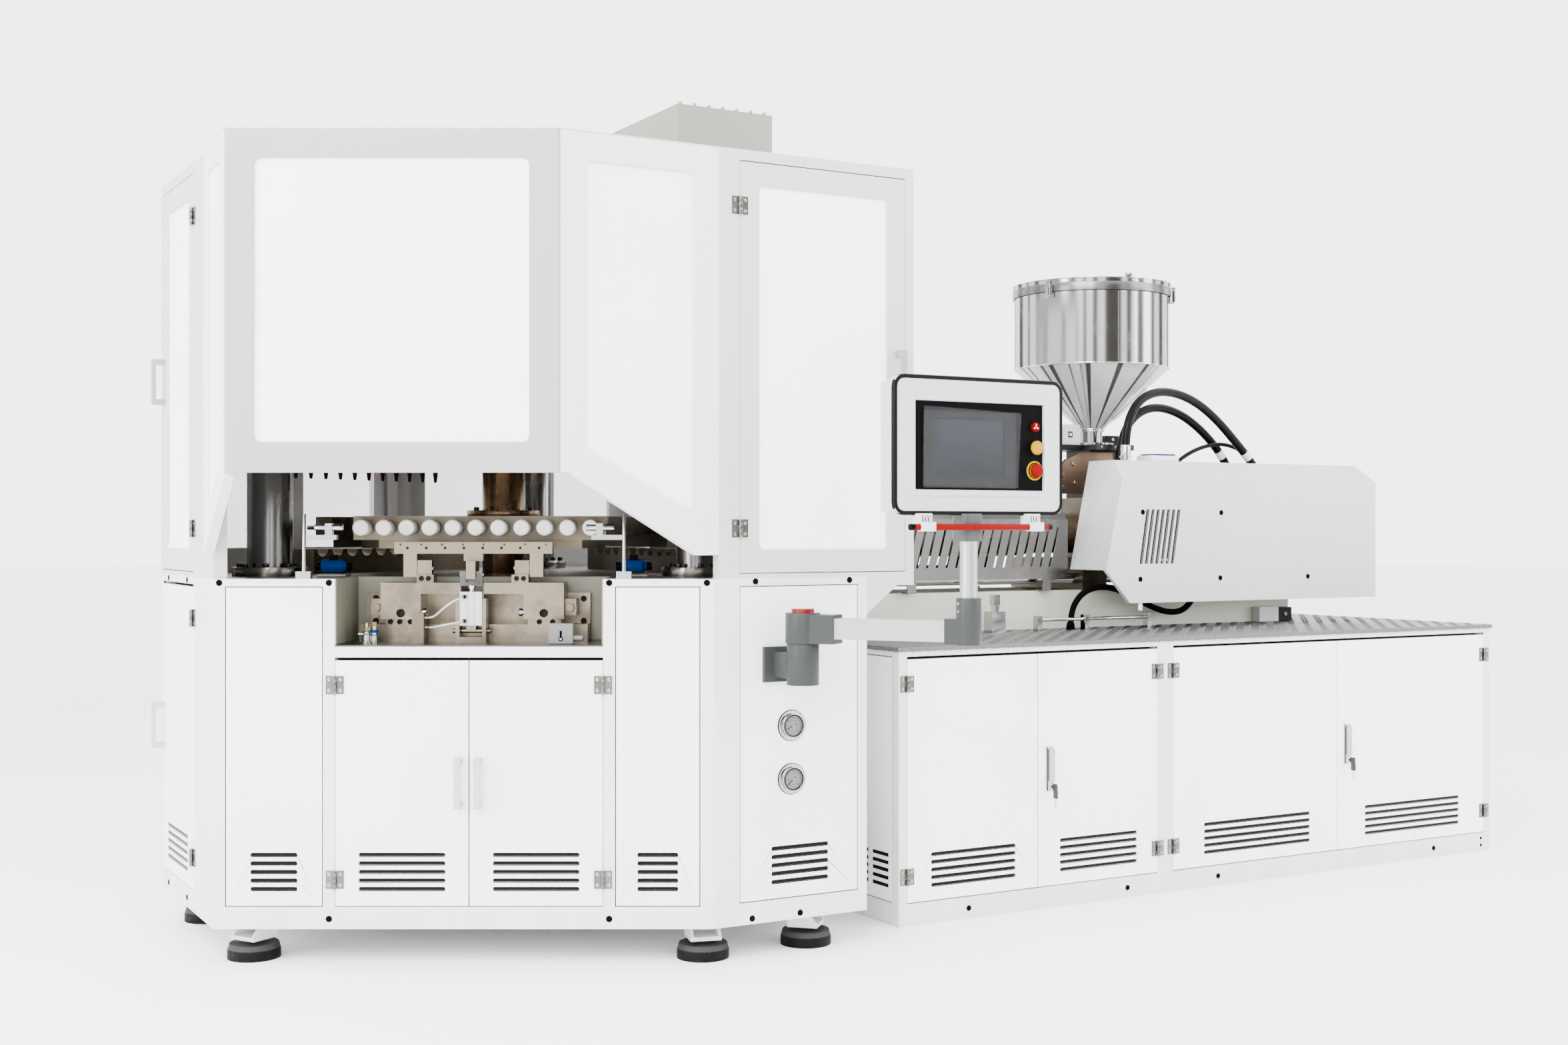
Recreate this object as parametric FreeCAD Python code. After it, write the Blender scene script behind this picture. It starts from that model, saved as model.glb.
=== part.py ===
"""Three-station injection blow moulding machine.

A hexagonal moulding cell stands on levelling feet: welded base with doors, deck, three tie columns,
a lifting and indexing turret with three rows of core rods, a clamp crosshead, a bottle stripper in a
recess at the front, and a glazed hood. Beside it a bench carries the injection unit with its hopper,
guards and hoses, and an operator panel hangs on a swivel arm. Millimetres, +Z up.

While the pieces are built, the turret's axis is x = y = 0, +X runs along the injection axis and the
floor is z = 0. At the end everything moves so that the origin is the centre of the part's footprint.
"""

import FreeCAD, Part
import math
import os
from FreeCAD import Vector

# ---------------------------------------------------------------- driving dimensions
# moulding cell, plan
CELL_HALF_DEPTH = 1021.0
CELL_LEFT = 1012.0
CELL_RIGHT = 790.0
FRONT_CORNER_X = 257.0
FRONT_CORNER_Y = 289.0
REAR_CORNER_X = 58.0
REAR_CORNER_Y = 470.0
CABINET_RIGHT = 964.0
# moulding cell, heights
FOOT_HEIGHT = 45.0
FOOT_RADIUS = 78.5
BASE_BOTTOM = 113.0
DECK_TOP = 1139.0
DECK_THICK = 30.0
ROOF_TOP = 2409.0
ROOF_SHEET = 4.0
FRAME_DEPTH = 40.0
SHEET = 2.0
PANEL_DEPTH = 20.0
PANEL_GAP = 3.0
PANEL_BOTTOM = 178.0
TOP_RAIL = 22.0
# front face of the base
FRONT_LEFT_POST = 34.0
FRONT_LEFT_PANEL = 287.0
FRONT_POST = 35.0
FRONT_RIGHT_PANEL = 250.0
RECESS_SINK = 198.0
RECESS_FLOOR = DECK_TOP - RECESS_SINK
RECESS_DEPTH = 280.0
RECESS_WALL = 4.0
RECESS_RAIL = 32.0
SIDE_POST = 88.0
SIDE_END_POST = 32.0
END_DOOR_WIDTH = 460.0
END_POST = 30.0
# louvre slots
SLOT_HEIGHT = 7.0
SLOT_PITCH = 25.0
SLOT_COUNT = 5
SLOT_ABOVE_EDGE = 46.0
# cabinet doors and windows
DOOR_THICK = 25.0
DOOR_STILE = 64.0
DOOR_RAIL = 68.0
WINDOW_RADIUS = 20.0
PANE_THICK = 4.0
# hood
HOOD_OUT = 245.0
HOOD_THICK = 30.0
HOOD_LEFT_OUT = 28.0
HOOD_BOTTOM = 1444.0
HOOD_WING_BOTTOM = 1209.0
HOOD_WINDOW_BOTTOM = 1529.0
HOOD_WINDOW_TOP = 2325.0
HOOD_WINDOW_MARGIN = 81.0
HOOD_WING_MARGIN = 86.0
HOOD_WING_END = 20.0
HOOD_SLOPE_FOOT = 75.0
# covered cylinder box on the roof
TOP_BOX_X = 492.0
TOP_BOX_LENGTH = 362.0
TOP_BOX_HALF_WIDTH = 319.0
TOP_BOX_HEIGHT = 296.0
TOP_BOX_STUDS = 7
# columns, turret and clamp
COLUMN_CIRCLE = 775.0
COLUMN_RADIUS = 70.0
COLUMN_TOP = 2030.0
COLUMN_FLANGE = 115.0
COLUMN_FLANGE_THICK = 28.0
CROWN_THICK = 70.0
PLATEN_CORNER = 230.0
CLAMP_ROD = 45.0
CLAMP_BORE = 60.0
PISTON_THICK = 18.0
RUNNING_FIT = 0.06
ROD_ABOVE_DECK = 151.0
ROD_HEIGHT = DECK_TOP + ROD_ABOVE_DECK
ROD_COUNT = 11
ROD_PITCH = 70.0
ROD_RADIUS = 7.0
HEAD_REACH = 470.0
HEAD_BAR_LENGTH = 780.0
HEAD_BAR_DEPTH = 70.0
HEAD_BAR_TOP = 36.0
HEAD_BAR_BOTTOM = 38.0
HEAD_BAND = 26.0
HEAD_BAND_BACK = 15.0
HEAD_PLATE = 44.0
SHAFT_RADIUS = 69.0
SHAFT_FLANGE = 120.0
TURRET_LIFT = 70.0
CLAMP_STROKE = 274.5
PLATEN_BOTTOM = 1700.0
PLATEN_THICK = 80.0
MOULD_DEPTH = 97.0
MOULD_GAP = 0.5
BOTTLE_RADIUS = 24.0
BOTTLE_LENGTH = 80.0
BOTTLE_NECK = 12.0
BOTTLE_WALL = 1.2
NOZZLE_CIRCLE = 600.0
NOZZLE_ABOVE_ROD = 166.0
NOZZLE_TIP = ROD_HEIGHT + NOZZLE_ABOVE_ROD
NOZZLE_LENGTH = 74.0
# bottle stripper in the recess
STRIPPER_REACH = 560.0
STRIPPER_GAP = 7.0
STRIPPER_LENGTH = 478.0
STRIPPER_HEIGHT = 35.0
STRIPPER_THICK = 25.0
STRIPPER_BELOW_ROD = 44.0
STRIPPER_TOP = ROD_HEIGHT - STRIPPER_BELOW_ROD
STRIPPER_HOLES = 8
EAR_OFFSET = 190.0
EAR_WIDTH = 43.0
PIVOT_ABOVE_DECK = 28.0
PIVOT_HEIGHT = DECK_TOP + PIVOT_ABOVE_DECK
PIVOT_RADIUS = 9.0
SLIDE_BELOW_DECK = 15.0
SLIDE_TOP = DECK_TOP - SLIDE_BELOW_DECK
SLIDE_LENGTH = 242.0
SLIDE_MIDDLE = 34.0
CYLINDER_WIDTH = 66.0
CYLINDER_BELOW_DECK = 42.0
CYLINDER_LENGTH = 101.0
CYLINDER_TOP = DECK_TOP - CYLINDER_BELOW_DECK
CYLINDER_BOTTOM = CYLINDER_TOP - CYLINDER_LENGTH
CYLINDER_ROD = 8.0
CLEVIS_ABOVE_DECK = 10.0
CLEVIS_PIN = DECK_TOP + CLEVIS_ABOVE_DECK
CLEVIS_PIN_RADIUS = 4.5
CYLINDER_OUT = 25.0
# bench of the injection unit
BENCH_X = 1022.0
BENCH_LENGTH = 2842.0
BENCH_HALF_DEPTH = 850.0
BENCH_TOP = 903.0
PLINTH = 72.0
BENCH_DOOR_TOP = 872.0
BENCH_DOORS = (532.0, 530.0, 818.0, 821.0)
BENCH_LEFT_POST = 32.0
BENCH_MIDDLE_POST = 74.0
TREAD_SHEET = 4.0
TREAD_LIP = 14.0
TREAD_OVERHANG = 8.0
# injection unit
BARREL_HEIGHT = 1270.0
BARREL_RADIUS = 80.0
SCREW_RADIUS = 35.0
GUIDE_RADIUS = 20.0
GUIDE_SPREAD = 185.0
GUIDE_BOSS = 43.0
GUIDE_DROP = 175.0
GUIDE_HEIGHT = BARREL_HEIGHT - GUIDE_DROP
BEAM_GAP = 2.0
BEAM_TOP = GUIDE_HEIGHT - GUIDE_BOSS - BEAM_GAP
BEAM_WIDTH = 60.0
ADJUST_X = 1975.0
ADJUST_LENGTH = 560.0
ADJUST_RISE = 42.0
MANIFOLD_X = 680.0
HOPPER_X = 2522.0
HOPPER_RADIUS = 310.0
HOPPER_NECK = 45.0
HOPPER_WALL = 3.0
THROAT_RISE = 330.0
THROAT_TOP = BARREL_HEIGHT + THROAT_RISE
SLIDE_PLATE = 22.0
HOPPER_NECK_RISE = 85.0
HOPPER_CONE = 248.0
HOPPER_TALL = 329.0
HOPPER_CONE_END = THROAT_TOP + HOPPER_NECK_RISE
HOPPER_SHOULDER = HOPPER_CONE_END + HOPPER_CONE
HOPPER_RIM = HOPPER_SHOULDER + HOPPER_TALL
GUARD_X = 1300.0
GUARD_LENGTH = 900.0
GUARD_HALF_WIDTH = 250.0
GUARD_SIDE_RISE = 52.0
GUARD_SHOULDER = 63.0
GUARD_DROP = 175.0
GUARD_SIDE_TOP = BARREL_HEIGHT + GUARD_SIDE_RISE
GUARD_TOP = GUARD_SIDE_TOP + GUARD_SHOULDER
GUARD_BOTTOM = BARREL_HEIGHT - GUARD_DROP
GUARD_SLOTS = 17
COVER_X = 2337.0
COVER_LENGTH = 1323.0
COVER_FRONT = 450.0
COVER_RETURN = 213.0
COVER_DROP = 265.0
COVER_RISE = 279.0
COVER_BOTTOM = BARREL_HEIGHT - COVER_DROP
COVER_TOP = BARREL_HEIGHT + COVER_RISE
COVER_CHAMFER = 70.0
COVER_NOSE_X = 2221.0
COVER_NOSE_DROP = 138.0
COVER_NOSE_Z = BARREL_HEIGHT - COVER_NOSE_DROP
COVER_SLOTS = 7
# operator panel and its arm
ARM_PIVOT_X = 497.0
ARM_PIVOT_OUT = 109.0
ARM_HEIGHT = 995.0
ARM_SIZE = 60.0
TUBE_X = 802.0
TUBE_OUT = 516.0
TUBE_RADIUS = 25.0
PANEL_X = 834.0
PANEL_HEIGHT = 1520.0
PANEL_WIDTH = 580.0
PANEL_TALL = 382.0
PANEL_RIM = 67.0
PANEL_DEEP = 95.0
SCREEN_X = 640.0
SCREEN_WIDTH = 318.0
SCREEN_TALL = 216.0
SCREEN_DROP = 119.0
SCREEN_BORDER = 43.0
BUTTON_X = 194.0
STOP_Z = 0.0
ESTOP_Z = -66.0
BUZZER_Z = 60.0
BUTTON_RADIUS = 20.0
BUTTON_TRAVEL = 6.0
RING_RADIUS = 28.0
GRAB_X = 820.0
GRAB_LENGTH = 490.0
GRAB_DROP = 38.0
GRAB_CLIPS = 188.0
# fittings shared by all doors
HINGE_SIZE = 53.0
HINGE_LEAF = 3.0
HINGE_PIN = 3.0
HINGE_BARREL = 6.5
HINGE_FIT = 0.05
HANDLE_HEIGHT = 148.0
HANDLE_WIDTH = 18.0
HANDLE_REACH = 42.0
LOCK_HEIGHT = 150.0
LOCK_WIDTH = 30.0
GAUGE_RADIUS = 32.0
GAUGE_FLANGE = 45.0

UP = Vector(0, 0, 1)
CLEAR = 0.3


# ---------------------------------------------------------------- solids
def box(x0, x1, y0, y1, z0, z1):
    """A box between two corners."""
    return Part.makeBox(x1 - x0, y1 - y0, z1 - z0, Vector(x0, y0, z0))


def prism(outline, z0, z1):
    """A plan outline, pulled up from z0 to z1."""
    corners = [Vector(x, y, z0) for x, y in outline]
    return Part.Face(Part.makePolygon(corners + corners[:1])).extrude(Vector(0, 0, z1 - z0))


def plate(outline, y0, y1):
    """An outline in x and z, pulled along y."""
    corners = [Vector(x, y0, z) for x, z in outline]
    return Part.Face(Part.makePolygon(corners + corners[:1])).extrude(Vector(0, y1 - y0, 0))


def bar(outline, x0, x1):
    """An outline in y and z, pulled along x."""
    corners = [Vector(x0, y, z) for y, z in outline]
    return Part.Face(Part.makePolygon(corners + corners[:1])).extrude(Vector(x1 - x0, 0, 0))


def rod(start, end, radius):
    """A round bar between two points."""
    run = Vector(*end) - Vector(*start)
    return Part.makeCylinder(radius, run.Length, Vector(*start), run)


def tube(start, end, radius, bore):
    """A round bar with a bore right through it."""
    return rod(start, end, radius).cut(rod(start, end, bore))


def turned(profile, x=0.0, y=0.0):
    """A profile of radius and height, turned about the vertical through x, y."""
    corners = [Vector(r, 0, z) for r, z in profile]
    face = Part.Face(Part.makePolygon(corners + corners[:1]))
    solid = face.revolve(Vector(0, 0, 0), UP, 360)
    solid.translate(Vector(x, y, 0))
    return solid


def rounded(solid, radius, direction):
    """The solid with its edges along one direction rounded."""
    along = []
    for edge in solid.Edges:
        run = edge.Vertexes[-1].Point - edge.Vertexes[0].Point
        if run.Length > 1e-6 and abs(abs(run.normalize().dot(direction)) - 1) < 1e-6:
            along.append(edge)
    return solid.makeFillet(radius, along)


def less(solid, cutters):
    """The solid with every cutter taken out."""
    return solid.cut(Part.makeCompound(cutters)) if cutters else solid


class Place:
    """A local frame: x to the right as seen from outside, y into the machine, z up."""

    def __init__(self, x, y, degrees):
        self.x, self.y, self.degrees = x, y, degrees

    def put(self, shape):
        moved = shape.copy()
        moved.rotate(Vector(0, 0, 0), UP, self.degrees)
        moved.translate(Vector(self.x, self.y, 0))
        return moved

    def point(self, x, y):
        turn = math.radians(self.degrees)
        return (
            self.x + x * math.cos(turn) - y * math.sin(turn),
            self.y + x * math.sin(turn) + y * math.cos(turn),
        )


class Side(Place):
    """One upright face of the cell, from its left corner to its right corner."""

    def __init__(self, start, end):
        run = (end[0] - start[0], end[1] - start[1])
        Place.__init__(self, start[0], start[1], math.degrees(math.atan2(run[1], run[0])))
        self.length = math.hypot(*run)


def meet(first, second, depth):
    """Where the inner lines of two neighbouring faces cross, at that depth."""
    ax, ay = first.point(0, depth)
    bx, by = first.point(first.length, depth)
    cx, cy = second.point(0, depth)
    dx, dy = second.point(second.length, depth)
    cross = (bx - ax) * (dy - cy) - (by - ay) * (dx - cx)
    share = ((cx - ax) * (dy - cy) - (cy - ay) * (dx - cx)) / cross
    return (ax + share * (bx - ax), ay + share * (by - ay))


def corner_post(first, width_before, second, width_after, z0, z1):
    """A folded post round the corner between two faces."""
    outline = [
        first.point(first.length - width_before, 0),
        second.point(0, 0),
        second.point(width_after, 0),
        second.point(width_after, FRAME_DEPTH),
        meet(first, second, FRAME_DEPTH),
        first.point(first.length - width_before, FRAME_DEPTH),
    ]
    return prism(outline, z0, z1)


def slots(x0, x1, z0, y0, y1):
    """Cutters for a stack of level louvre slots with round ends."""
    cutters = []
    for i in range(SLOT_COUNT):
        low = z0 + i * SLOT_PITCH
        cutter = box(x0, x1, y0, y1, low, low + SLOT_HEIGHT)
        cutters.append(rounded(cutter, 0.45 * SLOT_HEIGHT, Vector(0, 1, 0)))
    return cutters


def pan(x0, x1, z0, z1, slot_margin=None):
    """A folded sheet pan: face at y = 0, returns behind it, louvre slots near the foot."""
    x0, x1, z0, z1 = x0 + PANEL_GAP, x1 - PANEL_GAP, z0 + PANEL_GAP, z1 - PANEL_GAP
    solid = box(x0, x1, 0, PANEL_DEPTH, z0, z1)
    pocket = box(x0 + SHEET, x1 - SHEET, SHEET, PANEL_DEPTH + 1, z0 + SHEET, z1 - SHEET)
    solid = solid.cut(pocket)
    if slot_margin is None:
        return solid
    first = z0 + SLOT_ABOVE_EDGE
    return less(solid, slots(x0 + slot_margin, x1 - slot_margin, first, -1, SHEET + 1))


def stay(x0, x1, z0, z1):
    """Small lugs behind a fixed pan that screw it to its frame."""
    lugs = []
    for x in (x0, x1 - PANEL_GAP):
        for z in (z0 + 0.2 * (z1 - z0), z0 + 0.8 * (z1 - z0)):
            lugs.append(box(x, x + PANEL_GAP, 0.3 * PANEL_DEPTH, 0.7 * PANEL_DEPTH, z - 15, z + 15))
    return lugs


def glazed(x0, x1, z0, z1, thick):
    """A sheet frame round a window, and the pane that fills the window."""
    hole = box(x0 + DOOR_STILE, x1 - DOOR_STILE, -1, thick + 1, z0 + DOOR_RAIL, z1 - DOOR_RAIL)
    hole = rounded(hole, WINDOW_RADIUS, Vector(0, 1, 0))
    frame = box(x0, x1, 0, thick, z0, z1).cut(hole)
    inset = 0.3 * thick
    pane = hole.common(box(x0, x1, inset, inset + PANE_THICK, z0, z1))
    return frame, pane


def handle(x, z):
    """A white arch pull on the face at y = 0, centred at x and z."""
    half, leg = 0.5 * HANDLE_HEIGHT, HANDLE_WIDTH
    outer = box(x - 0.5 * leg, x + 0.5 * leg, -HANDLE_REACH, 0, z - half, z + half)
    outer = rounded(outer, 0.3 * leg, Vector(1, 0, 0))
    base = box(x - 0.5 * leg, x + 0.5 * leg, -HANDLE_REACH / 2, 0, z - half, z + half)
    gap = box(x - leg, x + leg, 0.7 * leg - HANDLE_REACH, 1, z - half + leg, z + half - leg)
    return outer.fuse(base).removeSplitter().cut(gap)


def hinge_fixed(x, z, side):
    """The frame's leaf with its two end knuckles and the pin; side is +1 where the leaf is to the left."""
    half, lug = 0.5 * HINGE_SIZE, HINGE_SIZE / 3
    y = -HINGE_BARREL
    near = side * (HINGE_BARREL + 0.5)
    leaf_x = sorted((x - near, x - side * half))
    leaf = box(leaf_x[0], leaf_x[1], -HINGE_LEAF, 0, z - half, z + half)
    parts = []
    for low in (z - half, z + half - lug):
        knuckle = rod((x, y, low), (x, y, low + lug), HINGE_BARREL)
        web_x = sorted((x, x - near - side))
        web = box(web_x[0], web_x[1], -HINGE_LEAF, 0, low, low + lug)
        parts += [knuckle, web]
    pin = rod((x, y, z - half), (x, y, z + half), HINGE_PIN)
    return leaf.fuse(parts + [pin]).removeSplitter()


def hinge_moving(x, z, side):
    """The door's leaf with its middle knuckle."""
    half, lug = 0.5 * HINGE_SIZE, HINGE_SIZE / 6 - CLEAR
    y = -HINGE_BARREL
    near = side * (HINGE_BARREL + 0.5)
    leaf_x = sorted((x + near, x + side * half))
    leaf = box(leaf_x[0], leaf_x[1], -HINGE_LEAF, 0, z - half, z + half)
    knuckle = rod((x, y, z - lug), (x, y, z + lug), HINGE_BARREL)
    web_x = sorted((x, x + near + side))
    web = box(web_x[0], web_x[1], -HINGE_LEAF, 0, z - lug, z + lug)
    hole = rod((x, y, z - lug - 1), (x, y, z + lug + 1), HINGE_PIN + HINGE_FIT)
    return leaf.fuse([knuckle, web]).removeSplitter().cut(hole)


def hose(points, radius):
    """A round tube through a route: straight runs joined by the largest tangent arcs that fit."""
    points = [Vector(*p) for p in points]
    edges, last, radii = [], points[0], []
    for before, corner, after in zip(points, points[1:], points[2:]):
        into, out = corner - before, after - corner
        reach = 0.45 * min(into.Length, out.Length)
        a = corner - Vector(into).normalize() * reach
        b = corner + Vector(out).normalize() * reach
        half_turn = into.getAngle(out) / 2
        bend = reach / math.tan(half_turn)
        radii.append(bend)
        chord = (b - a).Length / 2
        middle = (a + b) / 2
        toward = (corner - middle).normalize()
        rise = bend - math.sqrt(max(bend * bend - chord * chord, 0))
        edges.append(Part.LineSegment(last, a).toShape())
        edges.append(Part.Arc(a, middle + toward * rise, b).toShape())
        last = b
    edges.append(Part.LineSegment(last, points[-1]).toShape())
    wire = Part.Wire(edges)
    start = Part.Wire(Part.makeCircle(radius, points[0], points[1] - points[0]))
    solid = wire.makePipeShell([start], True, False)
    share = solid.Volume / (math.pi * radius * radius * wire.Length)
    print(f"hose of {wire.Length:.0f} mm, radii {min(radii):.0f} to {max(radii):.0f} mm, volume {share:.3f}")
    return solid


# ---------------------------------------------------------------- faces of the cell
LOWER = [
    (-CELL_LEFT, -FRONT_CORNER_Y),
    (FRONT_CORNER_X, -CELL_HALF_DEPTH),
    (CELL_RIGHT, -CELL_HALF_DEPTH),
    (CELL_RIGHT, CELL_HALF_DEPTH),
    (-REAR_CORNER_X, CELL_HALF_DEPTH),
    (-CELL_LEFT, REAR_CORNER_Y),
]
UPPER = [(CABINET_RIGHT, y) if x == CELL_RIGHT else (x, y) for x, y in LOWER]
FRONT, SIDE, RIGHT, BACK, REAR, END = [
    Side(LOWER[i], LOWER[(i + 1) % len(LOWER)]) for i in range(len(LOWER))
]
UP_FRONT, UP_SIDE, UP_RIGHT, UP_BACK, UP_REAR, UP_END = [
    Side(UPPER[i], UPPER[(i + 1) % len(UPPER)]) for i in range(len(UPPER))
]
STATION = Place(0, 0, FRONT.degrees)
FRONT_ANGLE = math.radians(FRONT.degrees)
FRONT_PLANE = FRONT.x * math.sin(FRONT_ANGLE) - FRONT.y * math.cos(FRONT_ANGLE)
BENCH = Place(BENCH_X, -BENCH_HALF_DEPTH, 0)
WALL_TOP = ROOF_TOP - ROOF_SHEET
DECK_BOTTOM = DECK_TOP - DECK_THICK
PANEL_TOP = DECK_TOP - TOP_RAIL

DOORS_LEFT = FRONT_LEFT_POST + FRONT_LEFT_PANEL + FRONT_POST
FRONT_RIGHT_POST = 38.0
DOORS_RIGHT = FRONT.length - FRONT_RIGHT_POST - FRONT_RIGHT_PANEL - FRONT_POST
DOORS_MIDDLE = 0.5 * (DOORS_LEFT + DOORS_RIGHT)
FRONT_DOOR_TOP = RECESS_FLOOR - RECESS_RAIL
REAR_POST = 60.0
END_STRIP = END_POST + END_DOOR_WIDTH


def inset(sides, depth):
    """The cell's plan, drawn in by a depth."""
    return [meet(sides[i - 1], sides[i], depth) for i in range(len(sides))]


LOWER_SIDES = [FRONT, SIDE, RIGHT, BACK, REAR, END]


def base_frame():
    """Welded posts, rails and floor plate of the cell's base, with the six foot brackets."""
    solids = [
        corner_post(END, END.length - END_STRIP, FRONT, FRONT_LEFT_POST, BASE_BOTTOM, DECK_TOP),
        corner_post(FRONT, FRONT_RIGHT_POST, SIDE, SIDE_POST, BASE_BOTTOM, DECK_TOP),
        corner_post(SIDE, SIDE_END_POST, RIGHT, REAR_POST, BASE_BOTTOM, DECK_TOP),
        corner_post(RIGHT, REAR_POST, BACK, REAR_POST, BASE_BOTTOM, DECK_TOP),
        corner_post(BACK, REAR_POST, REAR, REAR_POST, BASE_BOTTOM, DECK_TOP),
        corner_post(REAR, REAR_POST, END, END_POST, BASE_BOTTOM, DECK_TOP),
    ]
    left_post = FRONT_LEFT_POST + FRONT_LEFT_PANEL
    right_post = FRONT.length - FRONT_RIGHT_POST - FRONT_RIGHT_PANEL
    for x0, x1 in ((left_post, DOORS_LEFT), (DOORS_RIGHT, right_post)):
        solids.append(FRONT.put(box(x0, x1, 0, FRAME_DEPTH, BASE_BOTTOM, DECK_TOP)))
    rails = [
        (FRONT, FRONT_LEFT_POST, left_post, BASE_BOTTOM, PANEL_BOTTOM),
        (FRONT, FRONT_LEFT_POST, left_post, PANEL_TOP, DECK_TOP),
        (FRONT, DOORS_LEFT, DOORS_RIGHT, BASE_BOTTOM, PANEL_BOTTOM),
        (FRONT, DOORS_LEFT, DOORS_RIGHT, FRONT_DOOR_TOP, RECESS_FLOOR),
        (FRONT, right_post, FRONT.length - FRONT_RIGHT_POST, BASE_BOTTOM, PANEL_BOTTOM),
        (FRONT, right_post, FRONT.length - FRONT_RIGHT_POST, PANEL_TOP, DECK_TOP),
        (END, END_POST, END_STRIP, BASE_BOTTOM, PANEL_BOTTOM),
        (END, END_POST, END_STRIP, PANEL_TOP, DECK_TOP),
        (SIDE, SIDE_POST, SIDE.length - SIDE_END_POST, BASE_BOTTOM, PANEL_BOTTOM),
        (SIDE, SIDE_POST, SIDE.length - SIDE_END_POST, PANEL_TOP, DECK_TOP),
    ]
    for side in (RIGHT, BACK, REAR):
        for z0, z1 in ((BASE_BOTTOM, PANEL_BOTTOM), (PANEL_TOP, DECK_TOP)):
            rails.append((side, REAR_POST, side.length - REAR_POST, z0, z1))
    for side, x0, x1, z0, z1 in rails:
        solids.append(side.put(box(x0, x1, 0, FRAME_DEPTH, z0, z1)))
    floor_thick = 12.0
    solids.append(prism(inset(LOWER_SIDES, FRAME_DEPTH), BASE_BOTTOM, BASE_BOTTOM + floor_thick))
    for x, y, turn in feet():
        solids.append(foot_bracket(x, y, turn))
    return solids


def feet():
    """The places and directions of the feet, one drawn in from each corner of the base."""
    places = []
    for i, (x, y) in enumerate(inset(LOWER_SIDES, 1.75 * FOOT_RADIUS)):
        turn = 0.5 * (LOWER_SIDES[i - 1].degrees + LOWER_SIDES[i].degrees)
        if abs(LOWER_SIDES[i - 1].degrees - LOWER_SIDES[i].degrees) > 180:
            turn += 180
        places.append((x, y, turn))
    return places


BRACKET_FOOT = 12.0


def foot_bracket(x, y, turn):
    """A welded bracket: foot plate, back plate and two ribs up to the base's floor."""
    low = FOOT_HEIGHT + BRACKET_FOOT
    half = 0.6 * FOOT_RADIUS
    web = 10.0
    shelf = box(-half, half, -half, half, low, low + BRACKET_FOOT)
    back = box(-half, half, half - web, half, low, BASE_BOTTOM)
    ribs = []
    for rib_x in (-half, half - web):
        outline = [(half, low), (half, BASE_BOTTOM), (-0.2 * half, BASE_BOTTOM), (-half, low + BRACKET_FOOT)]
        outline.append((-half, low))
        ribs.append(bar(outline, rib_x, rib_x + web))
    bracket = shelf.fuse([back] + ribs).removeSplitter()
    return Place(x, y, turn).put(bracket)


def foot_pads():
    """Round levelling pads with their studs."""
    pads = []
    for x, y, _ in feet():
        edge = 6.0
        stud = 14.0
        profile = [
            (0, 0),
            (FOOT_RADIUS, 0),
            (FOOT_RADIUS, 0.55 * FOOT_HEIGHT),
            (FOOT_RADIUS - edge, FOOT_HEIGHT),
            (stud, FOOT_HEIGHT),
            (stud, FOOT_HEIGHT + BRACKET_FOOT),
            (0, FOOT_HEIGHT + BRACKET_FOOT),
        ]
        pads.append(turned(profile, x, y))
    return pads


def base_panels():
    """The fixed vented pans of the base and the bench, each with its screw lugs."""
    left_post = FRONT_LEFT_POST + FRONT_LEFT_PANEL
    right_post = FRONT.length - FRONT_RIGHT_POST - FRONT_RIGHT_PANEL
    bays = [
        (FRONT, FRONT_LEFT_POST, left_post, PANEL_BOTTOM, PANEL_TOP),
        (FRONT, right_post, FRONT.length - FRONT_RIGHT_POST, PANEL_BOTTOM, PANEL_TOP),
        (SIDE, SIDE_POST, SIDE.length - SIDE_END_POST, PANEL_BOTTOM, PANEL_TOP),
        (RIGHT, REAR_POST, RIGHT.length / 2, PANEL_BOTTOM, PANEL_TOP),
        (RIGHT, RIGHT.length / 2, RIGHT.length - REAR_POST, PANEL_BOTTOM, PANEL_TOP),
        (BACK, REAR_POST, BACK.length - REAR_POST, PANEL_BOTTOM, PANEL_TOP),
        (REAR, REAR_POST, REAR.length - REAR_POST, PANEL_BOTTOM, PANEL_TOP),
    ]
    for side in bench_ends():
        bays.append((side, FRAME_DEPTH, side.length / 2, PLINTH, BENCH_DOOR_TOP))
        bays.append((side, side.length / 2, side.length - FRAME_DEPTH, PLINTH, BENCH_DOOR_TOP))
    behind = Side((BENCH_X + BENCH_LENGTH, BENCH_HALF_DEPTH), (BENCH_X, BENCH_HALF_DEPTH))
    span = (behind.length - 2 * BENCH_LEFT_POST) / 3
    for i in range(3):
        x0 = BENCH_LEFT_POST + i * span
        bays.append((behind, x0, x0 + span, PLINTH, BENCH_DOOR_TOP))
    solids = []
    for side, x0, x1, z0, z1 in bays:
        wide = x1 - x0
        margin = min(0.26 * wide, 140.0)
        solids.append(side.put(pan(x0, x1, z0, z1, margin)))
        solids += [side.put(lug) for lug in stay(x0, x1, z0, z1)]
    return solids


def bench_ends():
    """The bench's left and right end faces, as seen from outside."""
    x1 = BENCH_X + BENCH_LENGTH
    return (
        Side((BENCH_X, BENCH_HALF_DEPTH), (BENCH_X, -BENCH_HALF_DEPTH)),
        Side((x1, -BENCH_HALF_DEPTH), (x1, BENCH_HALF_DEPTH)),
    )


def recess_outline(wall):
    """The recess in the front, in the front face's frame, drawn out by a wall."""
    return DOORS_LEFT + wall, DOORS_RIGHT - wall, RECESS_DEPTH - wall


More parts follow.
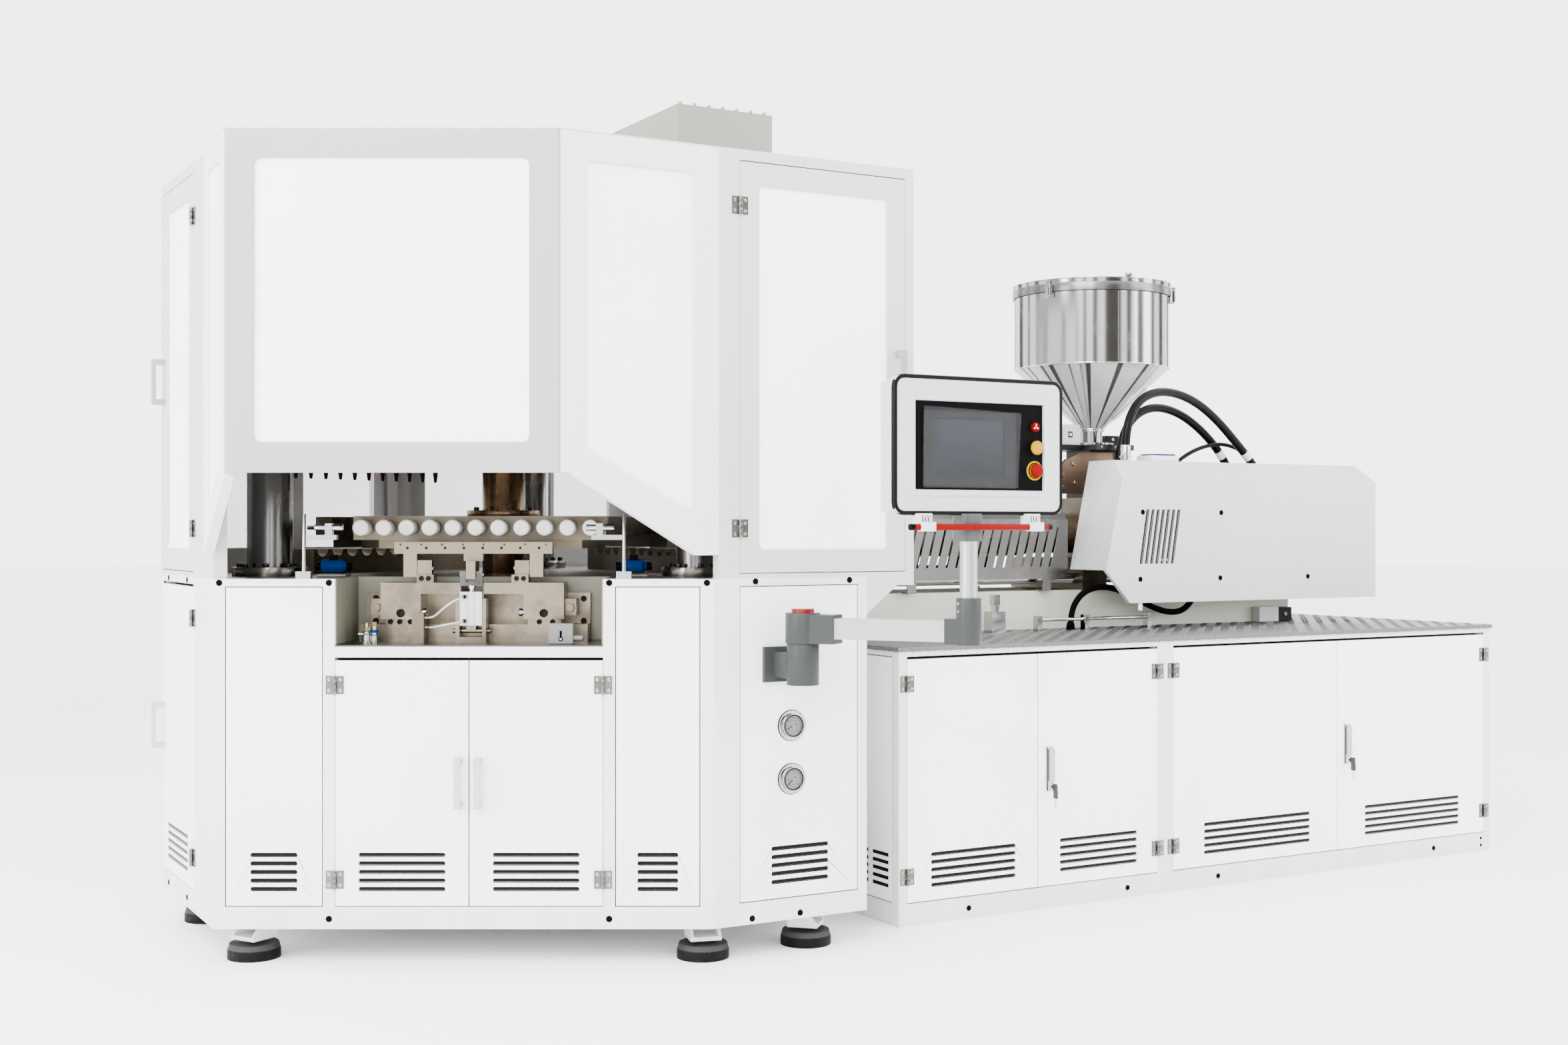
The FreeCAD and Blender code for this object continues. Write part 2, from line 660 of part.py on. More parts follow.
def deck_plate():
    """The machined deck, notched for the recess, bored for the turret's shaft."""
    deck = prism(inset(LOWER_SIDES, FRAME_DEPTH), DECK_BOTTOM, DECK_TOP)
    x0, x1, deep = recess_outline(0)
    notch = FRONT.put(box(x0, x1, -1, deep, DECK_BOTTOM - 1, DECK_TOP + 1))
    bore = rod((0, 0, DECK_BOTTOM - 1), (0, 0, DECK_TOP + 1), SHAFT_RADIUS + RUNNING_FIT)
    return [deck.cut(notch).cut(bore)]


def recess_liner():
    """The folded liner of the recess, with its floor tray."""
    x0, x1, deep = recess_outline(0)
    ix0, ix1, inner = recess_outline(RECESS_WALL)
    shell = box(x0, x1, 0, deep, RECESS_FLOOR, DECK_TOP)
    hollow = box(ix0, ix1, -1, inner, RECESS_FLOOR + RECESS_WALL, DECK_TOP + 1)
    return [FRONT.put(shell.cut(hollow))]


# ---------------------------------------------------------------- upper cabinet
RIGHT_OPENING_HALF = 360.0
RIGHT_OPENING_TOP = 1720.0
OVERHANG_BOTTOM = 1111.0
GUSSET_RUN = 112.0
GUSSET_DROP = 86.0
UP_POST = 60.0
UP_RAIL = 28.0
HOOD_TURN = math.tan(math.radians(-FRONT.degrees))


def hood_plan():
    """The hood's outline: left wing, front and right wing, outside and inside."""
    nx, ny = math.sin(math.radians(FRONT.degrees)), -math.cos(math.radians(FRONT.degrees))
    px, py = LOWER[0][0] + HOOD_OUT * nx, LOWER[0][1] + HOOD_OUT * ny
    left_x = -CELL_LEFT - HOOD_LEFT_OUT
    start = (left_x, py - (left_x - px) * HOOD_TURN)
    end = (px + (py + CELL_HALF_DEPTH) / HOOD_TURN, -CELL_HALF_DEPTH)
    return start, end


HOOD_START, HOOD_END = hood_plan()
HOOD_FRONT = Side(HOOD_START, HOOD_END)
HOOD_LEFT = Side((HOOD_START[0], -FRONT_CORNER_Y), HOOD_START)
HOOD_RIGHT = Side(HOOD_END, (FRONT_CORNER_X + HOOD_WING_END, -CELL_HALF_DEPTH))


def upper_frame():
    """Posts and rails of the glazed cabinet above the deck, and the gussets under its overhang."""
    side_post = SIDE_POST - HOOD_WING_END
    x0 = FRONT_CORNER_X + HOOD_WING_END
    solids = [
        box(x0, x0 + side_post, -CELL_HALF_DEPTH, FRAME_DEPTH - CELL_HALF_DEPTH, DECK_TOP, WALL_TOP),
        corner_post(UP_SIDE, SIDE_END_POST, UP_RIGHT, UP_POST, DECK_TOP, WALL_TOP),
        corner_post(UP_RIGHT, UP_POST, UP_BACK, UP_POST, DECK_TOP, WALL_TOP),
        corner_post(UP_BACK, UP_POST, UP_REAR, UP_POST, DECK_TOP, WALL_TOP),
        corner_post(UP_REAR, UP_POST, UP_END, END_POST, DECK_TOP, WALL_TOP),
        UP_END.put(box(END_STRIP, UP_END.length, 0, FRAME_DEPTH, DECK_TOP, WALL_TOP)),
    ]
    rails = [(UP_END, END_POST, END_STRIP), (UP_SIDE, SIDE_POST, UP_SIDE.length - SIDE_END_POST)]
    for side in (UP_RIGHT, UP_BACK, UP_REAR):
        rails.append((side, UP_POST, side.length - UP_POST))
    for side, x0, x1 in rails:
        solids.append(side.put(box(x0, x1, 0, FRAME_DEPTH, WALL_TOP - UP_RAIL, WALL_TOP)))
        if side is not UP_RIGHT:
            solids.append(side.put(box(x0, x1, 0, FRAME_DEPTH, DECK_TOP, DECK_TOP + UP_RAIL / 2)))
    sill = box(CELL_RIGHT, CABINET_RIGHT, -CELL_HALF_DEPTH, CELL_HALF_DEPTH, OVERHANG_BOTTOM, DECK_TOP)
    solids.append(sill)
    for y in (-CELL_HALF_DEPTH, CELL_HALF_DEPTH - FRAME_DEPTH):
        outline = [(CELL_RIGHT, OVERHANG_BOTTOM), (CELL_RIGHT + GUSSET_RUN, OVERHANG_BOTTOM)]
        outline.append((CELL_RIGHT, OVERHANG_BOTTOM - GUSSET_DROP))
        solids.append(plate(outline, y, y + FRAME_DEPTH))
    for x in opening_posts():
        solids.append(UP_RIGHT.put(box(x, x + FRAME_DEPTH, 0, FRAME_DEPTH, DECK_TOP, WALL_TOP - UP_RAIL)))
    return solids


def opening_posts():
    """Where the two posts beside the injection unit's opening start."""
    centre = UP_RIGHT.length / 2
    return centre - RIGHT_OPENING_HALF - FRAME_DEPTH, centre + RIGHT_OPENING_HALF


def upper_bays():
    """The fixed glazed bays of the upper cabinet: face, left, right, bottom and top."""
    low, high = DECK_TOP + UP_RAIL / 2, WALL_TOP - UP_RAIL
    centre = UP_RIGHT.length / 2
    return [
        (UP_BACK, UP_POST, UP_BACK.length / 2, low, high),
        (UP_BACK, UP_BACK.length / 2, UP_BACK.length - UP_POST, low, high),
        (UP_REAR, UP_POST, UP_REAR.length / 2, low, high),
        (UP_REAR, UP_REAR.length / 2, UP_REAR.length - UP_POST, low, high),
        (UP_RIGHT, centre - RIGHT_OPENING_HALF, centre + RIGHT_OPENING_HALF, RIGHT_OPENING_TOP, high),
        (UP_RIGHT, opening_posts()[1] + FRAME_DEPTH, UP_RIGHT.length - UP_POST, DECK_TOP, high),
    ]


def upper_panels():
    """The fixed sheet frames round the rear and right windows, and the roof sheet."""
    solids = [side.put(glazed(x0, x1, z0, z1, DOOR_THICK)[0]) for side, x0, x1, z0, z1 in upper_bays()]
    outline = [HOOD_START, HOOD_END] + UPPER[2:] + [(-CELL_LEFT, -FRONT_CORNER_Y)]
    outline.append((HOOD_START[0], -FRONT_CORNER_Y))
    solids.append(prism(outline, WALL_TOP, ROOF_TOP))
    return solids


def wing_hole(side, margin0, margin1, low0, low1):
    """A window in a wing of the hood, its foot slanting between two heights."""
    outline = [
        (margin0, low0),
        (side.length - margin1, low1),
        (side.length - margin1, HOOD_WINDOW_TOP),
        (margin0, HOOD_WINDOW_TOP),
    ]
    return rounded(plate(outline, -1, HOOD_THICK + 1), WINDOW_RADIUS, Vector(0, 1, 0))


def hood_holes():
    """The three window openings of the hood, each with its face."""
    rise = HOOD_WINDOW_BOTTOM - HOOD_BOTTOM
    margin = HOOD_WINDOW_MARGIN
    span = HOOD_RIGHT.length
    front = box(margin, HOOD_FRONT.length - margin, -1, HOOD_THICK + 1, HOOD_WINDOW_BOTTOM, HOOD_WINDOW_TOP)
    front = rounded(front, WINDOW_RADIUS, Vector(0, 1, 0))
    fall = HOOD_BOTTOM - HOOD_WING_BOTTOM
    slope = fall / (span - HOOD_SLOPE_FOOT)
    right_low = HOOD_BOTTOM + rise - slope * HOOD_WING_MARGIN * 0.3
    right_end = right_low - slope * (span - 2 * HOOD_WING_MARGIN)
    right = wing_hole(HOOD_RIGHT, HOOD_WING_MARGIN, HOOD_WING_MARGIN, right_low, right_end)
    left_slope = fall / HOOD_LEFT.length
    left_margin = 0.5 * HOOD_WING_MARGIN
    left_high = HOOD_WINDOW_BOTTOM - left_slope * left_margin
    left_low = left_high - left_slope * (HOOD_LEFT.length - 2 * left_margin)
    left = wing_hole(HOOD_LEFT, left_margin, left_margin, left_low, left_high)
    return (HOOD_LEFT, left), (HOOD_FRONT, front), (HOOD_RIGHT, right)


def hood_sheet(side, outline, before, after):
    """One wall of the hood, mitred to its neighbours, from its outline in x and z."""
    wall = side.put(plate(outline, 0, HOOD_THICK))
    keep = [side.point(0, 0), side.point(side.length, 0)]
    keep.append(meet(side, after, HOOD_THICK) if after else side.point(side.length, HOOD_THICK))
    keep.append(meet(before, side, HOOD_THICK) if before else side.point(0, HOOD_THICK))
    return wall.common(prism(keep, 0, ROOF_TOP))


def hood_shell():
    """The hood: one welded shell of three box-section walls with window openings."""
    (left, left_hole), (front, front_hole), (right, right_hole) = hood_holes()
    slope_end = right.length - HOOD_SLOPE_FOOT
    left_outline = [(0, HOOD_WING_BOTTOM), (left.length, HOOD_BOTTOM), (left.length, WALL_TOP), (0, WALL_TOP)]
    front_outline = [(0, HOOD_BOTTOM), (front.length, HOOD_BOTTOM), (front.length, WALL_TOP), (0, WALL_TOP)]
    right_outline = [
        (0, HOOD_BOTTOM),
        (0.06 * right.length, HOOD_BOTTOM),
        (slope_end, HOOD_WING_BOTTOM),
        (right.length, HOOD_WING_BOTTOM),
        (right.length, WALL_TOP),
        (0, WALL_TOP),
    ]
    walls = [
        hood_sheet(left, left_outline, None, front),
        hood_sheet(front, front_outline, left, right),
        hood_sheet(right, right_outline, front, None),
    ]
    shell = walls[0].fuse(walls[1:]).removeSplitter()
    holes = [side.put(hole) for side, hole in ((left, left_hole), (front, front_hole), (right, right_hole))]
    return [less(shell, holes)]


def window_panes():
    """The frosted panes of the hood and of the fixed glazed bays."""
    panes = []
    for side, hole in hood_holes():
        inset_depth = 0.3 * HOOD_THICK
        layer = box(0, side.length, inset_depth, inset_depth + PANE_THICK, 0, ROOF_TOP)
        panes.append(side.put(hole.common(layer)))
    for side, x0, x1, z0, z1 in upper_bays():
        panes.append(side.put(glazed(x0, x1, z0, z1, DOOR_THICK)[1]))
    return panes


def top_box():
    """The cream cover over the clamp cylinder on the roof, with studs along its top edge."""
    x1, top = TOP_BOX_X + TOP_BOX_LENGTH, ROOF_TOP + TOP_BOX_HEIGHT
    half = TOP_BOX_HALF_WIDTH
    cover = box(TOP_BOX_X, x1, -half, half, ROOF_TOP, top)
    sheet = 1.5 * SHEET
    inside = box(TOP_BOX_X + sheet, x1 - sheet, sheet - half, half - sheet, ROOF_TOP - 1, top - sheet)
    cover = cover.cut(inside)
    solids = [cover]
    pitch = (TOP_BOX_LENGTH - 40.0) / (TOP_BOX_STUDS - 1)
    for i in range(TOP_BOX_STUDS):
        for y in (20.0 - half, half - 20.0):
            x = TOP_BOX_X + 20.0 + i * pitch
            solids.append(rod((x, y, top), (x, y, top + 12.0), 6.0))
    return solids


# ---------------------------------------------------------------- hinged doors
def door_rows():
    """Every hinged door: name, face, left, right, bottom, top, hinge side, glazed, handle height."""
    low, high = DECK_TOP + UP_RAIL / 2, WALL_TOP - UP_RAIL
    nozzle_right = opening_posts()[0]
    rows = [
        ("front_door_left", FRONT, DOORS_LEFT, DOORS_MIDDLE, PANEL_BOTTOM, FRONT_DOOR_TOP, "left"),
        ("front_door_right", FRONT, DOORS_MIDDLE, DOORS_RIGHT, PANEL_BOTTOM, FRONT_DOOR_TOP, "right"),
        ("end_door_lower", END, END_POST, END_STRIP, PANEL_BOTTOM, PANEL_TOP, "right"),
        ("end_door_upper", UP_END, END_POST, END_STRIP, low, high, "right"),
        ("side_window_door", UP_SIDE, SIDE_POST, UP_SIDE.length - SIDE_END_POST, low, high, "left"),
        ("nozzle_door", UP_RIGHT, UP_POST, nozzle_right, DECK_TOP, high, "right"),
    ]
    x = BENCH_LEFT_POST
    for i, width in enumerate(BENCH_DOORS):
        side = "left" if i % 2 == 0 else "right"
        rows.append((f"bench_door_{i + 1}", BENCH, x, x + width, PLINTH, BENCH_DOOR_TOP, side))
        x += width + (BENCH_MIDDLE_POST if i == 1 else 0.0)
    return rows


GLAZED_DOORS = ("end_door_upper", "side_window_door", "nozzle_door")
HINGE_INSET = 0.11


def hinge_heights(z0, z1):
    """The two hinge heights on a door."""
    away = max(HINGE_INSET * (z1 - z0), 0.9 * HINGE_SIZE)
    return z0 + away, z1 - away


def door(name, side, x0, x1, z0, z1, hinge):
    """One door with its window or louvres, pull or lock case, and its hinge leaves."""
    hinge_x, direction = (x0, 1) if hinge == "left" else (x1, -1)
    gx0, gx1, gz0, gz1 = x0 + PANEL_GAP / 2, x1 - PANEL_GAP / 2, z0 + PANEL_GAP, z1 - PANEL_GAP
    far_x = x1 if hinge == "left" else x0
    solids = []
    if name in GLAZED_DOORS:
        solids += glazed(gx0, gx1, gz0, gz1, DOOR_THICK)
    else:
        margin = min(0.18 * (x1 - x0), 150.0)
        solids.append(pan(gx0 - PANEL_GAP, gx1 + PANEL_GAP, gz0 - PANEL_GAP, gz1 - PANEL_GAP, margin))
    middle = 0.5 * (z0 + z1)
    if not name.startswith("bench"):
        solids.append(handle(far_x - direction * 0.45 * DOOR_STILE, middle))
    elif hinge == "right":
        solids.append(lock_case(far_x + 1.7 * LOCK_WIDTH, middle))
    for z in hinge_heights(z0, z1):
        solids.append(hinge_moving(hinge_x, z, direction))
    return [side.put(s) for s in solids]


def hinge_leaves():
    """The frame's leaves and pins of every hinge."""
    solids = []
    for _, side, x0, x1, z0, z1, hinge in door_rows():
        hinge_x, direction = (x0, 1) if hinge == "left" else (x1, -1)
        for z in hinge_heights(z0, z1):
            solids.append(side.put(hinge_fixed(hinge_x, z, direction)))
    return solids


LOCK_DEEP = 5.0
KEY_RADIUS = 4.0
HUB_RADIUS = 5.0


def lock_case(x, z):
    """The flat case of a swing-handle lock on the face at y = 0, with its key cylinder."""
    half, wide = 0.5 * LOCK_HEIGHT, 0.5 * LOCK_WIDTH
    case = rounded(box(x - wide, x + wide, -LOCK_DEEP, 0, z - half, z + half), 4.0, Vector(0, 1, 0))
    key_z = z - half + 0.5 * LOCK_WIDTH
    cylinder = rod((x, -LOCK_DEEP, key_z), (x, -LOCK_DEEP - 6.0, key_z), 9.0)
    bore = rod((x, -LOCK_DEEP - 7.0, key_z), (x, -LOCK_DEEP, key_z), KEY_RADIUS + HINGE_FIT)
    hub_z = z + half - 0.6 * LOCK_WIDTH
    hub = rod((x, -LOCK_DEEP - 1, hub_z), (x, 1.5 - LOCK_DEEP, hub_z), HUB_RADIUS + HINGE_FIT)
    return less(case.fuse(cylinder).removeSplitter(), [bore, hub])


def lock_places():
    """Where the two lock cases are: their x and z in the bench face's frame."""
    places = []
    for name, side, x0, x1, z0, z1, hinge in door_rows():
        if name.startswith("bench") and hinge == "right":
            places.append((x0 + 1.7 * LOCK_WIDTH, 0.5 * (z0 + z1)))
    return places


def lock_lever(x, z):
    """The lever of a swing-handle lock, hung at its top."""
    half, wide = 0.5 * LOCK_HEIGHT, 0.36 * LOCK_WIDTH
    y1 = -LOCK_DEEP - CLEAR
    y0 = y1 - 9.0
    low = z - half + LOCK_WIDTH + 3.0
    top = z + half - 0.6 * LOCK_WIDTH
    lever = box(x - wide, x + wide, y0, y1, low, top)
    boss = rod((x, y1, top), (x, y0, top), wide + 1.5)
    stem = rod((x, y1, top), (x, 1.5 - LOCK_DEEP - CLEAR, top), HUB_RADIUS)
    return BENCH.put(lever.fuse([boss, stem]).removeSplitter())


def lock_key(x, z):
    """The key in its cylinder, with a spare key hanging from its ring."""
    key_z = z - 0.5 * LOCK_HEIGHT + 0.5 * LOCK_WIDTH
    y1 = -LOCK_DEEP
    shank = rod((x, y1 - CLEAR, key_z), (x, y1 - 12.0, key_z), KEY_RADIUS)
    head = box(x - 2.0, x + 2.0, y1 - 34.0, y1 - 12.0, key_z - 11.0, key_z + 11.0)
    spare = box(x - 2.0, x + 2.0, y1 - 36.0, y1 - 16.0, key_z - 38.0, key_z - 11.0)
    blade = box(x - 1.2, x + 1.2, y1 - 29.0, y1 - 23.0, key_z - 70.0, key_z - 38.0)
    return BENCH.put(shank.fuse([head, spare, blade]).removeSplitter())


# ---------------------------------------------------------------- columns, turret and clamp
def column_places():
    """The three tie columns, opposite the stations."""
    return [
        (COLUMN_CIRCLE * math.cos(math.radians(a)), COLUMN_CIRCLE * math.sin(math.radians(a)))
        for a in (180, -60, 60)
    ]


def tie_columns():
    """Ground columns with their split foot flanges, bolted to the deck."""
    solids = []
    flange_top = DECK_TOP + COLUMN_FLANGE_THICK
    for x, y in column_places():
        solids.append(rod((x, y, DECK_TOP), (x, y, COLUMN_TOP), COLUMN_RADIUS))
        ring = tube((x, y, DECK_TOP), (x, y, flange_top), COLUMN_FLANGE, COLUMN_RADIUS)
        solids.append(ring)
        for i in range(8):
            turn = math.radians(22.5 + 45 * i)
            across = 0.5 * (COLUMN_RADIUS + COLUMN_FLANGE)
            bx, by = x + across * math.cos(turn), y + across * math.sin(turn)
            solids.append(rod((bx, by, flange_top), (bx, by, flange_top + 12.0), 9.0))
    return solids


def triangle(reach, corner):
    """A triangular plan round the three columns, with cut corners."""
    outline = []
    for a in (180, 300, 60):
        out = Vector(math.cos(math.radians(a)), math.sin(math.radians(a)))
        across = Vector(-out.y, out.x)
        for side in (-1, 1):
            p = out * reach + across * (side * corner)
            outline.append((p.x, p.y))
    return outline


def crown():
    """The fixed crown that ties the columns' tops, with the clamp cylinder's body."""
    reach = COLUMN_CIRCLE + 1.4 * COLUMN_RADIUS
    top_plate = prism(triangle(reach, PLATEN_CORNER), COLUMN_TOP, CROWN_TOP)
    bore = rod((0, 0, COLUMN_TOP - 1), (0, 0, CROWN_TOP + 1), CLAMP_ROD + RUNNING_FIT)
    body = tube((0, 0, CROWN_TOP), (0, 0, CYLINDER_END), CLAMP_BORE + 50.0, CLAMP_BORE + RUNNING_FIT)
    return [top_plate.cut(bore), body]


def clamp_platen():
    """The moving crosshead on the columns, with its rod, upper mould halves and nozzle manifold."""
    reach = COLUMN_CIRCLE + 1.4 * COLUMN_RADIUS
    top = PLATEN_BOTTOM + PLATEN_THICK
    plate_solid = prism(triangle(reach, PLATEN_CORNER), PLATEN_BOTTOM, top)
    bores = [
        rod((x, y, PLATEN_BOTTOM - 1), (x, y, top + 1), COLUMN_RADIUS + RUNNING_FIT)
        for x, y in column_places()
    ]
    solids = [less(plate_solid, bores)]
    piston = rod((0, 0, CYLINDER_END - 3 - PISTON_THICK), (0, 0, CYLINDER_END - 3), CLAMP_BORE)
    solids.append(rod((0, 0, top), (0, 0, CYLINDER_END - 3), CLAMP_ROD).fuse(piston).removeSplitter())
    for turn in (0, 120):
        solids.append(turn_to(mould_half(UPPER_MOULD, PLATEN_BOTTOM, UPPER_MOULD), turn))
    nozzle_top = NOZZLE_TIP + NOZZLE_LENGTH
    manifold = box(NOZZLE_CIRCLE - 15, NOZZLE_CIRCLE + 15, -395, 395, nozzle_top, PLATEN_BOTTOM)
    solids.append(turn_to(manifold, 120))
    return solids


def turn_to(shape, degrees):
    """The shape turned about the turret's axis."""
    moved = shape.copy()
    moved.rotate(Vector(0, 0, 0), UP, degrees)
    return moved


PARTING = ROD_HEIGHT - TURRET_LIFT
UPPER_MOULD = PARTING + MOULD_GAP + CLAMP_STROKE
MOULD_FRONT = HEAD_REACH + 8.0
SHAFT_TOP = PLATEN_BOTTOM - CLAMP_STROKE + TURRET_LIFT - 6.0
SHAFT_BOTTOM = DECK_BOTTOM - 100.0
CROWN_TOP = COLUMN_TOP + CROWN_THICK
CYLINDER_END = WALL_TOP - 5.0


def row_places():
    """The sideways places of the rods in one row."""
    first = -0.5 * (ROD_COUNT - 1) * ROD_PITCH
    return [first + i * ROD_PITCH for i in range(ROD_COUNT)]


def mould_half(z0, z1, split):
    """Half a mould block, outward along +x, with a half cavity for each rod at the split height."""
    x0, x1 = MOULD_FRONT, MOULD_FRONT + MOULD_DEPTH
    half = 0.5 * HEAD_BAR_LENGTH
    block = box(x0, x1, -half, half, z0, z1)
    cavities = []
    for y in row_places():
        cavities.append(rod((x0 - 1, y, split), (x1 - 15, y, split), BOTTLE_RADIUS + 1.0))
    return less(block, cavities)


def lower_moulds():
    """The fixed lower mould halves on the deck, at the injection and the blowing station."""
    top = PARTING - MOULD_GAP
    return [turn_to(mould_half(DECK_TOP, top, top), turn) for turn in (0, 120)]


def injection_nozzles():
    """The nozzle pipes between the hot manifold and the lower injection mould."""
    z = PARTING - 8.0
    start = MOULD_FRONT + MOULD_DEPTH
    return [rod((start, y, z), (MANIFOLD_X, y, z), 6.0) for y in row_places()[1:-1]]


def blow_nozzles():
    """The row of tapered black nozzles under the blowing station's manifold."""
    solids = []
    low, top = NOZZLE_TIP, NOZZLE_TIP + NOZZLE_LENGTH
    profile = [(0, low), (5.0, low), (9.0, low + 30), (9.0, low + 50)]
    profile += [(13.0, low + 52), (13.0, top), (0, top)]
    for y in row_places():
        solids.append(turn_to(turned(profile, NOZZLE_CIRCLE, y), 120))
    return solids


def turret_shaft():
    """The bronze lifting column of the turret with its bolted flange."""
    head_top = ROD_HEIGHT + HEAD_BAR_TOP
    column = rod((0, 0, SHAFT_BOTTOM), (0, 0, SHAFT_TOP), SHAFT_RADIUS)
    flange = rod((0, 0, head_top + CLEAR), (0, 0, head_top + 22), SHAFT_FLANGE)
    head_low = ROD_HEIGHT - HEAD_PLATE / 2 - CLEAR
    shoulder = rod((0, 0, head_low - 20), (0, 0, head_low), SHAFT_FLANGE - 20)
    solid = column.fuse([flange, shoulder]).removeSplitter()
    bolts = []
    for i in range(8):
        turn = math.radians(45 * i)
        x, y = 96.0 * math.cos(turn), 96.0 * math.sin(turn)
        bolts.append(rod((x, y, head_top + 22), (x, y, head_top + 33), 8.0))
    return [solid] + bolts


def turret_head():
    """The indexing head: three rod bars on a plate, each over a lower band that turns past the stripper."""
    low, high = ROD_HEIGHT - HEAD_BAR_BOTTOM, ROD_HEIGHT + HEAD_BAR_TOP
    half = 0.5 * HEAD_BAR_LENGTH
    inner = HEAD_REACH - HEAD_BAR_DEPTH
    outline = []
    for a in (0, 120, 240):
        for side in (-1, 1):
            turn = math.radians(a)
            x, y = inner + 1, side * 0.8 * half
            outline.append((x * math.cos(turn) - y * math.sin(turn), x * math.sin(turn) + y * math.cos(turn)))
    head = prism(outline, ROD_HEIGHT - HEAD_PLATE / 2, high)
    pieces = []
    band_reach = HEAD_REACH - HEAD_BAND_BACK
    swing = rod((0, 0, low - HEAD_BAND), (0, 0, low), STRIPPER_REACH - STRIPPER_GAP)
    for a in (0, 120, 240):
        pieces.append(turn_to(box(inner, HEAD_REACH, -half, half, low, high), a))
        band = box(inner, band_reach, -half, half, low - HEAD_BAND, low)
        pieces.append(turn_to(band.common(swing), a))
    head = head.fuse(pieces).removeSplitter()
    return [head.cut(rod((0, 0, low - 99), (0, 0, high + 1), SHAFT_RADIUS + RUNNING_FIT))]


def core_rods():
    """Three rows of polished core rods with their collars."""
    solids = []
    tip = HEAD_REACH + BOTTLE_LENGTH - 8
    for a in (0, 120, 240):
        for y in row_places():
            pin = rod((HEAD_REACH, y, ROD_HEIGHT), (tip, y, ROD_HEIGHT), ROD_RADIUS)
            solids.append(turn_to(pin, a))
    return solids


def moulded_bottles():
    """The row of blown bottles on the stripping station's rods, bottoms outward."""
    solids = []
    neck0 = HEAD_REACH + 1.0
    base = HEAD_REACH + 3.0 + BOTTLE_LENGTH
    wall = BOTTLE_WALL
    outer = [
        (BOTTLE_NECK, 0.0),
        (BOTTLE_NECK, 16.0),
        (BOTTLE_RADIUS, 26.0),
        (BOTTLE_RADIUS, base - neck0 - 4.0),
        (BOTTLE_RADIUS - 4.0, base - neck0),
        (0.0, base - neck0),
    ]
    inner = [
        (0.0, base - neck0 - wall),
        (BOTTLE_RADIUS - 4.0 - wall, base - neck0 - wall),
        (BOTTLE_RADIUS - wall, base - neck0 - 4.0 - wall),
        (BOTTLE_RADIUS - wall, 26.0 + wall / 2),
        (ROD_RADIUS + RUNNING_FIT, 18.0),
        (ROD_RADIUS + RUNNING_FIT, 0.0),
    ]
    for y in row_places():
        bottle = turned(outer + inner)
        bottle.rotate(Vector(0, 0, 0), Vector(0, 1, 0), 90)
        bottle.translate(Vector(neck0, y, ROD_HEIGHT))
        solids.append(turn_to(bottle, 240))
    return solids


def index_drive():
    """The turret's lift and index drive under the deck."""
    low = SHAFT_BOTTOM - TURRET_LIFT - 10
    case_radius, motor_radius = 150.0, 62.0
    case = rod((0, 0, low - 2.5 * motor_radius), (0, 0, DECK_BOTTOM), case_radius)
    hollow = rod((0, 0, low), (0, 0, DECK_BOTTOM + 1), SHAFT_RADIUS + 8.0)
    motor_z = low - 1.25 * motor_radius
    motor = rod((0, 0, motor_z), (case_radius + 280, 0, motor_z), motor_radius)
    return [case.fuse(motor).removeSplitter().cut(hollow)]


# ---------------------------------------------------------------- stripper in the recess
# Built in the station's frame: x to the right, y from the turret's axis inwards, so the front is -y.
def stripper_bar():
    """The stripping bar with its holes, two hinge ears, centre tongue and pivot pins."""
    half, low = 0.5 * STRIPPER_LENGTH, STRIPPER_TOP - STRIPPER_HEIGHT
    y0, y1 = -STRIPPER_REACH - STRIPPER_THICK, -STRIPPER_REACH
    bar_solid = box(-half, half, y0, y1, low, STRIPPER_TOP)
    pitch = STRIPPER_LENGTH / (STRIPPER_HOLES - 0.4)
    holes = []
    for i in range(STRIPPER_HOLES):
        x = (i - 0.5 * (STRIPPER_HOLES - 1)) * pitch
        hole_z = low + 0.8 * STRIPPER_HEIGHT
        holes.append(rod((x, y0 - 1, hole_z), (x, y0 + 14, hole_z), 3.2))
    pieces = []
    y_pin = 0.5 * (y0 + y1)
    for side in (-1, 1):
        outer = sorted((side * (EAR_OFFSET - 0.5 * EAR_WIDTH + 2), side * (EAR_OFFSET + 0.5 * EAR_WIDTH)))
        pieces.append(box(outer[0], outer[1], y0, y1, PIVOT_HEIGHT - 26, low))
        pin_x = (side * EAR_OFFSET, side * (EAR_OFFSET - 1.6 * EAR_WIDTH))
        pieces.append(rod((pin_x[0], y_pin, PIVOT_HEIGHT), (pin_x[1], y_pin, PIVOT_HEIGHT), PIVOT_RADIUS))
    pieces.append(box(-29, 29, y0, y1, low - 22, low))
    y_clevis = y0 - CYLINDER_OUT
    pieces.append(box(-14, 14, y_clevis - 22, y1, CLEVIS_PIN - 13, low - 22))
    slot = CLEVIS_PIN_RADIUS + 0.5
    gap = box(-15, 15, y_clevis - slot - 7, y_clevis + slot, CLEVIS_PIN - slot, CLEVIS_PIN + slot)
    solid = less(bar_solid, holes).fuse(pieces).removeSplitter()
    return [STATION.put(solid.cut(gap))]


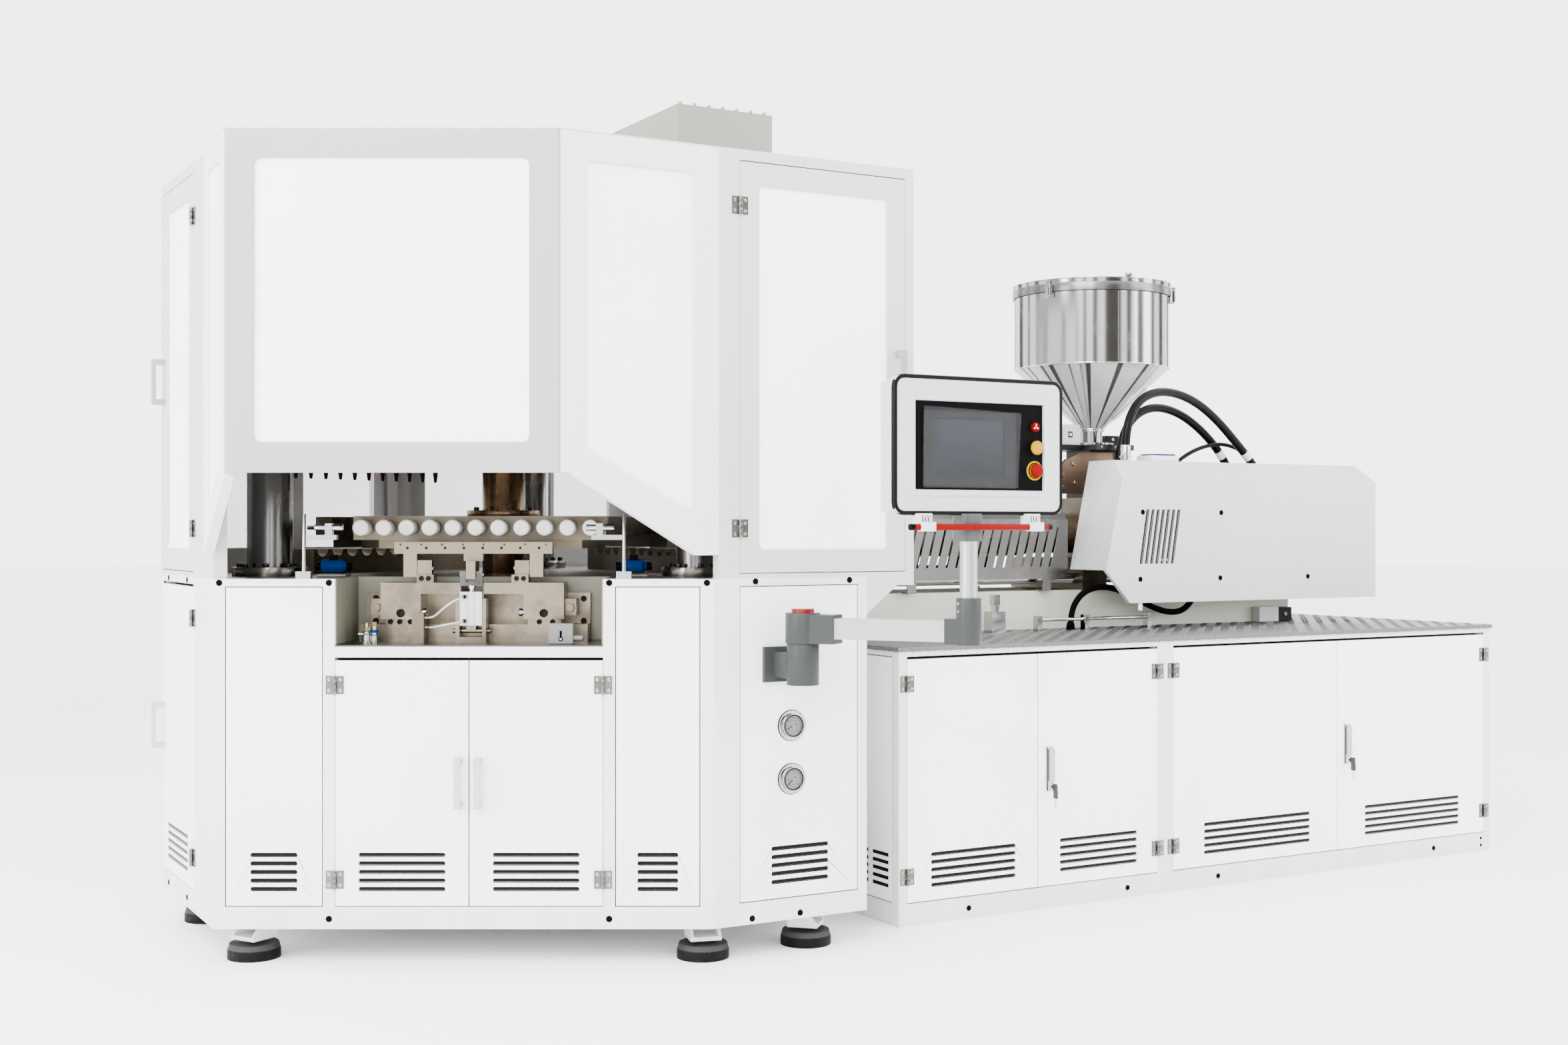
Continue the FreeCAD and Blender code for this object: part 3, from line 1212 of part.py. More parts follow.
def stripper_base():
    """The stripper's fixed mounting: back plate, slide blocks, bearing blocks and cylinder bracket."""
    front = FRONT_PLANE - RECESS_DEPTH
    y_back = -(front + RECESS_WALL)
    y0, y1 = -STRIPPER_REACH - STRIPPER_THICK, -STRIPPER_REACH
    floor = RECESS_FLOOR + RECESS_WALL
    step = floor + 52.0
    solids = [box(-345, 345, y_back - 20, y_back, floor, SLIDE_TOP - 34)]
    solids.append(box(-345, 345, y_back - 100, y_back - 20, floor, step))
    for side in (-1, 1):
        xs = sorted((side * SLIDE_MIDDLE, side * (SLIDE_MIDDLE + SLIDE_LENGTH)))
        slide = box(xs[0], xs[1], y0 - 20, y_back - 20, SLIDE_TOP - 34, SLIDE_TOP)
        solids.append(slide)
        xs = sorted((side * (SLIDE_MIDDLE + 0.5 * SLIDE_LENGTH), side * (SLIDE_MIDDLE + SLIDE_LENGTH)))
        block = box(xs[0], xs[1], y0 - 20, y_back - 20, SLIDE_TOP - 110, SLIDE_TOP - 34)
        screw_x = 0.5 * (xs[0] + xs[1])
        block = block.cut(rod((screw_x, y0 - 21, SLIDE_TOP - 92), (screw_x, y0 - 8, SLIDE_TOP - 92), 13.0))
        solids.append(block)
        solids.append(box(xs[0] + 10, xs[1] - 10, y0, y_back - 20, step, SLIDE_TOP - 110))
        bx = sorted((side * (EAR_OFFSET - 0.5 * EAR_WIDTH), side * (EAR_OFFSET - 1.5 * EAR_WIDTH)))
        foot_x = sorted((side * (EAR_OFFSET - 0.5 * EAR_WIDTH), side * (EAR_OFFSET - 1.5 * EAR_WIDTH - 8)))
        foot = box(foot_x[0], foot_x[1], y0 - 14, y1 + 14, SLIDE_TOP, SLIDE_TOP + 24)
        bearing = box(bx[0], bx[1], y0, y1, SLIDE_TOP + 24, PIVOT_HEIGHT + 24)
        bearing = foot.fuse(bearing).removeSplitter()
        y_pin = 0.5 * (y0 + y1)
        ends = [(x, y_pin, PIVOT_HEIGHT) for x in (bx[0] - 5, bx[1] + 5)]
        bore = rod(ends[0], ends[1], PIVOT_RADIUS + HINGE_FIT)
        solids.append(bearing.cut(bore))
        ex = sorted((side * (SLIDE_MIDDLE + SLIDE_LENGTH), side * (SLIDE_MIDDLE + SLIDE_LENGTH + 34)))
        solids.append(box(ex[0], ex[1], y0 + 12, y_back - 20, SLIDE_TOP - 100, SLIDE_TOP - 50))
        nut_x = 0.5 * (ex[0] + ex[1])
        solids.append(rod((nut_x, y0 + 12, SLIDE_TOP - 76), (nut_x, y0 - 6, SLIDE_TOP - 76), 11.0))
    solids += cylinder_bracket(y0, step)
    solids.append(box(FITTING_X - 35, FITTING_X, -662, -632, floor, floor + 90))
    return [STATION.put(s) for s in solids]


def cylinder_bracket(y0, step):
    """The two cheeks that hold the cylinder, their cross pin and their foot."""
    half = 0.5 * CYLINDER_WIDTH
    cheek = 12.0
    y_front, y_rear = y0 - 46.0, y0 - 4.0
    solids = []
    low = CYLINDER_BOTTOM - 34
    pin = rod((-half - 24, y_front + 21, low + 17), (half + 24, y_front + 21, low + 17), 7.0)
    for side in (-1, 1):
        xs = sorted((side * (half + 1), side * (half + 1 + cheek)))
        solids.append(box(xs[0], xs[1], y_front, y_rear, low, CYLINDER_TOP - 20).cut(pin))
    y_back = -(FRONT_PLANE - RECESS_DEPTH + RECESS_WALL)
    wide = half + 1 + cheek
    solids.append(box(-wide, wide, y_front, y_back - 100, RECESS_FLOOR + RECESS_WALL, low))
    return solids + [pin]


def stripper_cylinder():
    """The compact pneumatic cylinder: grooved barrel, end lug round the cross pin, port fittings."""
    half = 0.5 * CYLINDER_WIDTH
    y0 = -STRIPPER_REACH - STRIPPER_THICK
    y_mid = y0 - CYLINDER_OUT
    body = box(-half, half, y_mid - 21, y_mid + 21, CYLINDER_BOTTOM, CYLINDER_TOP)
    low, top = CYLINDER_BOTTOM - 1, CYLINDER_TOP + 1
    grooves = [box(x - 2, x + 2, y_mid - 22, y_mid - 18, low, top) for x in (-8, 12)]
    bore = rod((0, y_mid, CYLINDER_BOTTOM + 12), (0, y_mid, CYLINDER_TOP + 1), CYLINDER_ROD + RUNNING_FIT)
    body = less(body, grooves + [bore])
    lug = box(-14, 14, y_mid - 14, y_mid + 14, CYLINDER_BOTTOM - 17, CYLINDER_BOTTOM)
    solids = [body, lug.cut(rod((-40, y_mid, CYLINDER_BOTTOM - 17), (40, y_mid, CYLINDER_BOTTOM - 17), 7.2))]
    for z in (CYLINDER_TOP - 14, CYLINDER_BOTTOM + 14):
        solids.append(rod((-half + 16, y_mid - 21, z), (-half + 16, y_mid - 33, z), 6.5))
    return [STATION.put(s) for s in solids]


def stripper_rod():
    """The cylinder's rod with its lock nut and clevis fork round the bar's tongue."""
    y_mid = -STRIPPER_REACH - STRIPPER_THICK - CYLINDER_OUT
    low = CYLINDER_TOP - 52
    fork_low, fork_top = CLEVIS_PIN - 34, CLEVIS_PIN + 10
    shaft = rod((0, y_mid, low), (0, y_mid, fork_low), CYLINDER_ROD)
    nut = rod((0, y_mid, fork_low - 7), (0, y_mid, fork_low), 13.0)
    fork = box(-33, 33, y_mid - 14, y_mid + 14, fork_low, fork_top)
    gap = box(-16, 16, y_mid - 15, y_mid + 15, fork_low + 10, fork_top + 1)
    pin = rod((-36, y_mid, CLEVIS_PIN), (36, y_mid, CLEVIS_PIN), CLEVIS_PIN_RADIUS)
    return [STATION.put(shaft.fuse([nut, fork.cut(gap), pin]).removeSplitter())]


def row_sensors():
    """The two proximity sensors on their posts, clamped to the deck's front edge."""
    solids = []
    y = -(FRONT_PLANE - 12.0)
    for side in (-1, 1):
        x = side * 470.0
        post = rod((x, y, DECK_TOP), (x, y, ROD_HEIGHT + 40), 6.0)
        clamp = box(x - 22, x + 22, y - 12, y + 12, DECK_TOP, DECK_TOP + 22)
        arm = box(*sorted((x - side * 6, x - side * 96)), y - 2, y + 22, ROD_HEIGHT - 36, ROD_HEIGHT - 22)
        riser = box(*sorted((x - side * 62, x - side * 82)), y - 2, y + 22, ROD_HEIGHT - 22, ROD_HEIGHT + 12)
        ends = sorted((x - side * 30, x - side * 112))
        sensor = rod((ends[0], y + 10, ROD_HEIGHT), (ends[1], y + 10, ROD_HEIGHT), 9.0)
        solids.append(post.fuse([clamp, arm, riser, sensor]).removeSplitter())
    return [STATION.put(s) for s in solids]


# ---------------------------------------------------------------- bench
def bench_frame():
    """Posts, plinth, top rails and cross beams of the bench."""
    x1 = BENCH_X + BENCH_LENGTH
    half = BENCH_HALF_DEPTH
    top = BENCH_TOP - TREAD_SHEET
    solids = []
    doors = BENCH_LEFT_POST + BENCH_DOORS[0] + BENCH_DOORS[1]
    posts = [(0, BENCH_LEFT_POST), (doors, doors + BENCH_MIDDLE_POST)]
    posts.append((doors + BENCH_MIDDLE_POST + BENCH_DOORS[2] + BENCH_DOORS[3], BENCH_LENGTH))
    for x0, xe in posts:
        solids.append(BENCH.put(box(x0, xe, 0, FRAME_DEPTH, PLINTH, BENCH_DOOR_TOP)))
    for x0, xe in ((0, BENCH_LEFT_POST), (BENCH_LENGTH - BENCH_LEFT_POST, BENCH_LENGTH)):
        deep = 2 * half
        solids.append(BENCH.put(box(x0, xe, deep - FRAME_DEPTH, deep, PLINTH, BENCH_DOOR_TOP)))
    for z0, z1 in ((0, PLINTH), (BENCH_DOOR_TOP, top)):
        for y in (-half, half - FRAME_DEPTH):
            solids.append(box(BENCH_X, x1, y, y + FRAME_DEPTH, z0, z1))
        for x in (BENCH_X, x1 - FRAME_DEPTH):
            solids.append(box(x, x + FRAME_DEPTH, FRAME_DEPTH - half, half - FRAME_DEPTH, z0, z1))
    for y in (-BEAM_PLACE - BEAM_WIDTH, BEAM_PLACE):
        solids.append(box(BENCH_X + FRAME_DEPTH, x1 - FRAME_DEPTH, y, y + BEAM_WIDTH, top - 100, top))
        brace = [(CELL_RIGHT, BASE_BOTTOM), (CELL_RIGHT, PANEL_BOTTOM - 13), (BENCH_X, PLINTH), (BENCH_X, 20)]
        solids.append(plate(brace, y, y + FRAME_DEPTH))
    inside = half - FRAME_DEPTH
    solids.append(box(BENCH_X + FRAME_DEPTH, x1 - FRAME_DEPTH, -inside, inside, PLINTH - 10, PLINTH))
    return solids


BEAM_PLACE = GUIDE_SPREAD - BEAM_WIDTH / 2


def tread_plate():
    """The chequered top plate with its folded lip."""
    over = TREAD_OVERHANG
    x0, x1 = BENCH_X - over, BENCH_X + BENCH_LENGTH + over
    y0, y1 = -BENCH_HALF_DEPTH - over, BENCH_HALF_DEPTH + over
    outer = box(x0, x1, y0, y1, BENCH_TOP - TREAD_LIP, BENCH_TOP)
    thick = min(TREAD_SHEET, over)
    low, high = BENCH_TOP - TREAD_LIP - 1, BENCH_TOP - TREAD_SHEET
    return [outer.cut(box(x0 + thick, x1 - thick, y0 + thick, y1 - thick, low, high))]


def power_unit():
    """The hydraulic power unit inside the bench: tank, motor, pump and valve block."""
    x0 = BENCH_X + 1300.0
    solids = [box(x0, x0 + 1100, -330, 330, PLINTH, PLINTH + 330)]
    top = PLINTH + 330
    solids.append(box(x0 + 60, x0 + 420, -150, 150, top, top + 40))
    motor = rod((x0 + 80, 0, top + 170), (x0 + 420, 0, top + 170), 130.0)
    solids.append(motor)
    solids.append(rod((x0 + 420, 0, top + 170), (x0 + 600, 0, top + 170), 80.0))
    solids.append(box(x0 + 440, x0 + 560, -60, 60, top, top + 90))
    solids.append(box(x0 + 700, x0 + 980, -120, 120, top, top + 160))
    return solids


# ---------------------------------------------------------------- injection unit
CARRIAGE_X = 2290.0
CARRIAGE_LENGTH = 850.0
CARRIAGE_DROP = 98.0
CARRIAGE_TOP = BARREL_HEIGHT - CARRIAGE_DROP
CONDUIT_END_X = 2830.0
PORT_TOP = BARREL_HEIGHT + 150.0
PORT_STEP = 70.0
DRIVE_PORT_TOP = BARREL_HEIGHT + PORT_STEP
DRIVE_TOP = BARREL_HEIGHT + 130.0
FITTING_X = -135.0
FEED_HALF = 105.0
DRIVE_X = HOPPER_X + FEED_HALF + 60.0
DRIVE_CASE = 260.0
MOTOR_GAP = 6.0
REAR_PORT_X = 3186.0
FRONT_PORT_X = 3269.0
THIN_PORT_X = 3325.0
MANIFOLD_THICK = 60.0
ROD_END_X = 3400.0


def rail_base():
    """The two painted beams on the bench, with the rear block of the guide rods."""
    x0 = BENCH_X + 90.0
    x1 = ROD_END_X
    solids = []
    for y in (-BEAM_PLACE - BEAM_WIDTH, BEAM_PLACE):
        solids.append(box(x0, x1, y, y + BEAM_WIDTH, BENCH_TOP, BEAM_TOP))
    for x in (x0 + 100, 1900.0):
        solids.append(box(x, x + 60, -BEAM_PLACE, BEAM_PLACE, BENCH_TOP, BENCH_TOP + 60))
    half = GUIDE_SPREAD + GUIDE_BOSS
    block = box(x1 - 50, x1, -half, half, BEAM_TOP, GUIDE_HEIGHT + GUIDE_BOSS)
    solids.append(less(block, guide_bores(x1 - 51, x1 + 1, 0)))
    return solids


def guide_bores(x0, x1, fit):
    """Cutters for the two guide rods."""
    z, radius = GUIDE_HEIGHT, GUIDE_RADIUS + fit
    return [rod((x0, y, z), (x1, y, z), radius) for y in (-GUIDE_SPREAD, GUIDE_SPREAD)]


def guide_rods():
    """The chrome guide rods, from the cell's deck edge to the rear block."""
    return guide_bores(CABINET_RIGHT + 50.0, ROD_END_X, 0)


def guide_front_block():
    """The front block that carries the guide rods off the beams."""
    half = GUIDE_SPREAD + GUIDE_BOSS
    x0 = BENCH_X + 90.0
    block = box(x0, x0 + 60, -half, half, BEAM_TOP, GUIDE_HEIGHT + GUIDE_BOSS)
    return less(block, guide_bores(x0 - 1, x0 + 61, 0))


def nozzle_manifold():
    """The hot manifold on the deck that the barrel's nozzle feeds."""
    return box(MANIFOLD_X, MANIFOLD_X + MANIFOLD_THICK, -290, 290, DECK_TOP, BARREL_HEIGHT + 60)


def carriage():
    """The sliding carriage: bored bed, feed housing, throat block and the hopper's slide plate."""
    x0, x1 = CARRIAGE_X, CARRIAGE_X + CARRIAGE_LENGTH
    half = GUIDE_SPREAD + GUIDE_BOSS
    solids = []
    for x in (x0, x1 - 120):
        shoe = box(x, x + 120, -half, half, BEAM_TOP + CLEAR, CARRIAGE_TOP)
        solids.append(less(shoe, guide_bores(x - 1, x + 121, RUNNING_FIT)))
    bed = GUIDE_HEIGHT + GUIDE_RADIUS + 12
    solids.append(box(x0 + 120, x1 - 120, -half, half, bed, CARRIAGE_TOP))
    solids.append(box(CONDUIT_END_X - 25, CONDUIT_END_X + 25, -330, -half, CARRIAGE_TOP - 8, CARRIAGE_TOP))
    port = box(HOPPER_X - 50, HOPPER_X + 10, -215, -115, BARREL_HEIGHT + 90, PORT_TOP)
    solids.append(port)
    x0, x1 = HOPPER_X - FEED_HALF, HOPPER_X + FEED_HALF
    feed = box(x0, x1, -115, 115, CARRIAGE_TOP, BARREL_HEIGHT + 140)
    bore = rod((x0 - 1, 0, BARREL_HEIGHT), (x1 + 1, 0, BARREL_HEIGHT), BARREL_RADIUS)
    throat = box(HOPPER_X - 68, HOPPER_X + 68, -75, 75, BARREL_HEIGHT + 140, THROAT_TOP)
    low = BARREL_HEIGHT + BARREL_RADIUS - 1
    drop = rod((HOPPER_X, 0, low), (HOPPER_X, 0, THROAT_TOP + 1), HOPPER_NECK - HOPPER_WALL)
    solids.append(feed.cut(bore).cut(drop))
    solids.append(throat.cut(drop))
    slide = box(HOPPER_X - 95, HOPPER_X + 95, -150, 110, THROAT_TOP, THROAT_TOP + SLIDE_PLATE)
    through = rod((HOPPER_X, 0, THROAT_TOP - 1), (HOPPER_X, 0, THROAT_TOP + 30), HOPPER_NECK - HOPPER_WALL)
    solids.append(slide.cut(through))
    return solids


def barrel():
    """The heated barrel with its nozzle and band heaters, bored for the screw."""
    x1 = HOPPER_X + FEED_HALF
    tip = MANIFOLD_X + MANIFOLD_THICK + CLEAR
    z = BARREL_HEIGHT
    start = tip + 190.0
    body = rod((start, 0, z), (x1, 0, z), BARREL_RADIUS)
    nose = Part.makeCone(16.0, 45.0, 90.0, Vector(tip, 0, z), Vector(1, 0, 0))
    neck = rod((tip + 90, 0, z), (start, 0, z), 45.0)
    body = body.fuse([nose, neck]).removeSplitter()
    bore = rod((start + 20, 0, z), (x1 + 1, 0, z), SCREW_RADIUS + RUNNING_FIT)
    feed = rod((HOPPER_X, 0, z), (HOPPER_X, 0, z + BARREL_RADIUS + 1), HOPPER_NECK - HOPPER_WALL - 8)
    solids = [body.cut(bore).cut(feed)]
    band, gap = 120.0, 30.0
    count = int((GUARD_X + GUARD_LENGTH - start - 60) / (band + gap))
    for i in range(count):
        x = start + 60 + i * (band + gap)
        solids.append(tube((x, 0, z), (x + band, 0, z), BARREL_RADIUS + 10, BARREL_RADIUS))
    return solids


def screw():
    """The plasticising screw inside the barrel, with its drive spline end."""
    z = BARREL_HEIGHT
    start = MANIFOLD_X + MANIFOLD_THICK + 240.0
    end = HOPPER_X + FEED_HALF + 40.0
    shaft = rod((start, 0, z), (end, 0, z), 0.72 * SCREW_RADIUS)
    cone = Part.makeCone(2.0, 0.72 * SCREW_RADIUS, 50.0, Vector(start - 25, 0, z), Vector(1, 0, 0))
    cuffs = []
    pitch = 2.0 * SCREW_RADIUS
    count = int((end - start - 60) / pitch)
    for i in range(count):
        x = start + 40 + i * pitch
        cuffs.append(rod((x, 0, z), (x + 8, 0, z), SCREW_RADIUS))
    return [shaft.fuse([cone] + cuffs).removeSplitter()]


def barrel_guard():
    """The folded stainless guard round the barrel, with slanted slots in both sides."""
    half, sheet = GUARD_HALF_WIDTH, SHEET

    def outline(grow):
        side = half - grow
        shoulder = half - 70.0
        return [
            (-side, GUARD_BOTTOM - (1 if grow else 0)),
            (-side, GUARD_SIDE_TOP - 0.4 * grow),
            (-shoulder, GUARD_TOP - grow),
            (shoulder, GUARD_TOP - grow),
            (side, GUARD_SIDE_TOP - 0.4 * grow),
            (side, GUARD_BOTTOM - (1 if grow else 0)),
        ]

    x1 = GUARD_X + GUARD_LENGTH
    shell = bar(outline(0), GUARD_X, x1).cut(bar(outline(sheet), GUARD_X - 1, x1 + 1))
    cut = 90.0
    x0, low = GUARD_X - 1, GUARD_BOTTOM - 1
    nose = [(x0, low), (GUARD_X + cut, low), (x0, GUARD_BOTTOM + 2 * cut)]
    shell = shell.cut(plate(nose, -half - 1, half + 1))
    tall, lean, wide = 150.0, 42.0, 9.0
    pitch = (GUARD_LENGTH - cut - 70.0) / GUARD_SLOTS
    cutters = []
    for i in range(GUARD_SLOTS):
        x = GUARD_X + cut + 20.0 + i * pitch
        low = GUARD_SIDE_TOP - 30.0 - tall
        top = low + tall
        slot = [(x, low), (x + wide, low), (x + wide + lean, top), (x + lean, top)]
        cutters.append(plate(slot, -half - 1, half + 1))
    shell = less(shell, cutters)
    return [shell]


def guard_brackets():
    """The brackets that carry the guard on the beams."""
    solids = []
    for x in (GUARD_X + 160.0, GUARD_X + GUARD_LENGTH - 120.0):
        for side in (-1, 1):
            ys = sorted((side * (GUARD_HALF_WIDTH - SHEET), side * (BEAM_PLACE + BEAM_WIDTH - 8)))
            post = box(x, x + 40, ys[0], ys[1], BEAM_TOP, BEAM_TOP + 6)
            up = sorted((side * (GUARD_HALF_WIDTH - SHEET), side * (GUARD_HALF_WIDTH - SHEET - 6)))
            wall = box(x, x + 40, up[0], up[1], BEAM_TOP, GUARD_BOTTOM + 40)
            solids.append(post.fuse(wall).removeSplitter())
    return solids


def hopper():
    """The polished hopper shell with its neck and foot flange."""
    wall = HOPPER_WALL
    foot = THROAT_TOP + SLIDE_PLATE
    rim = HOPPER_RADIUS + 6.0
    profile = [
        (HOPPER_NECK - wall, foot),
        (88.0, foot),
        (88.0, foot + 10),
        (HOPPER_NECK, foot + 10),
        (HOPPER_NECK, HOPPER_CONE_END),
        (HOPPER_RADIUS, HOPPER_SHOULDER),
        (HOPPER_RADIUS, HOPPER_RIM - 14),
        (rim, HOPPER_RIM - 14),
        (rim, HOPPER_RIM),
        (HOPPER_RADIUS - wall, HOPPER_RIM),
        (HOPPER_RADIUS - wall, HOPPER_SHOULDER + 1),
        (HOPPER_NECK - wall, HOPPER_CONE_END + 2),
    ]
    shell = turned(profile, HOPPER_X, 0)
    latches = []
    for turn in (200, 320, 20):
        a = math.radians(turn)
        x, y = HOPPER_X + (HOPPER_RADIUS + 4) * math.cos(a), (HOPPER_RADIUS + 4) * math.sin(a)
        latches.append(box(x - 12, x + 12, y - 12, y + 12, HOPPER_RIM - 70, HOPPER_RIM - 14))
    shell_hollow = rod((HOPPER_X, 0, HOPPER_RIM - 80), (HOPPER_X, 0, HOPPER_RIM), HOPPER_RADIUS - wall)
    latches = [latch.cut(shell_hollow) for latch in latches]
    return [shell.fuse(latches).removeSplitter()]


LID_SHEET = 3.0


def hopper_lids():
    """The lid in two halves: the fixed rear half and the hinged front half with its knob."""
    rim = HOPPER_RADIUS + 8.0
    z0 = HOPPER_RIM + CLEAR
    disc = rod((HOPPER_X, 0, z0), (HOPPER_X, 0, z0 + LID_SHEET), rim)
    rear = disc.common(box(HOPPER_X - rim, HOPPER_X + rim, 6.0, rim, z0, z0 + 10))
    front = disc.common(box(HOPPER_X - rim, HOPPER_X + rim, -rim, -6.0, z0, z0 + 10))
    rear.translate(Vector(0, 0, -CLEAR))
    knob = turned([(0, 0), (7, 0), (7, 14), (15, 20), (15, 30), (0, 32)], HOPPER_X, -0.72 * rim)
    knob.translate(Vector(0, 0, z0 + LID_SHEET))
    fixed, moving = [], []
    for x in (HOPPER_X - 150, HOPPER_X + 150):
        barrel_z = z0 + LID_SHEET + 5.0
        for shift in (-24, 8):
            knuckle = rod((x + shift, 0, barrel_z), (x + shift + 16, 0, barrel_z), 5.0)
            web = box(x + shift, x + shift + 16, 0, 30.0, z0 + LID_SHEET - CLEAR, z0 + LID_SHEET + 2)
            fixed.append(knuckle.fuse(web))
        fixed.append(rod((x - 24, 0, barrel_z), (x + 24, 0, barrel_z), 2.5))
        knuckle = rod((x - 7.7, 0, barrel_z), (x + 7.7, 0, barrel_z), 5.0)
        web = box(x - 7.7, x + 7.7, -30.0, 0, z0 + LID_SHEET, z0 + LID_SHEET + 2)
        hole = rod((x - 9, 0, barrel_z), (x + 9, 0, barrel_z), 2.5 + HINGE_FIT)
        moving.append(knuckle.fuse(web).cut(hole))
    return [rear.fuse(fixed).removeSplitter()], [front.fuse(moving + [knob]).removeSplitter()]


def drive_unit():
    """The screw's gearbox and hydraulic motor, with the two injection cylinders."""
    x0 = DRIVE_X
    case_end = x0 + DRIVE_CASE
    case = box(x0, case_end, -GUIDE_SPREAD, GUIDE_SPREAD, CARRIAGE_TOP, DRIVE_TOP)
    socket = rod((x0 - 1, 0, BARREL_HEIGHT), (x0 + 2, 0, BARREL_HEIGHT), SCREW_RADIUS)
    solids = [case.cut(socket)]
    motor = CARRIAGE_DROP - MOTOR_GAP
    solids.append(rod((case_end, 0, BARREL_HEIGHT), (case_end + 300, 0, BARREL_HEIGHT), motor))
    feed_back = HOPPER_X + FEED_HALF
    for side in (-1, 1):
        y = side * (GUIDE_SPREAD - 52.0)
        solids.append(rod((feed_back, y, BARREL_HEIGHT + 60), (x0, y, BARREL_HEIGHT + 60), 18.0))
        y = side * (GUIDE_SPREAD - 40.0)
        cylinder = rod((case_end, y, BARREL_HEIGHT - 20), (case_end + 500, y, BARREL_HEIGHT - 20), 38.0)
        solids.append(cylinder)
        if side < 0:
            block = box(REAR_PORT_X - 36, THIN_PORT_X + 30, -238, -92, BARREL_HEIGHT - 8, DRIVE_PORT_TOP)
            solids.append(block.cut(cylinder))
    return solids


def drive_cover():
    """The white folded cover in front of the drive: leaning left end, cut lower corner, chamfered top."""
    x0, x1 = COVER_X, COVER_X + COVER_LENGTH
    front, back = -COVER_FRONT, COVER_RETURN - COVER_FRONT
    low, high, slant = COVER_BOTTOM, COVER_TOP, COVER_CHAMFER
    lean = (x0 - 22.0 - COVER_NOSE_X) / (high - COVER_NOSE_Z)

    def body(grow, deeper):
        side = [
            (x0 + 0.5 * grow, low + grow),
            (x1 - grow, low + grow),
            (x1 - grow, high - slant - 0.4 * grow),
            (x1 - 0.65 * slant, high - grow),
            (COVER_NOSE_X + lean * (high - COVER_NOSE_Z) + grow, high - grow),
            (COVER_NOSE_X + grow, COVER_NOSE_Z),
        ]
        section = [
            (front + grow, low),
            (front + grow, high - slant - 0.4 * grow),
            (front + slant + 0.4 * grow, high - grow),
            (back + deeper, high - grow),
            (back + deeper, low),
        ]
        return plate(side, front, back + deeper).common(bar(section, COVER_NOSE_X - 1, x1 + 1))

    sheet = 1.5 * SHEET
    below = box(COVER_NOSE_X - 1, x1 - sheet, front + 20, back + 1, low - 1, COVER_NOSE_Z - 2)
    shell = body(0, 0).cut(body(sheet, 1)).cut(below)
    cutters = []
    for i in range(COVER_SLOTS):
        x = x0 + 50.0 + 26.0 * i
        z = low + 0.28 * (high - low)
        slot = [(x, z), (x + 7, z), (x + 41, z + 200), (x + 34, z + 200)]
        cutters.append(plate(slot, front - 1, front + 10))
    for x, z in ((2400.0, 1350.0), (2800.0, 1350.0), (2388.0, 1095.0), (2795.0, 1095.0), (3270.0, 1095.0)):
        cutters.append(rod((x, front - 1, z), (x, front + 1.5, z), 7.0))
    shell = less(shell, cutters)
    brackets = []
    inner = -(GUIDE_SPREAD + GUIDE_BOSS)
    for x in (CARRIAGE_X + 200.0, CARRIAGE_X + CARRIAGE_LENGTH - 200.0):
        brackets.append(box(x, x + 50, front + sheet, inner, CARRIAGE_TOP - 8, CARRIAGE_TOP))
    return [shell.fuse(brackets).removeSplitter()]


# ---------------------------------------------------------------- operator panel
PANEL_Y = -CELL_HALF_DEPTH - TUBE_OUT - 13.0
ELBOW_RISE = 95.0
ELBOW_TOP = ARM_HEIGHT + ELBOW_RISE


def arm_bracket():
    """The grey wall bracket with its fixed pivot boss."""
    x, y = ARM_PIVOT_X, -CELL_HALF_DEPTH - ARM_PIVOT_OUT
    wall = box(x - 75, x + 15, -CELL_HALF_DEPTH - 14, -CELL_HALF_DEPTH, ARM_HEIGHT - 165, ARM_HEIGHT - 60)
    arm = box(x - 45, x + 15, y, -CELL_HALF_DEPTH - 14, ARM_HEIGHT - 150, ARM_HEIGHT - 75)
    boss = rod((x, y, ARM_HEIGHT - 168), (x, y, ARM_HEIGHT - 45), 48.0)
    pin = rod((x, y, ARM_HEIGHT - 45), (x, y, ARM_HEIGHT + 20), 20.0)
    return [wall.fuse([arm, boss, pin]).removeSplitter()]


def arm_frame():
    """The arm's own frame: x along the arm from its pivot."""
    run_x, run_y = TUBE_X - ARM_PIVOT_X, ARM_PIVOT_OUT - TUBE_OUT
    turn = math.degrees(math.atan2(run_y, run_x))
    return Place(ARM_PIVOT_X, -CELL_HALF_DEPTH - ARM_PIVOT_OUT, turn), math.hypot(run_x, run_y)


def swing_arm():
    """The swinging arm: cast head with cap, square tube and elbow cup."""
    frame, reach = arm_frame()
    low = ARM_HEIGHT - 45 + CLEAR
    head = rod((0, 0, low), (0, 0, ARM_HEIGHT + 44), 52.0)
    cap = rod((0, 0, ARM_HEIGHT + 44), (0, 0, ARM_HEIGHT + 56), 34.0)
    neck = box(20, 110, -38, 38, low, ARM_HEIGHT + 40)
    half = 0.5 * ARM_SIZE
    beam = box(108, reach - 40, -half, half, ARM_HEIGHT - half, ARM_HEIGHT + half)
    cup = rod((reach, 0, ARM_HEIGHT - 38), (reach, 0, ELBOW_TOP), 36.0)
    shoe = box(reach - 62, reach, -34, 34, ARM_HEIGHT - 36, ARM_HEIGHT + 36)
    arm = head.fuse([cap, neck, beam, cup, shoe]).removeSplitter()
    pivot = rod((0, 0, low - 1), (0, 0, ARM_HEIGHT + 20 + CLEAR), 20.0 + HINGE_FIT)
    socket = rod((reach, 0, ARM_HEIGHT), (reach, 0, ELBOW_TOP + 1), TUBE_RADIUS + HINGE_FIT)
    return [frame.put(arm.cut(pivot).cut(socket))]


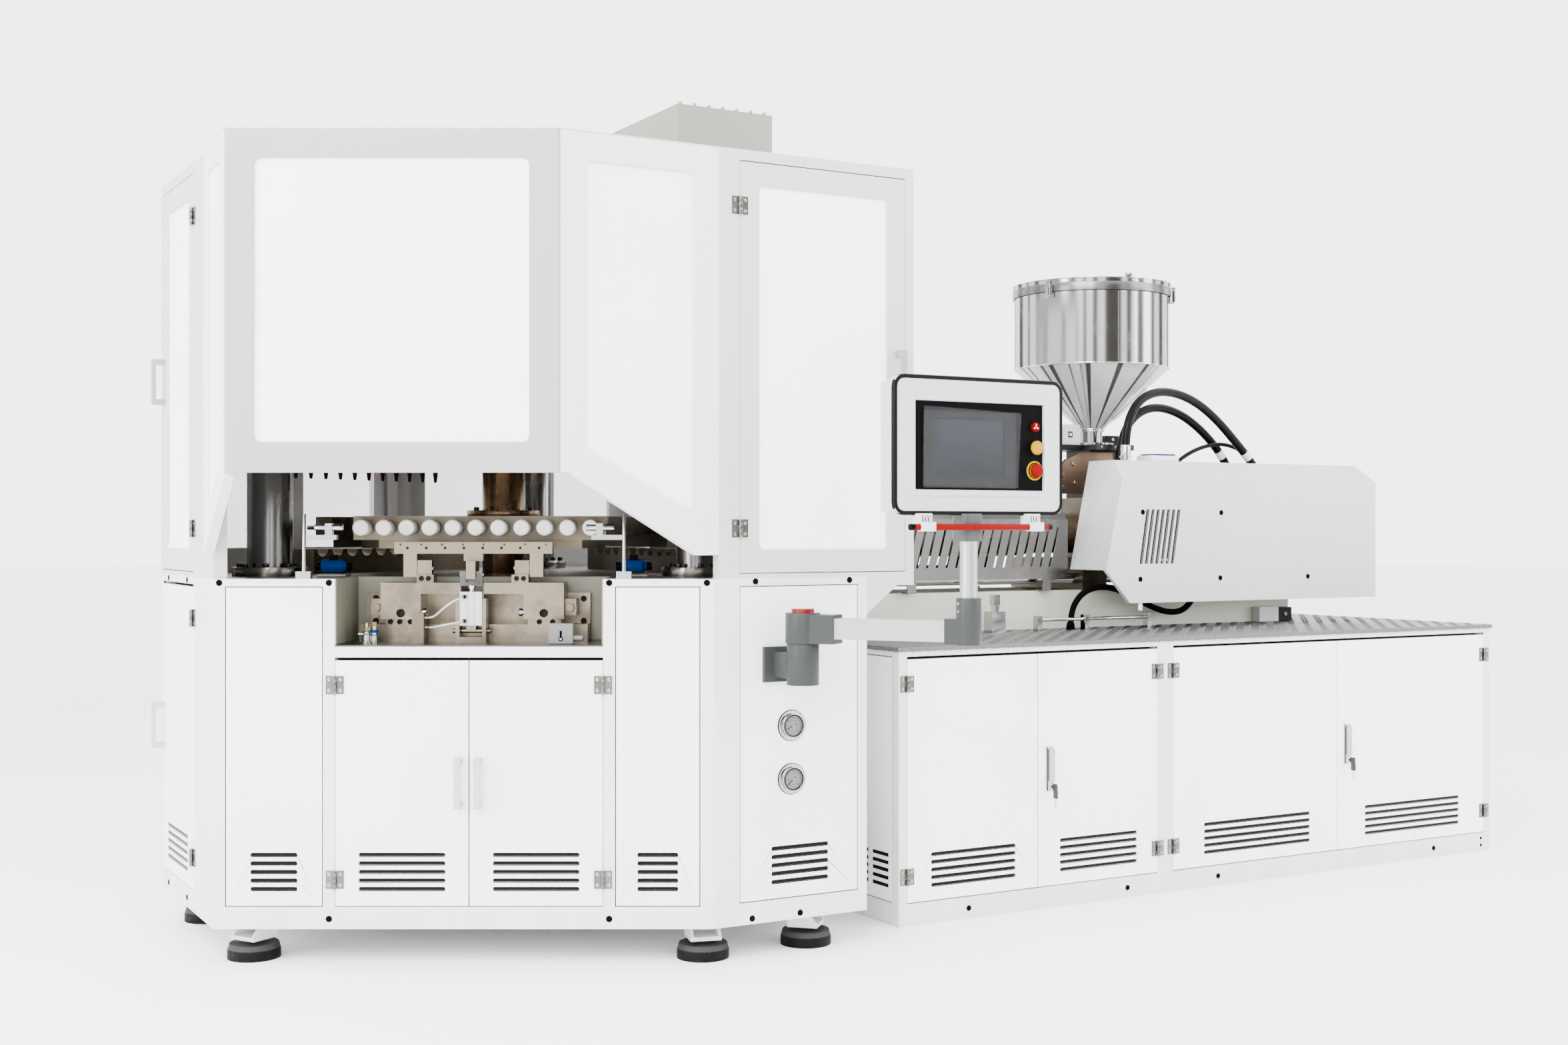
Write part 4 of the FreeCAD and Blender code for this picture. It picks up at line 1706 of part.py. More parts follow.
def panel_tube():
    """The bright tube that carries the operator panel in the elbow cup, and the panel's cast socket."""
    x, y = TUBE_X, -CELL_HALF_DEPTH - TUBE_OUT
    low = ARM_HEIGHT + CLEAR
    foot = PANEL_HEIGHT - PANEL_TALL / 2
    pipe = rod((x, y, low), (x, y, foot - 14), TUBE_RADIUS)
    socket = box(x - 36, x + 36, y - TUBE_RADIUS - 2, y + 40, foot - 78, foot)
    return [pipe, rounded(socket, 18.0, UP).cut(pipe)]


def panel_case():
    """The operator panel's housing, with its corner-framed front rim."""
    half_w, half_h = PANEL_WIDTH / 2, PANEL_TALL / 2
    x0, x1 = PANEL_X - half_w, PANEL_X + half_w
    z0, z1 = PANEL_HEIGHT - half_h, PANEL_HEIGHT + half_h
    rim = PANEL_RIM
    front = PANEL_Y
    frame = rounded(box(x0, x1, front, front + 34, z0, z1), 18.0, Vector(0, 1, 0))
    inset_depth, ledge = 8.0, rim + 10.0
    window = box(x0 + rim, x1 - rim, front - 1, front + inset_depth, z0 + rim, z1 - rim)
    housing = box(x0 + 14, x1 - 14, front + 34, front + PANEL_DEEP, z0 + 4, z1 - 14)
    body = frame.fuse(housing).removeSplitter()
    inside = box(x0 + ledge, x1 - ledge, front, front + PANEL_DEEP - SHEET, z0 + ledge, z1 - ledge)
    return [less(body, [window, inside])]


def button_bores(deep):
    """Cutters for the two push buttons' guides."""
    x = PANEL_X + BUTTON_X
    heights = [PANEL_HEIGHT + z for z in (STOP_Z, ESTOP_Z)]
    return [rod((x, PANEL_Y - 1, z), (x, deep, z), 8.0 + HINGE_FIT) for z in heights]


def panel_front():
    """The black front plate, with the legend ring and the buzzer on it."""
    half_w, half_h = PANEL_WIDTH / 2 - PANEL_RIM, PANEL_TALL / 2 - PANEL_RIM
    y0, y1 = PANEL_Y + 4.0, PANEL_Y + 8.0
    sheet = box(PANEL_X - half_w, PANEL_X + half_w, y0, y1, PANEL_HEIGHT - half_h, PANEL_HEIGHT + half_h)
    x = PANEL_X + BUTTON_X
    ring = rod((x, y0 - 3, PANEL_HEIGHT + ESTOP_Z), (x, y0, PANEL_HEIGHT + ESTOP_Z), RING_RADIUS)
    collar = rod((x, y0 - 3, PANEL_HEIGHT + STOP_Z), (x, y0, PANEL_HEIGHT + STOP_Z), 16.0)
    buzzer = rod((x, y0 - 9, PANEL_HEIGHT + BUZZER_Z), (x, y0, PANEL_HEIGHT + BUZZER_Z), 14.0)
    return [less(sheet.fuse([ring, collar, buzzer]).removeSplitter(), button_bores(y1 + 1))]


def touch_screen():
    """The touch screen's frame and glass."""
    y1 = PANEL_Y + 4.0
    x0, x1 = SCREEN_X, SCREEN_X + SCREEN_WIDTH
    z0 = PANEL_HEIGHT - SCREEN_DROP
    z1 = z0 + SCREEN_TALL
    body = box(x0, x1, y1 - 6, y1, z0, z1)
    side, edge = SCREEN_BORDER, 0.5 * SCREEN_BORDER
    return [body.cut(box(x0 + side, x1 - side, y1 - 7, y1 - 4, z0 + 1.6 * edge, z1 - edge))]


def push_button(z):
    """A mushroom button on its guide stem."""
    x = PANEL_X + BUTTON_X
    face = PANEL_Y + 4.0 - 3.0 - BUTTON_TRAVEL - 1.0
    head = turned([(0, 0), (BUTTON_RADIUS, 0), (BUTTON_RADIUS, 6), (BUTTON_RADIUS - 6, 13), (0, 14)])
    head.rotate(Vector(0, 0, 0), Vector(1, 0, 0), 90)
    head.translate(Vector(x, face, PANEL_HEIGHT + z))
    stem = rod((x, face - 1, PANEL_HEIGHT + z), (x, PANEL_Y + 22, PANEL_HEIGHT + z), 8.0)
    return [head.fuse(stem).removeSplitter()]


def grab_bar():
    """The red bar under the panel with its two clips."""
    z = PANEL_HEIGHT - PANEL_TALL / 2 - GRAB_DROP
    y = PANEL_Y - 26.0
    half = GRAB_LENGTH / 2
    bar_solid = rod((GRAB_X - half, y, z), (GRAB_X + half, y, z), 9.0)
    solids = [bar_solid]
    for x in (GRAB_X - GRAB_CLIPS, GRAB_X + GRAB_CLIPS):
        clip = box(x - 24, x + 24, y - 11, y + 11, z - 12, z + 14)
        riser = box(x - 22, x + 22, y + 5, y + 40, z + 2, PANEL_HEIGHT - PANEL_TALL / 2)
        clip = clip.fuse(riser).removeSplitter().cut(bar_solid)
        solids.append(clip)
    return solids


def pressure_gauges():
    """The two flanged pressure gauges on the side panel."""
    solids = []
    x = ARM_PIVOT_X + 24.0
    for z in (696.0, 536.0):
        y = -CELL_HALF_DEPTH
        flange = rod((x, y - 4, z), (x, y, z), GAUGE_FLANGE)
        case = rod((x, y - 16, z), (x, y - 4, z), GAUGE_RADIUS + 3)
        glass = rod((x, y - 16, z), (x, y - 11, z), GAUGE_RADIUS)
        solids.append(flange.fuse(case).removeSplitter().cut(glass))
        solids.append(rod((x, y - 11, z), (x, y - 14, z), 3.0))
    return solids


# ---------------------------------------------------------------- hoses
HOSE_RADIUS = 17.0
HOSE_THIN_RADIUS = 8.0
CONDUIT_RADIUS = 12.0
AIR_RADIUS = 3.0


def above(height, points):
    """Route points whose z is given above a height."""
    return [(x, y, height + z) for x, y, z in points]


HOSE_FRONT = above(BARREL_HEIGHT, [
    (2404, -345, COVER_RISE), (2404, -345, 355), (2425, -340, 440), (2485, -328, 515), (2590, -306, 555),
    (2720, -278, 558), (2860, -250, 525), (2990, -226, 460), (3110, -212, 370), (3208, -206, 285),
    (3249, -205, 221), (FRONT_PORT_X, -205, 150), (FRONT_PORT_X, -205, PORT_STEP),
])
HOSE_REAR = above(BARREL_HEIGHT, [
    (2500, -190, 150), (2500, -190, 230), (2512, -188, 330), (2545, -184, 420), (2620, -176, 485),
    (2730, -166, 510), (2860, -154, 485), (2985, -144, 420), (3095, -136, 330), (3158, -131, 240),
    (REAR_PORT_X, -128, 154), (REAR_PORT_X, -128, PORT_STEP),
])
HOSE_THIN = above(BARREL_HEIGHT, [
    (2745, -165, 130), (2745, -165, 188), (2775, -165, 245), (2860, -166, 310), (2970, -167, 355),
    (3090, -167, 370), (3200, -167, 335), (3285, -167, 260), (THIN_PORT_X, -167, 160),
    (THIN_PORT_X, -167, PORT_STEP),
])
CONDUIT = above(BENCH_TOP, [
    (2172, -300, 0), (2172, -300, 62), (2210, -302, 127), (2280, -304, 161), (2370, -306, 159),
    (2470, -307, 122), (2570, -307, 77), (2665, -306, 52), (2745, -303, 62), (2800, -300, 117),
])
CONDUIT += above(CARRIAGE_TOP - 8 - CLEAR, [(CONDUIT_END_X, -298, -69), (CONDUIT_END_X, -298, 0)])
AIR_UPPER = above(DECK_TOP, [
    (-17, -643, -56), (-17, -665, -56), (-28, -684, -61), (-50, -692, -73), (-74, -684, -91),
    (-94, -666, -107), (-113, -647, -119), (FITTING_X, -647, -119),
])
AIR_LOWER = above(DECK_TOP, [
    (-17, -643, -129), (-17, -665, -129), (-28, -684, -131), (-52, -694, -135), (-78, -686, -140),
    (-98, -665, -145), (-115, -646, -148), (FITTING_X, -646, -148),
])


def hydraulic_hoses():
    """The two large hoses and the thin one over the drive cover."""
    return [hose(HOSE_FRONT, HOSE_RADIUS), hose(HOSE_REAR, HOSE_RADIUS), hose(HOSE_THIN, HOSE_THIN_RADIUS)]


def cable_conduit():
    """The ribbed conduit from the bench plate to the carriage."""
    return [hose(CONDUIT, CONDUIT_RADIUS)]


def air_tubes():
    """The two clear tubes from the stripper cylinder to its fitting block."""
    return [STATION.put(hose(route, AIR_RADIUS)) for route in (AIR_UPPER, AIR_LOWER)]


def adjusting_rod():
    """The small chrome rod with its clamps and the square-headed adjuster on the bench plate."""
    y, z, radius = -340.0, BENCH_TOP + ADJUST_RISE, 6.5
    start, end = ADJUST_X, ADJUST_X + ADJUST_LENGTH
    solids = [rod((start, y, z), (end, y, z), radius)]
    for x in (start + 10.0, start + 0.42 * ADJUST_LENGTH, end - 15.0):
        clamp = box(x - 11, x + 11, y - 14, y + 14, BENCH_TOP, z + 16)
        solids.append(clamp.cut(rod((x - 12, y, z), (x + 12, y, z), radius)))
    x, y = start - 160.0, -300.0
    foot_top = BENCH_TOP + 77.0
    solids.append(box(x - 31, x + 31, y - 25, y + 25, BENCH_TOP, foot_top))
    nut = [(17 * math.cos(math.radians(a)), 17 * math.sin(math.radians(a))) for a in range(0, 360, 60)]
    solids.append(prism([(x + dx, y + dy) for dx, dy in nut], foot_top, foot_top + 24))
    solids.append(box(x - 14, x + 14, y - 14, y + 14, foot_top + 24, foot_top + 62))
    return solids


# ---------------------------------------------------------------- the whole machine
def machine():
    """Every piece by its name."""
    pieces = {
        "base_frame": base_frame(),
        "foot_pads": foot_pads(),
        "vented_panels": base_panels(),
        "deck_plate": deck_plate(),
        "recess_liner": recess_liner(),
        "upper_frame": upper_frame() + upper_panels(),
        "hood_shell": hood_shell(),
        "window_panes": window_panes(),
        "top_box": top_box(),
        "hinge_leaves": hinge_leaves(),
        "tie_columns": tie_columns() + crown(),
        "clamp_platen": clamp_platen(),
        "blow_nozzles": blow_nozzles(),
        "lower_moulds": lower_moulds() + [nozzle_manifold()] + injection_nozzles(),
        "turret_shaft": turret_shaft(),
        "turret_head": turret_head() + core_rods(),
        "moulded_bottles": moulded_bottles(),
        "stripper_bar": stripper_bar(),
        "stripper_base": stripper_base() + stripper_cylinder(),
        "stripper_rod": stripper_rod(),
        "row_sensors": row_sensors(),
        "bench_frame": bench_frame(),
        "tread_plate": tread_plate(),
        "inner_drives": power_unit() + index_drive(),
        "rail_base": rail_base() + [guide_front_block()],
        "adjusting_rod": adjusting_rod(),
        "guide_rods": guide_rods(),
        "carriage": carriage(),
        "barrel": barrel() + screw(),
        "barrel_guard": barrel_guard() + guard_brackets(),
        "hopper": hopper(),
        "injection_drive": drive_unit(),
        "drive_cover": drive_cover(),
        "arm_bracket": arm_bracket(),
        "swing_arm": swing_arm(),
        "panel_tube": panel_tube(),
        "panel_case": panel_case(),
        "panel_front": panel_front() + touch_screen(),
        "stop_button": push_button(STOP_Z),
        "emergency_button": push_button(ESTOP_Z),
        "grab_bar": grab_bar(),
        "pressure_gauges": pressure_gauges(),
        "hydraulic_hoses": hydraulic_hoses(),
        "cable_conduit": cable_conduit(),
        "air_tubes": air_tubes(),
    }
    fixed_lid, moving_lid = hopper_lids()
    pieces["hopper"] += fixed_lid
    pieces["hopper_lid"] = moving_lid
    for row in door_rows():
        pieces[row[0]] = door(*row)
    for i, (x, z) in enumerate(lock_places()):
        pieces[f"lock_lever_{i + 1}"] = [lock_lever(x, z)]
        pieces[f"lock_key_{i + 1}"] = [lock_key(x, z)]
    return pieces


def footprint(pieces):
    """The move that puts the origin at the middle of the footprint."""
    whole = Part.makeCompound([s for solids in pieces.values() for s in solids]).optimalBoundingBox(False)
    return Vector(-0.5 * (whole.XMin + whole.XMax), -0.5 * (whole.YMin + whole.YMax), 0)


PIECES = machine()
MOVE = footprint(PIECES)
os.makedirs("parts", exist_ok=True)
for node, solids in PIECES.items():
    shape = Part.makeCompound(solids) if len(solids) > 1 else solids[0]
    shape.translate(MOVE)
    shape.exportStep(f"parts/{node}.step")
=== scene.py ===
"""Looks of a three-station injection blow moulding machine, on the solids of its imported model.

Points are given in millimetres from the turret's axis and the floor, +X along the injection axis, as
the machine is drawn; at() turns them into the scene's metres.
"""

import math
from types import SimpleNamespace

import bmesh
import bpy
from bpy.props import FloatProperty, FloatVectorProperty, IntProperty, PointerProperty
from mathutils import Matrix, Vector


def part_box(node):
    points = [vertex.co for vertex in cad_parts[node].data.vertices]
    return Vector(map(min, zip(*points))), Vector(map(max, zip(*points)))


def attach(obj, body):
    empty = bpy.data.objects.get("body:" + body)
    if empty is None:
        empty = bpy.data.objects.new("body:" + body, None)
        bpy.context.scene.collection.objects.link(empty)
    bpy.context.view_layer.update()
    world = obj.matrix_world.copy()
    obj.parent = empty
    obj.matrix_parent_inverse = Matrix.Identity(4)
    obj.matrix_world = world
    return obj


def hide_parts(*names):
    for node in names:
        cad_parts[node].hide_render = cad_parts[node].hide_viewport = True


bl_info = {
    "name": "Injection blow moulding machine",
    "version": (1, 0, 0),
    "blender": (4, 5, 0),
    "location": "3D View > Sidebar > Moulder",
    "description": "Finishes, fittings, hoses and stage of an injection blow moulding machine",
    "category": "Object",
}

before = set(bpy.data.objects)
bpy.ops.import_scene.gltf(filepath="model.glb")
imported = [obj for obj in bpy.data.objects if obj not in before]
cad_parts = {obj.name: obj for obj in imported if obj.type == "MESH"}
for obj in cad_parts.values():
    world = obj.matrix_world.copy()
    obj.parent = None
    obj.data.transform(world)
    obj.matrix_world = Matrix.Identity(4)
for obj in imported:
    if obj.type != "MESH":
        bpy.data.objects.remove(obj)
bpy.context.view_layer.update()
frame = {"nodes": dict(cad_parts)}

# ---------------------------------------------------------------- places on the machine
LOW, HIGH = (Vector(corner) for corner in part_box("turret_shaft"))
AXIS = (LOW + HIGH) / 2
MM = 0.001
UP, OUT, ALONG = (0, 0, 1), (0, -1, 0), (1, 0, 0)
CELL_LEFT, CELL_RIGHT, CELL_SIDE = -1012, 964, 1021
BENCH_LEFT, BENCH_RIGHT, BENCH_SIDE = 1022, 3864, 850
LOWER, UPPER, UNDER = (178, 1117), (1153, 2377), (72, 872)
HOPPER_X, CONE_LOW, CONE_HIGH, NECK, SHELL = 2522, 1685, 1933, 45, 310
GAUGE_X = 264
BUTTON_X, BUZZER_Z, RING_Z = 1028, 1580, 1454
# Where one finish of a solid meets the next, and where painted light and shade start (HOOD_FRONT, the
# LOUVRE numbers).
PAD_CAP, TRAY_TOP, BED_TOP, SOCKET_LOW, FAR_SIDE, HOOD_FRONT = 30.0, 947.0, 1412.0, 1250.8, 300.0, -997.0
ARM_TUBE, ARM_CAP_LOW, ARM_CAP_RADIUS = (110.0, 446.6), 1038.8, 35.5
COLUMN_REACH, COLUMN_RADIUS, COLUMN_FLANGE = 775, 78.0, (1167.3, 1230.0)
SHAFT_RADIUS, SHAFT_FLANGE = 82.0, 1348.2
CYLINDER = ((-33.4, 33.4), (-631.5, -588.5), (995.5, 1097.5))
LOUVRE_X, LOUVRE_Z, LOUVRE_PITCH, LOUVRE_SLANT, LOUVRES = 2383.5, 1157.0, 26.0, 0.17, (1153.0, 1361.0)
COVER_FRONT, CASE_FRONT, PLATE_FRONT, CLIP_FRONT = -449.0, -1535.0, -1546.4, -1555.0
SCREEN_FRAME, SCREEN = ((639.5, 958.5), (1400.5, 1617.5)), ((684.0, 914.0), (1436.4, 1594.5))
BAR_ENDS, BAR_CLIPS, CLIP_HALF = (589.0, 1051.0), (632.0, 1008.0), 24.6
KEY_BLADE, KEY_GRIP = 373.8, -11.8


def at(x, y, z):
    """A drawn point in the scene's metres."""
    return Vector((AXIS.x + x * MM, AXIS.y + y * MM, z * MM))


class Face:
    """An upright face: x to the right along it, y into the machine, z up, in millimetres."""

    def __init__(self, x, y, degrees):
        self.x, self.y = x, y
        self.cos, self.sin = math.cos(math.radians(degrees)), math.sin(math.radians(degrees))

    def __call__(self, x, y, z):
        return at(self.x + x * self.cos - y * self.sin, self.y + x * self.sin + y * self.cos, z)


FRONT = Face(CELL_LEFT, -289, -30)
SIDE = Face(257, -CELL_SIDE, 0)
RIGHT = Face(CELL_RIGHT, -CELL_SIDE, 90)
BACK = Face(CELL_RIGHT, CELL_SIDE, 180)
END = Face(CELL_LEFT, 470, -90)
BENCH = Face(BENCH_LEFT, -BENCH_SIDE, 0)
STATION = Face(0, 0, -30)
PLAN = Face(0, 0, 0)
ARM = Face(497, -1130, math.degrees(math.atan2(-407, 305)))
# Each door: its face, left and right edge, low and high edge, hinged side and kind.
DOOR_ROWS = {
    "front_door_left": (FRONT, 356, 749, 178, 909, "left", "pull"),
    "front_door_right": (FRONT, 749, 1142, 178, 909, "right", "pull"),
    "end_door_lower": (END, 30, 490, *LOWER, "right", "pull"),
    "end_door_upper": (END, 30, 490, *UPPER, "right", "glazed"),
    "side_window_door": (SIDE, 88, 675, *UPPER, "left", "glazed"),
    "nozzle_door": (RIGHT, 60, 621, 1139, 2377, "right", "glazed"),
    "bench_door_1": (BENCH, 32, 564, *UNDER, "left", "plain"),
    "bench_door_2": (BENCH, 564, 1094, *UNDER, "right", "locked"),
    "bench_door_3": (BENCH, 1168, 1986, *UNDER, "left", "plain"),
    "bench_door_4": (BENCH, 1986, 2807, *UNDER, "right", "locked"),
}
# Fixed panels: their face, low and high edge, and the left and right edges of their bays.
FIXED_PANELS = (
    ("front", FRONT, *LOWER, ((34, 321), (1177, 1427))),
    ("side", SIDE, *LOWER, ((88, 501),)),
    ("bench_left", Face(BENCH_LEFT, BENCH_SIDE, -90), *UNDER, ((40, 850), (850, 1660))),
    ("bench_right", Face(BENCH_RIGHT, -BENCH_SIDE, 90), *UNDER, ((40, 850), (850, 1660))),
    ("bench_back", Face(BENCH_RIGHT, BENCH_SIDE, 180), *UNDER, ((32, 958), (958, 1884), (1884, 2810))),
    ("right", Face(790, -CELL_SIDE, 90), *LOWER, ((60, 1021), (1021, 1982))),
    ("back", Face(790, CELL_SIDE, 180), *LOWER, ((60, 788),)),
    ("rear", Face(-58, CELL_SIDE, -149.991), *LOWER, ((60, 1041.7),)),
)


# ---------------------------------------------------------------- settings
def colour(name, description, default):
    """A colour that a user may change."""
    return FloatVectorProperty(
        name=name, description=description, default=default, size=3, min=0, max=1, subtype="COLOR"
    )


def amount(name, description, default, unit="LENGTH"):
    """A measure that a user may change: a length in metres unless the unit says otherwise."""
    return FloatProperty(name=name, description=description, default=default, min=0, unit=unit)


class MOULDER_PG_colours(bpy.types.PropertyGroup):
    """Colours of the finishes."""

    white: colour("Powder coat", "Lower doors, posts and panels", (0.75, 0.755, 0.75))
    hood: colour("Hood", "Front wall of the hood", (0.275, 0.275, 0.275))
    frame: colour("Window doors", "Window doors and upper posts", (0.44, 0.44, 0.436))
    cover: colour("Drive cover", "Folded cover of the drive", (0.41, 0.413, 0.42))
    cream: colour("Cream paint", "Rail beams", (0.44, 0.44, 0.37))
    liner: colour("Recess paint", "Walls of the recess", (0.135, 0.13, 0.095))
    grey: colour("Cast grey", "Arm head, bracket and drives", (0.027, 0.0295, 0.030))
    black: colour("Blackened steel", "Throat and housings", (0.003, 0.003, 0.0032))
    steel: colour("Ground steel", "Platen, mould halves and blocks", (0.235, 0.198, 0.148))
    head: colour("Turret steel", "Turret head", (0.17, 0.150, 0.120))
    column: colour("Column steel", "Tie columns", (0.165, 0.165, 0.16))
    stainless: colour("Stainless steel", "Hopper and guard", (0.31, 0.305, 0.295))
    chrome: colour("Chrome", "Rods and bezels", (0.50, 0.50, 0.50))
    hinge: colour("Nickel", "Hinges", (0.14, 0.133, 0.122))
    bronze: colour("Bronze", "Lifting shaft", (0.26, 0.17, 0.095))
    tread: colour("Tread plate", "Bench top", (0.14, 0.142, 0.144))
    pane: colour("Frosted pane", "Windows", (0.90, 0.905, 0.905))
    bottle: colour("Bottle", "Moulded bottles", (0.66, 0.655, 0.62))
    rubber: colour("Rubber", "Hoses and pads", (0.0016, 0.0016, 0.0018))
    plastic: colour("Black plastic", "Panel front and plugs", (0.0014, 0.0014, 0.0016))
    case: colour("Panel housing", "Operator panel", (0.40, 0.41, 0.41))
    yellow: colour("Yellow", "Stop button and the ring below it", (0.31, 0.172, 0.0))
    red: colour("Red", "Emergency button, bar and arm cap", (0.13, 0.0008, 0.0012))
    blue: colour("Blue", "Lock cylinders and valves", (0.001, 0.022, 0.115))


class MOULDER_PG_cables(bpy.types.PropertyGroup):
    """Sizes of the hoses."""

    hose: amount("Hose diameter", "The two large hoses", 0.034)
    thin: amount("Thin hose diameter", "The thin hose between them", 0.016)
    conduit: amount("Conduit diameter", "The ribbed conduit's core", 0.021)
    ribs: IntProperty(name="Ribs", description="Ribs on the conduit", default=118, min=4, max=200)
    rib: amount("Rib diameter", "The ribbed conduit over its ribs", 0.024)
    air: amount("Air tube diameter", "The clear tubes at the stripper", 0.006)


class MOULDER_PG_tread(bpy.types.PropertyGroup):
    """Sizes of the raised bars on the bench top."""

    pitch: amount("Pitch", "From one group of bars to the next", 0.040)
    bar: amount("Bar length", "Length of one bar", 0.029)
    width: amount("Bar width", "Width of one bar", 0.0048)
    height: amount("Bar height", "Height of one bar", 0.0016)


class MOULDER_PG_studio(bpy.types.PropertyGroup):
    """The stage."""

    floor: colour("Floor", "Pale floor", (0.94, 0.94, 0.94))
    horizon: amount("Horizon", "Brightness near the floor", 5.9, "NONE")
    zenith: amount("Overhead", "Brightness overhead", 5.2, "NONE")
    key: amount("Key light", "Power", 1650, "POWER")
    side: amount("Side light", "Power, from the left", 1050, "POWER")
    fill: amount("Fill light", "Power", 900, "POWER")
    lens: amount("Lens", "Focal length", 41.33, "CAMERA")


class MOULDER_PG_settings(bpy.types.PropertyGroup):
    """All settings of the machine's looks."""

    colours: PointerProperty(type=MOULDER_PG_colours)
    cables: PointerProperty(type=MOULDER_PG_cables)
    tread: PointerProperty(type=MOULDER_PG_tread)
    studio: PointerProperty(type=MOULDER_PG_studio)


def settings():
    """The scene's settings."""
    return bpy.context.scene.moulder


# ---------------------------------------------------------------- shader maths
class Field:
    """A number, colour or vector on its way through a material's nodes."""

    def __init__(self, paint, socket):
        self.paint, self.socket = paint, socket

    def maths(self, operation, *values):
        """One Math node on the values."""
        return self.paint.node("ShaderNodeMath", {"operation": operation}, dict(enumerate(values)))

    def __add__(self, other):
        return self.maths("ADD", self, other)

    def __sub__(self, other):
        return self.maths("SUBTRACT", self, other)

    def __rsub__(self, other):
        return self.maths("SUBTRACT", other, self)

    def __mul__(self, other):
        return self.maths("MULTIPLY", self, other)

    def __truediv__(self, other):
        return self.maths("DIVIDE", self, other)

    def __gt__(self, other):
        return self.maths("GREATER_THAN", self, other)

    def __lt__(self, other):
        return self.maths("LESS_THAN", self, other)

    __radd__, __rmul__ = __add__, __mul__

    def within(self, low, high):
        """1 between low and high, else 0."""
        return (self > low) * (self < high)

    def between(self, low, high):
        """0 below low, 1 above high and a smooth rise between them."""
        how = {"interpolation_type": "SMOOTHSTEP"}
        return self.paint.node("ShaderNodeMapRange", how, {0: self, 1: low, 2: high, 3: 0.0, 4: 1.0})


class Paint:
    """A material or a sky under way, with the colour, roughness and normal it has so far."""

    def __init__(self, name, kind="materials"):
        self.made = getattr(bpy.data, kind).new(name)
        self.made.use_nodes = True
        self.tree = self.made.node_tree
        self.tree.nodes.clear()
        self.place = self.node("ShaderNodeTexCoord", {}, {}, "Object")
        self.base = self.gloss = self.normal = None

    def node(self, kind, how, inputs, output=0):
        """Adds a node with its settings, then its inputs' values or links, and gives one output."""
        made = self.tree.nodes.new(kind)
        for key, value in how.items():
            setattr(made, key, value)
        for key, value in inputs.items():
            if isinstance(value, Field):
                self.tree.links.new(value.socket, made.inputs[key])
            else:
                made.inputs[key].default_value = value
        return Field(self, made.outputs[output]) if made.outputs else None

    def local(self, face):
        """Millimetres along a face, into it and up."""
        start, found = face(0, 0, 0), []
        for corner in (face(1, 0, 0), face(0, 1, 0), face(0, 0, 1)):
            step, how = (corner - start) / MM ** 2, {"operation": "DOT_PRODUCT"}
            dot = self.node("ShaderNodeVectorMath", how, {0: self.place, 1: step}, "Value")
            found.append(dot - start.dot(step))
        return found

    def noise(self, scale, detail=2.0, stretch=(1, 1, 1), rough=0.5):
        """Soft noise between 0 and 1, stretched along each axis."""
        how = {"operation": "MULTIPLY"}
        place = self.node("ShaderNodeVectorMath", how, {0: self.place, 1: stretch})
        inputs = {"Vector": place, "Scale": scale, "Detail": detail, "Roughness": rough}
        return self.node("ShaderNodeTexNoise", {}, inputs)

    def mix(self, factor, first, second):
        """A colour between two."""
        first, second = (v if isinstance(v, Field) else (*v, 1.0) for v in (first, second))
        return self.node("ShaderNodeMix", {"data_type": "RGBA"}, {0: factor, 6: first, 7: second}, 2)

    def over(self, factor, tint):
        """Lays a colour over the one so far."""
        self.base = self.mix(factor, self.base, tint)

    def blend(self, mask, recipe, *how):
        """Lays the colour and roughness of another recipe over those so far."""
        base, gloss, normal = self.base, self.gloss, self.normal
        recipe(self, *how)
        self.base = self.mix(mask, base, self.base)
        self.gloss = gloss * (1 - mask) + self.gloss * mask
        self.normal = normal

    def bump(self, height, depth, strength=1.0):
        """A normal from a height between 0 and 1, depth in metres."""
        inputs = {"Height": height, "Distance": depth, "Strength": strength}
        return self.node("ShaderNodeBump", {}, inputs)

    def done(self, metal=0.0, alpha=1.0, **constants):
        """Ends the material in one surface; each constant is named after its socket."""
        inputs = {"Base Color": self.base, "Roughness": self.gloss, "Metallic": metal, "Alpha": alpha}
        if self.normal:
            inputs["Normal"] = self.normal
        for key, value in constants.items():
            inputs[key.replace("_", " ").title().replace("Ior", "IOR")] = value
        surface = self.node("ShaderNodeBsdfPrincipled", {}, inputs)
        self.node("ShaderNodeOutputMaterial", {}, {0: surface})
        return self.made


# ---------------------------------------------------------------- recipes
def shade(tint, factor):
    """A colour made darker or lighter."""
    return tuple(min(1.0, value * factor) for value in tint)


def powder(paint, tint, rough=0.42, peel=0.00012, dust=0.0):
    """Powder coat: orange peel, slow patches of tone, dust near the floor."""
    patches, grain, smear = paint.noise(1.6, 3), paint.noise(330), paint.noise(9, 4, (1, 1, 0.25))
    paint.base = paint.mix(patches.between(0.35, 0.7), tint, shade(tint, 0.955))
    if dust:
        low = 1 - paint.local(PLAN)[2].between(80, 500)
        dirt = shade((0.52, 0.49, 0.43), tint[0] / 0.74)
        paint.over(low * smear.between(0.3, 0.75) * dust, dirt)
    paint.over(smear.between(0.62, 0.85) * 0.18, shade(tint, 0.88))
    paint.gloss = rough + (smear - 0.5) * 0.16 + (grain - 0.5) * 0.05
    paint.normal = paint.bump(grain, peel)
    return paint


def cloudy(paint, tint):
    """A frosted pane: faint clouds and wiped streaks."""
    streak, clouds = paint.noise(5, 3, (1, 1, 0.2)), paint.noise(2.6, 5, rough=0.6)
    paint.base = paint.mix(clouds.between(0.4, 0.75) * 0.5, tint, shade(tint, 0.93))
    paint.over(streak.between(0.6, 0.8) * 0.3, shade(tint, 1.08))
    paint.gloss = 0.2 + streak * 0.14
    return paint


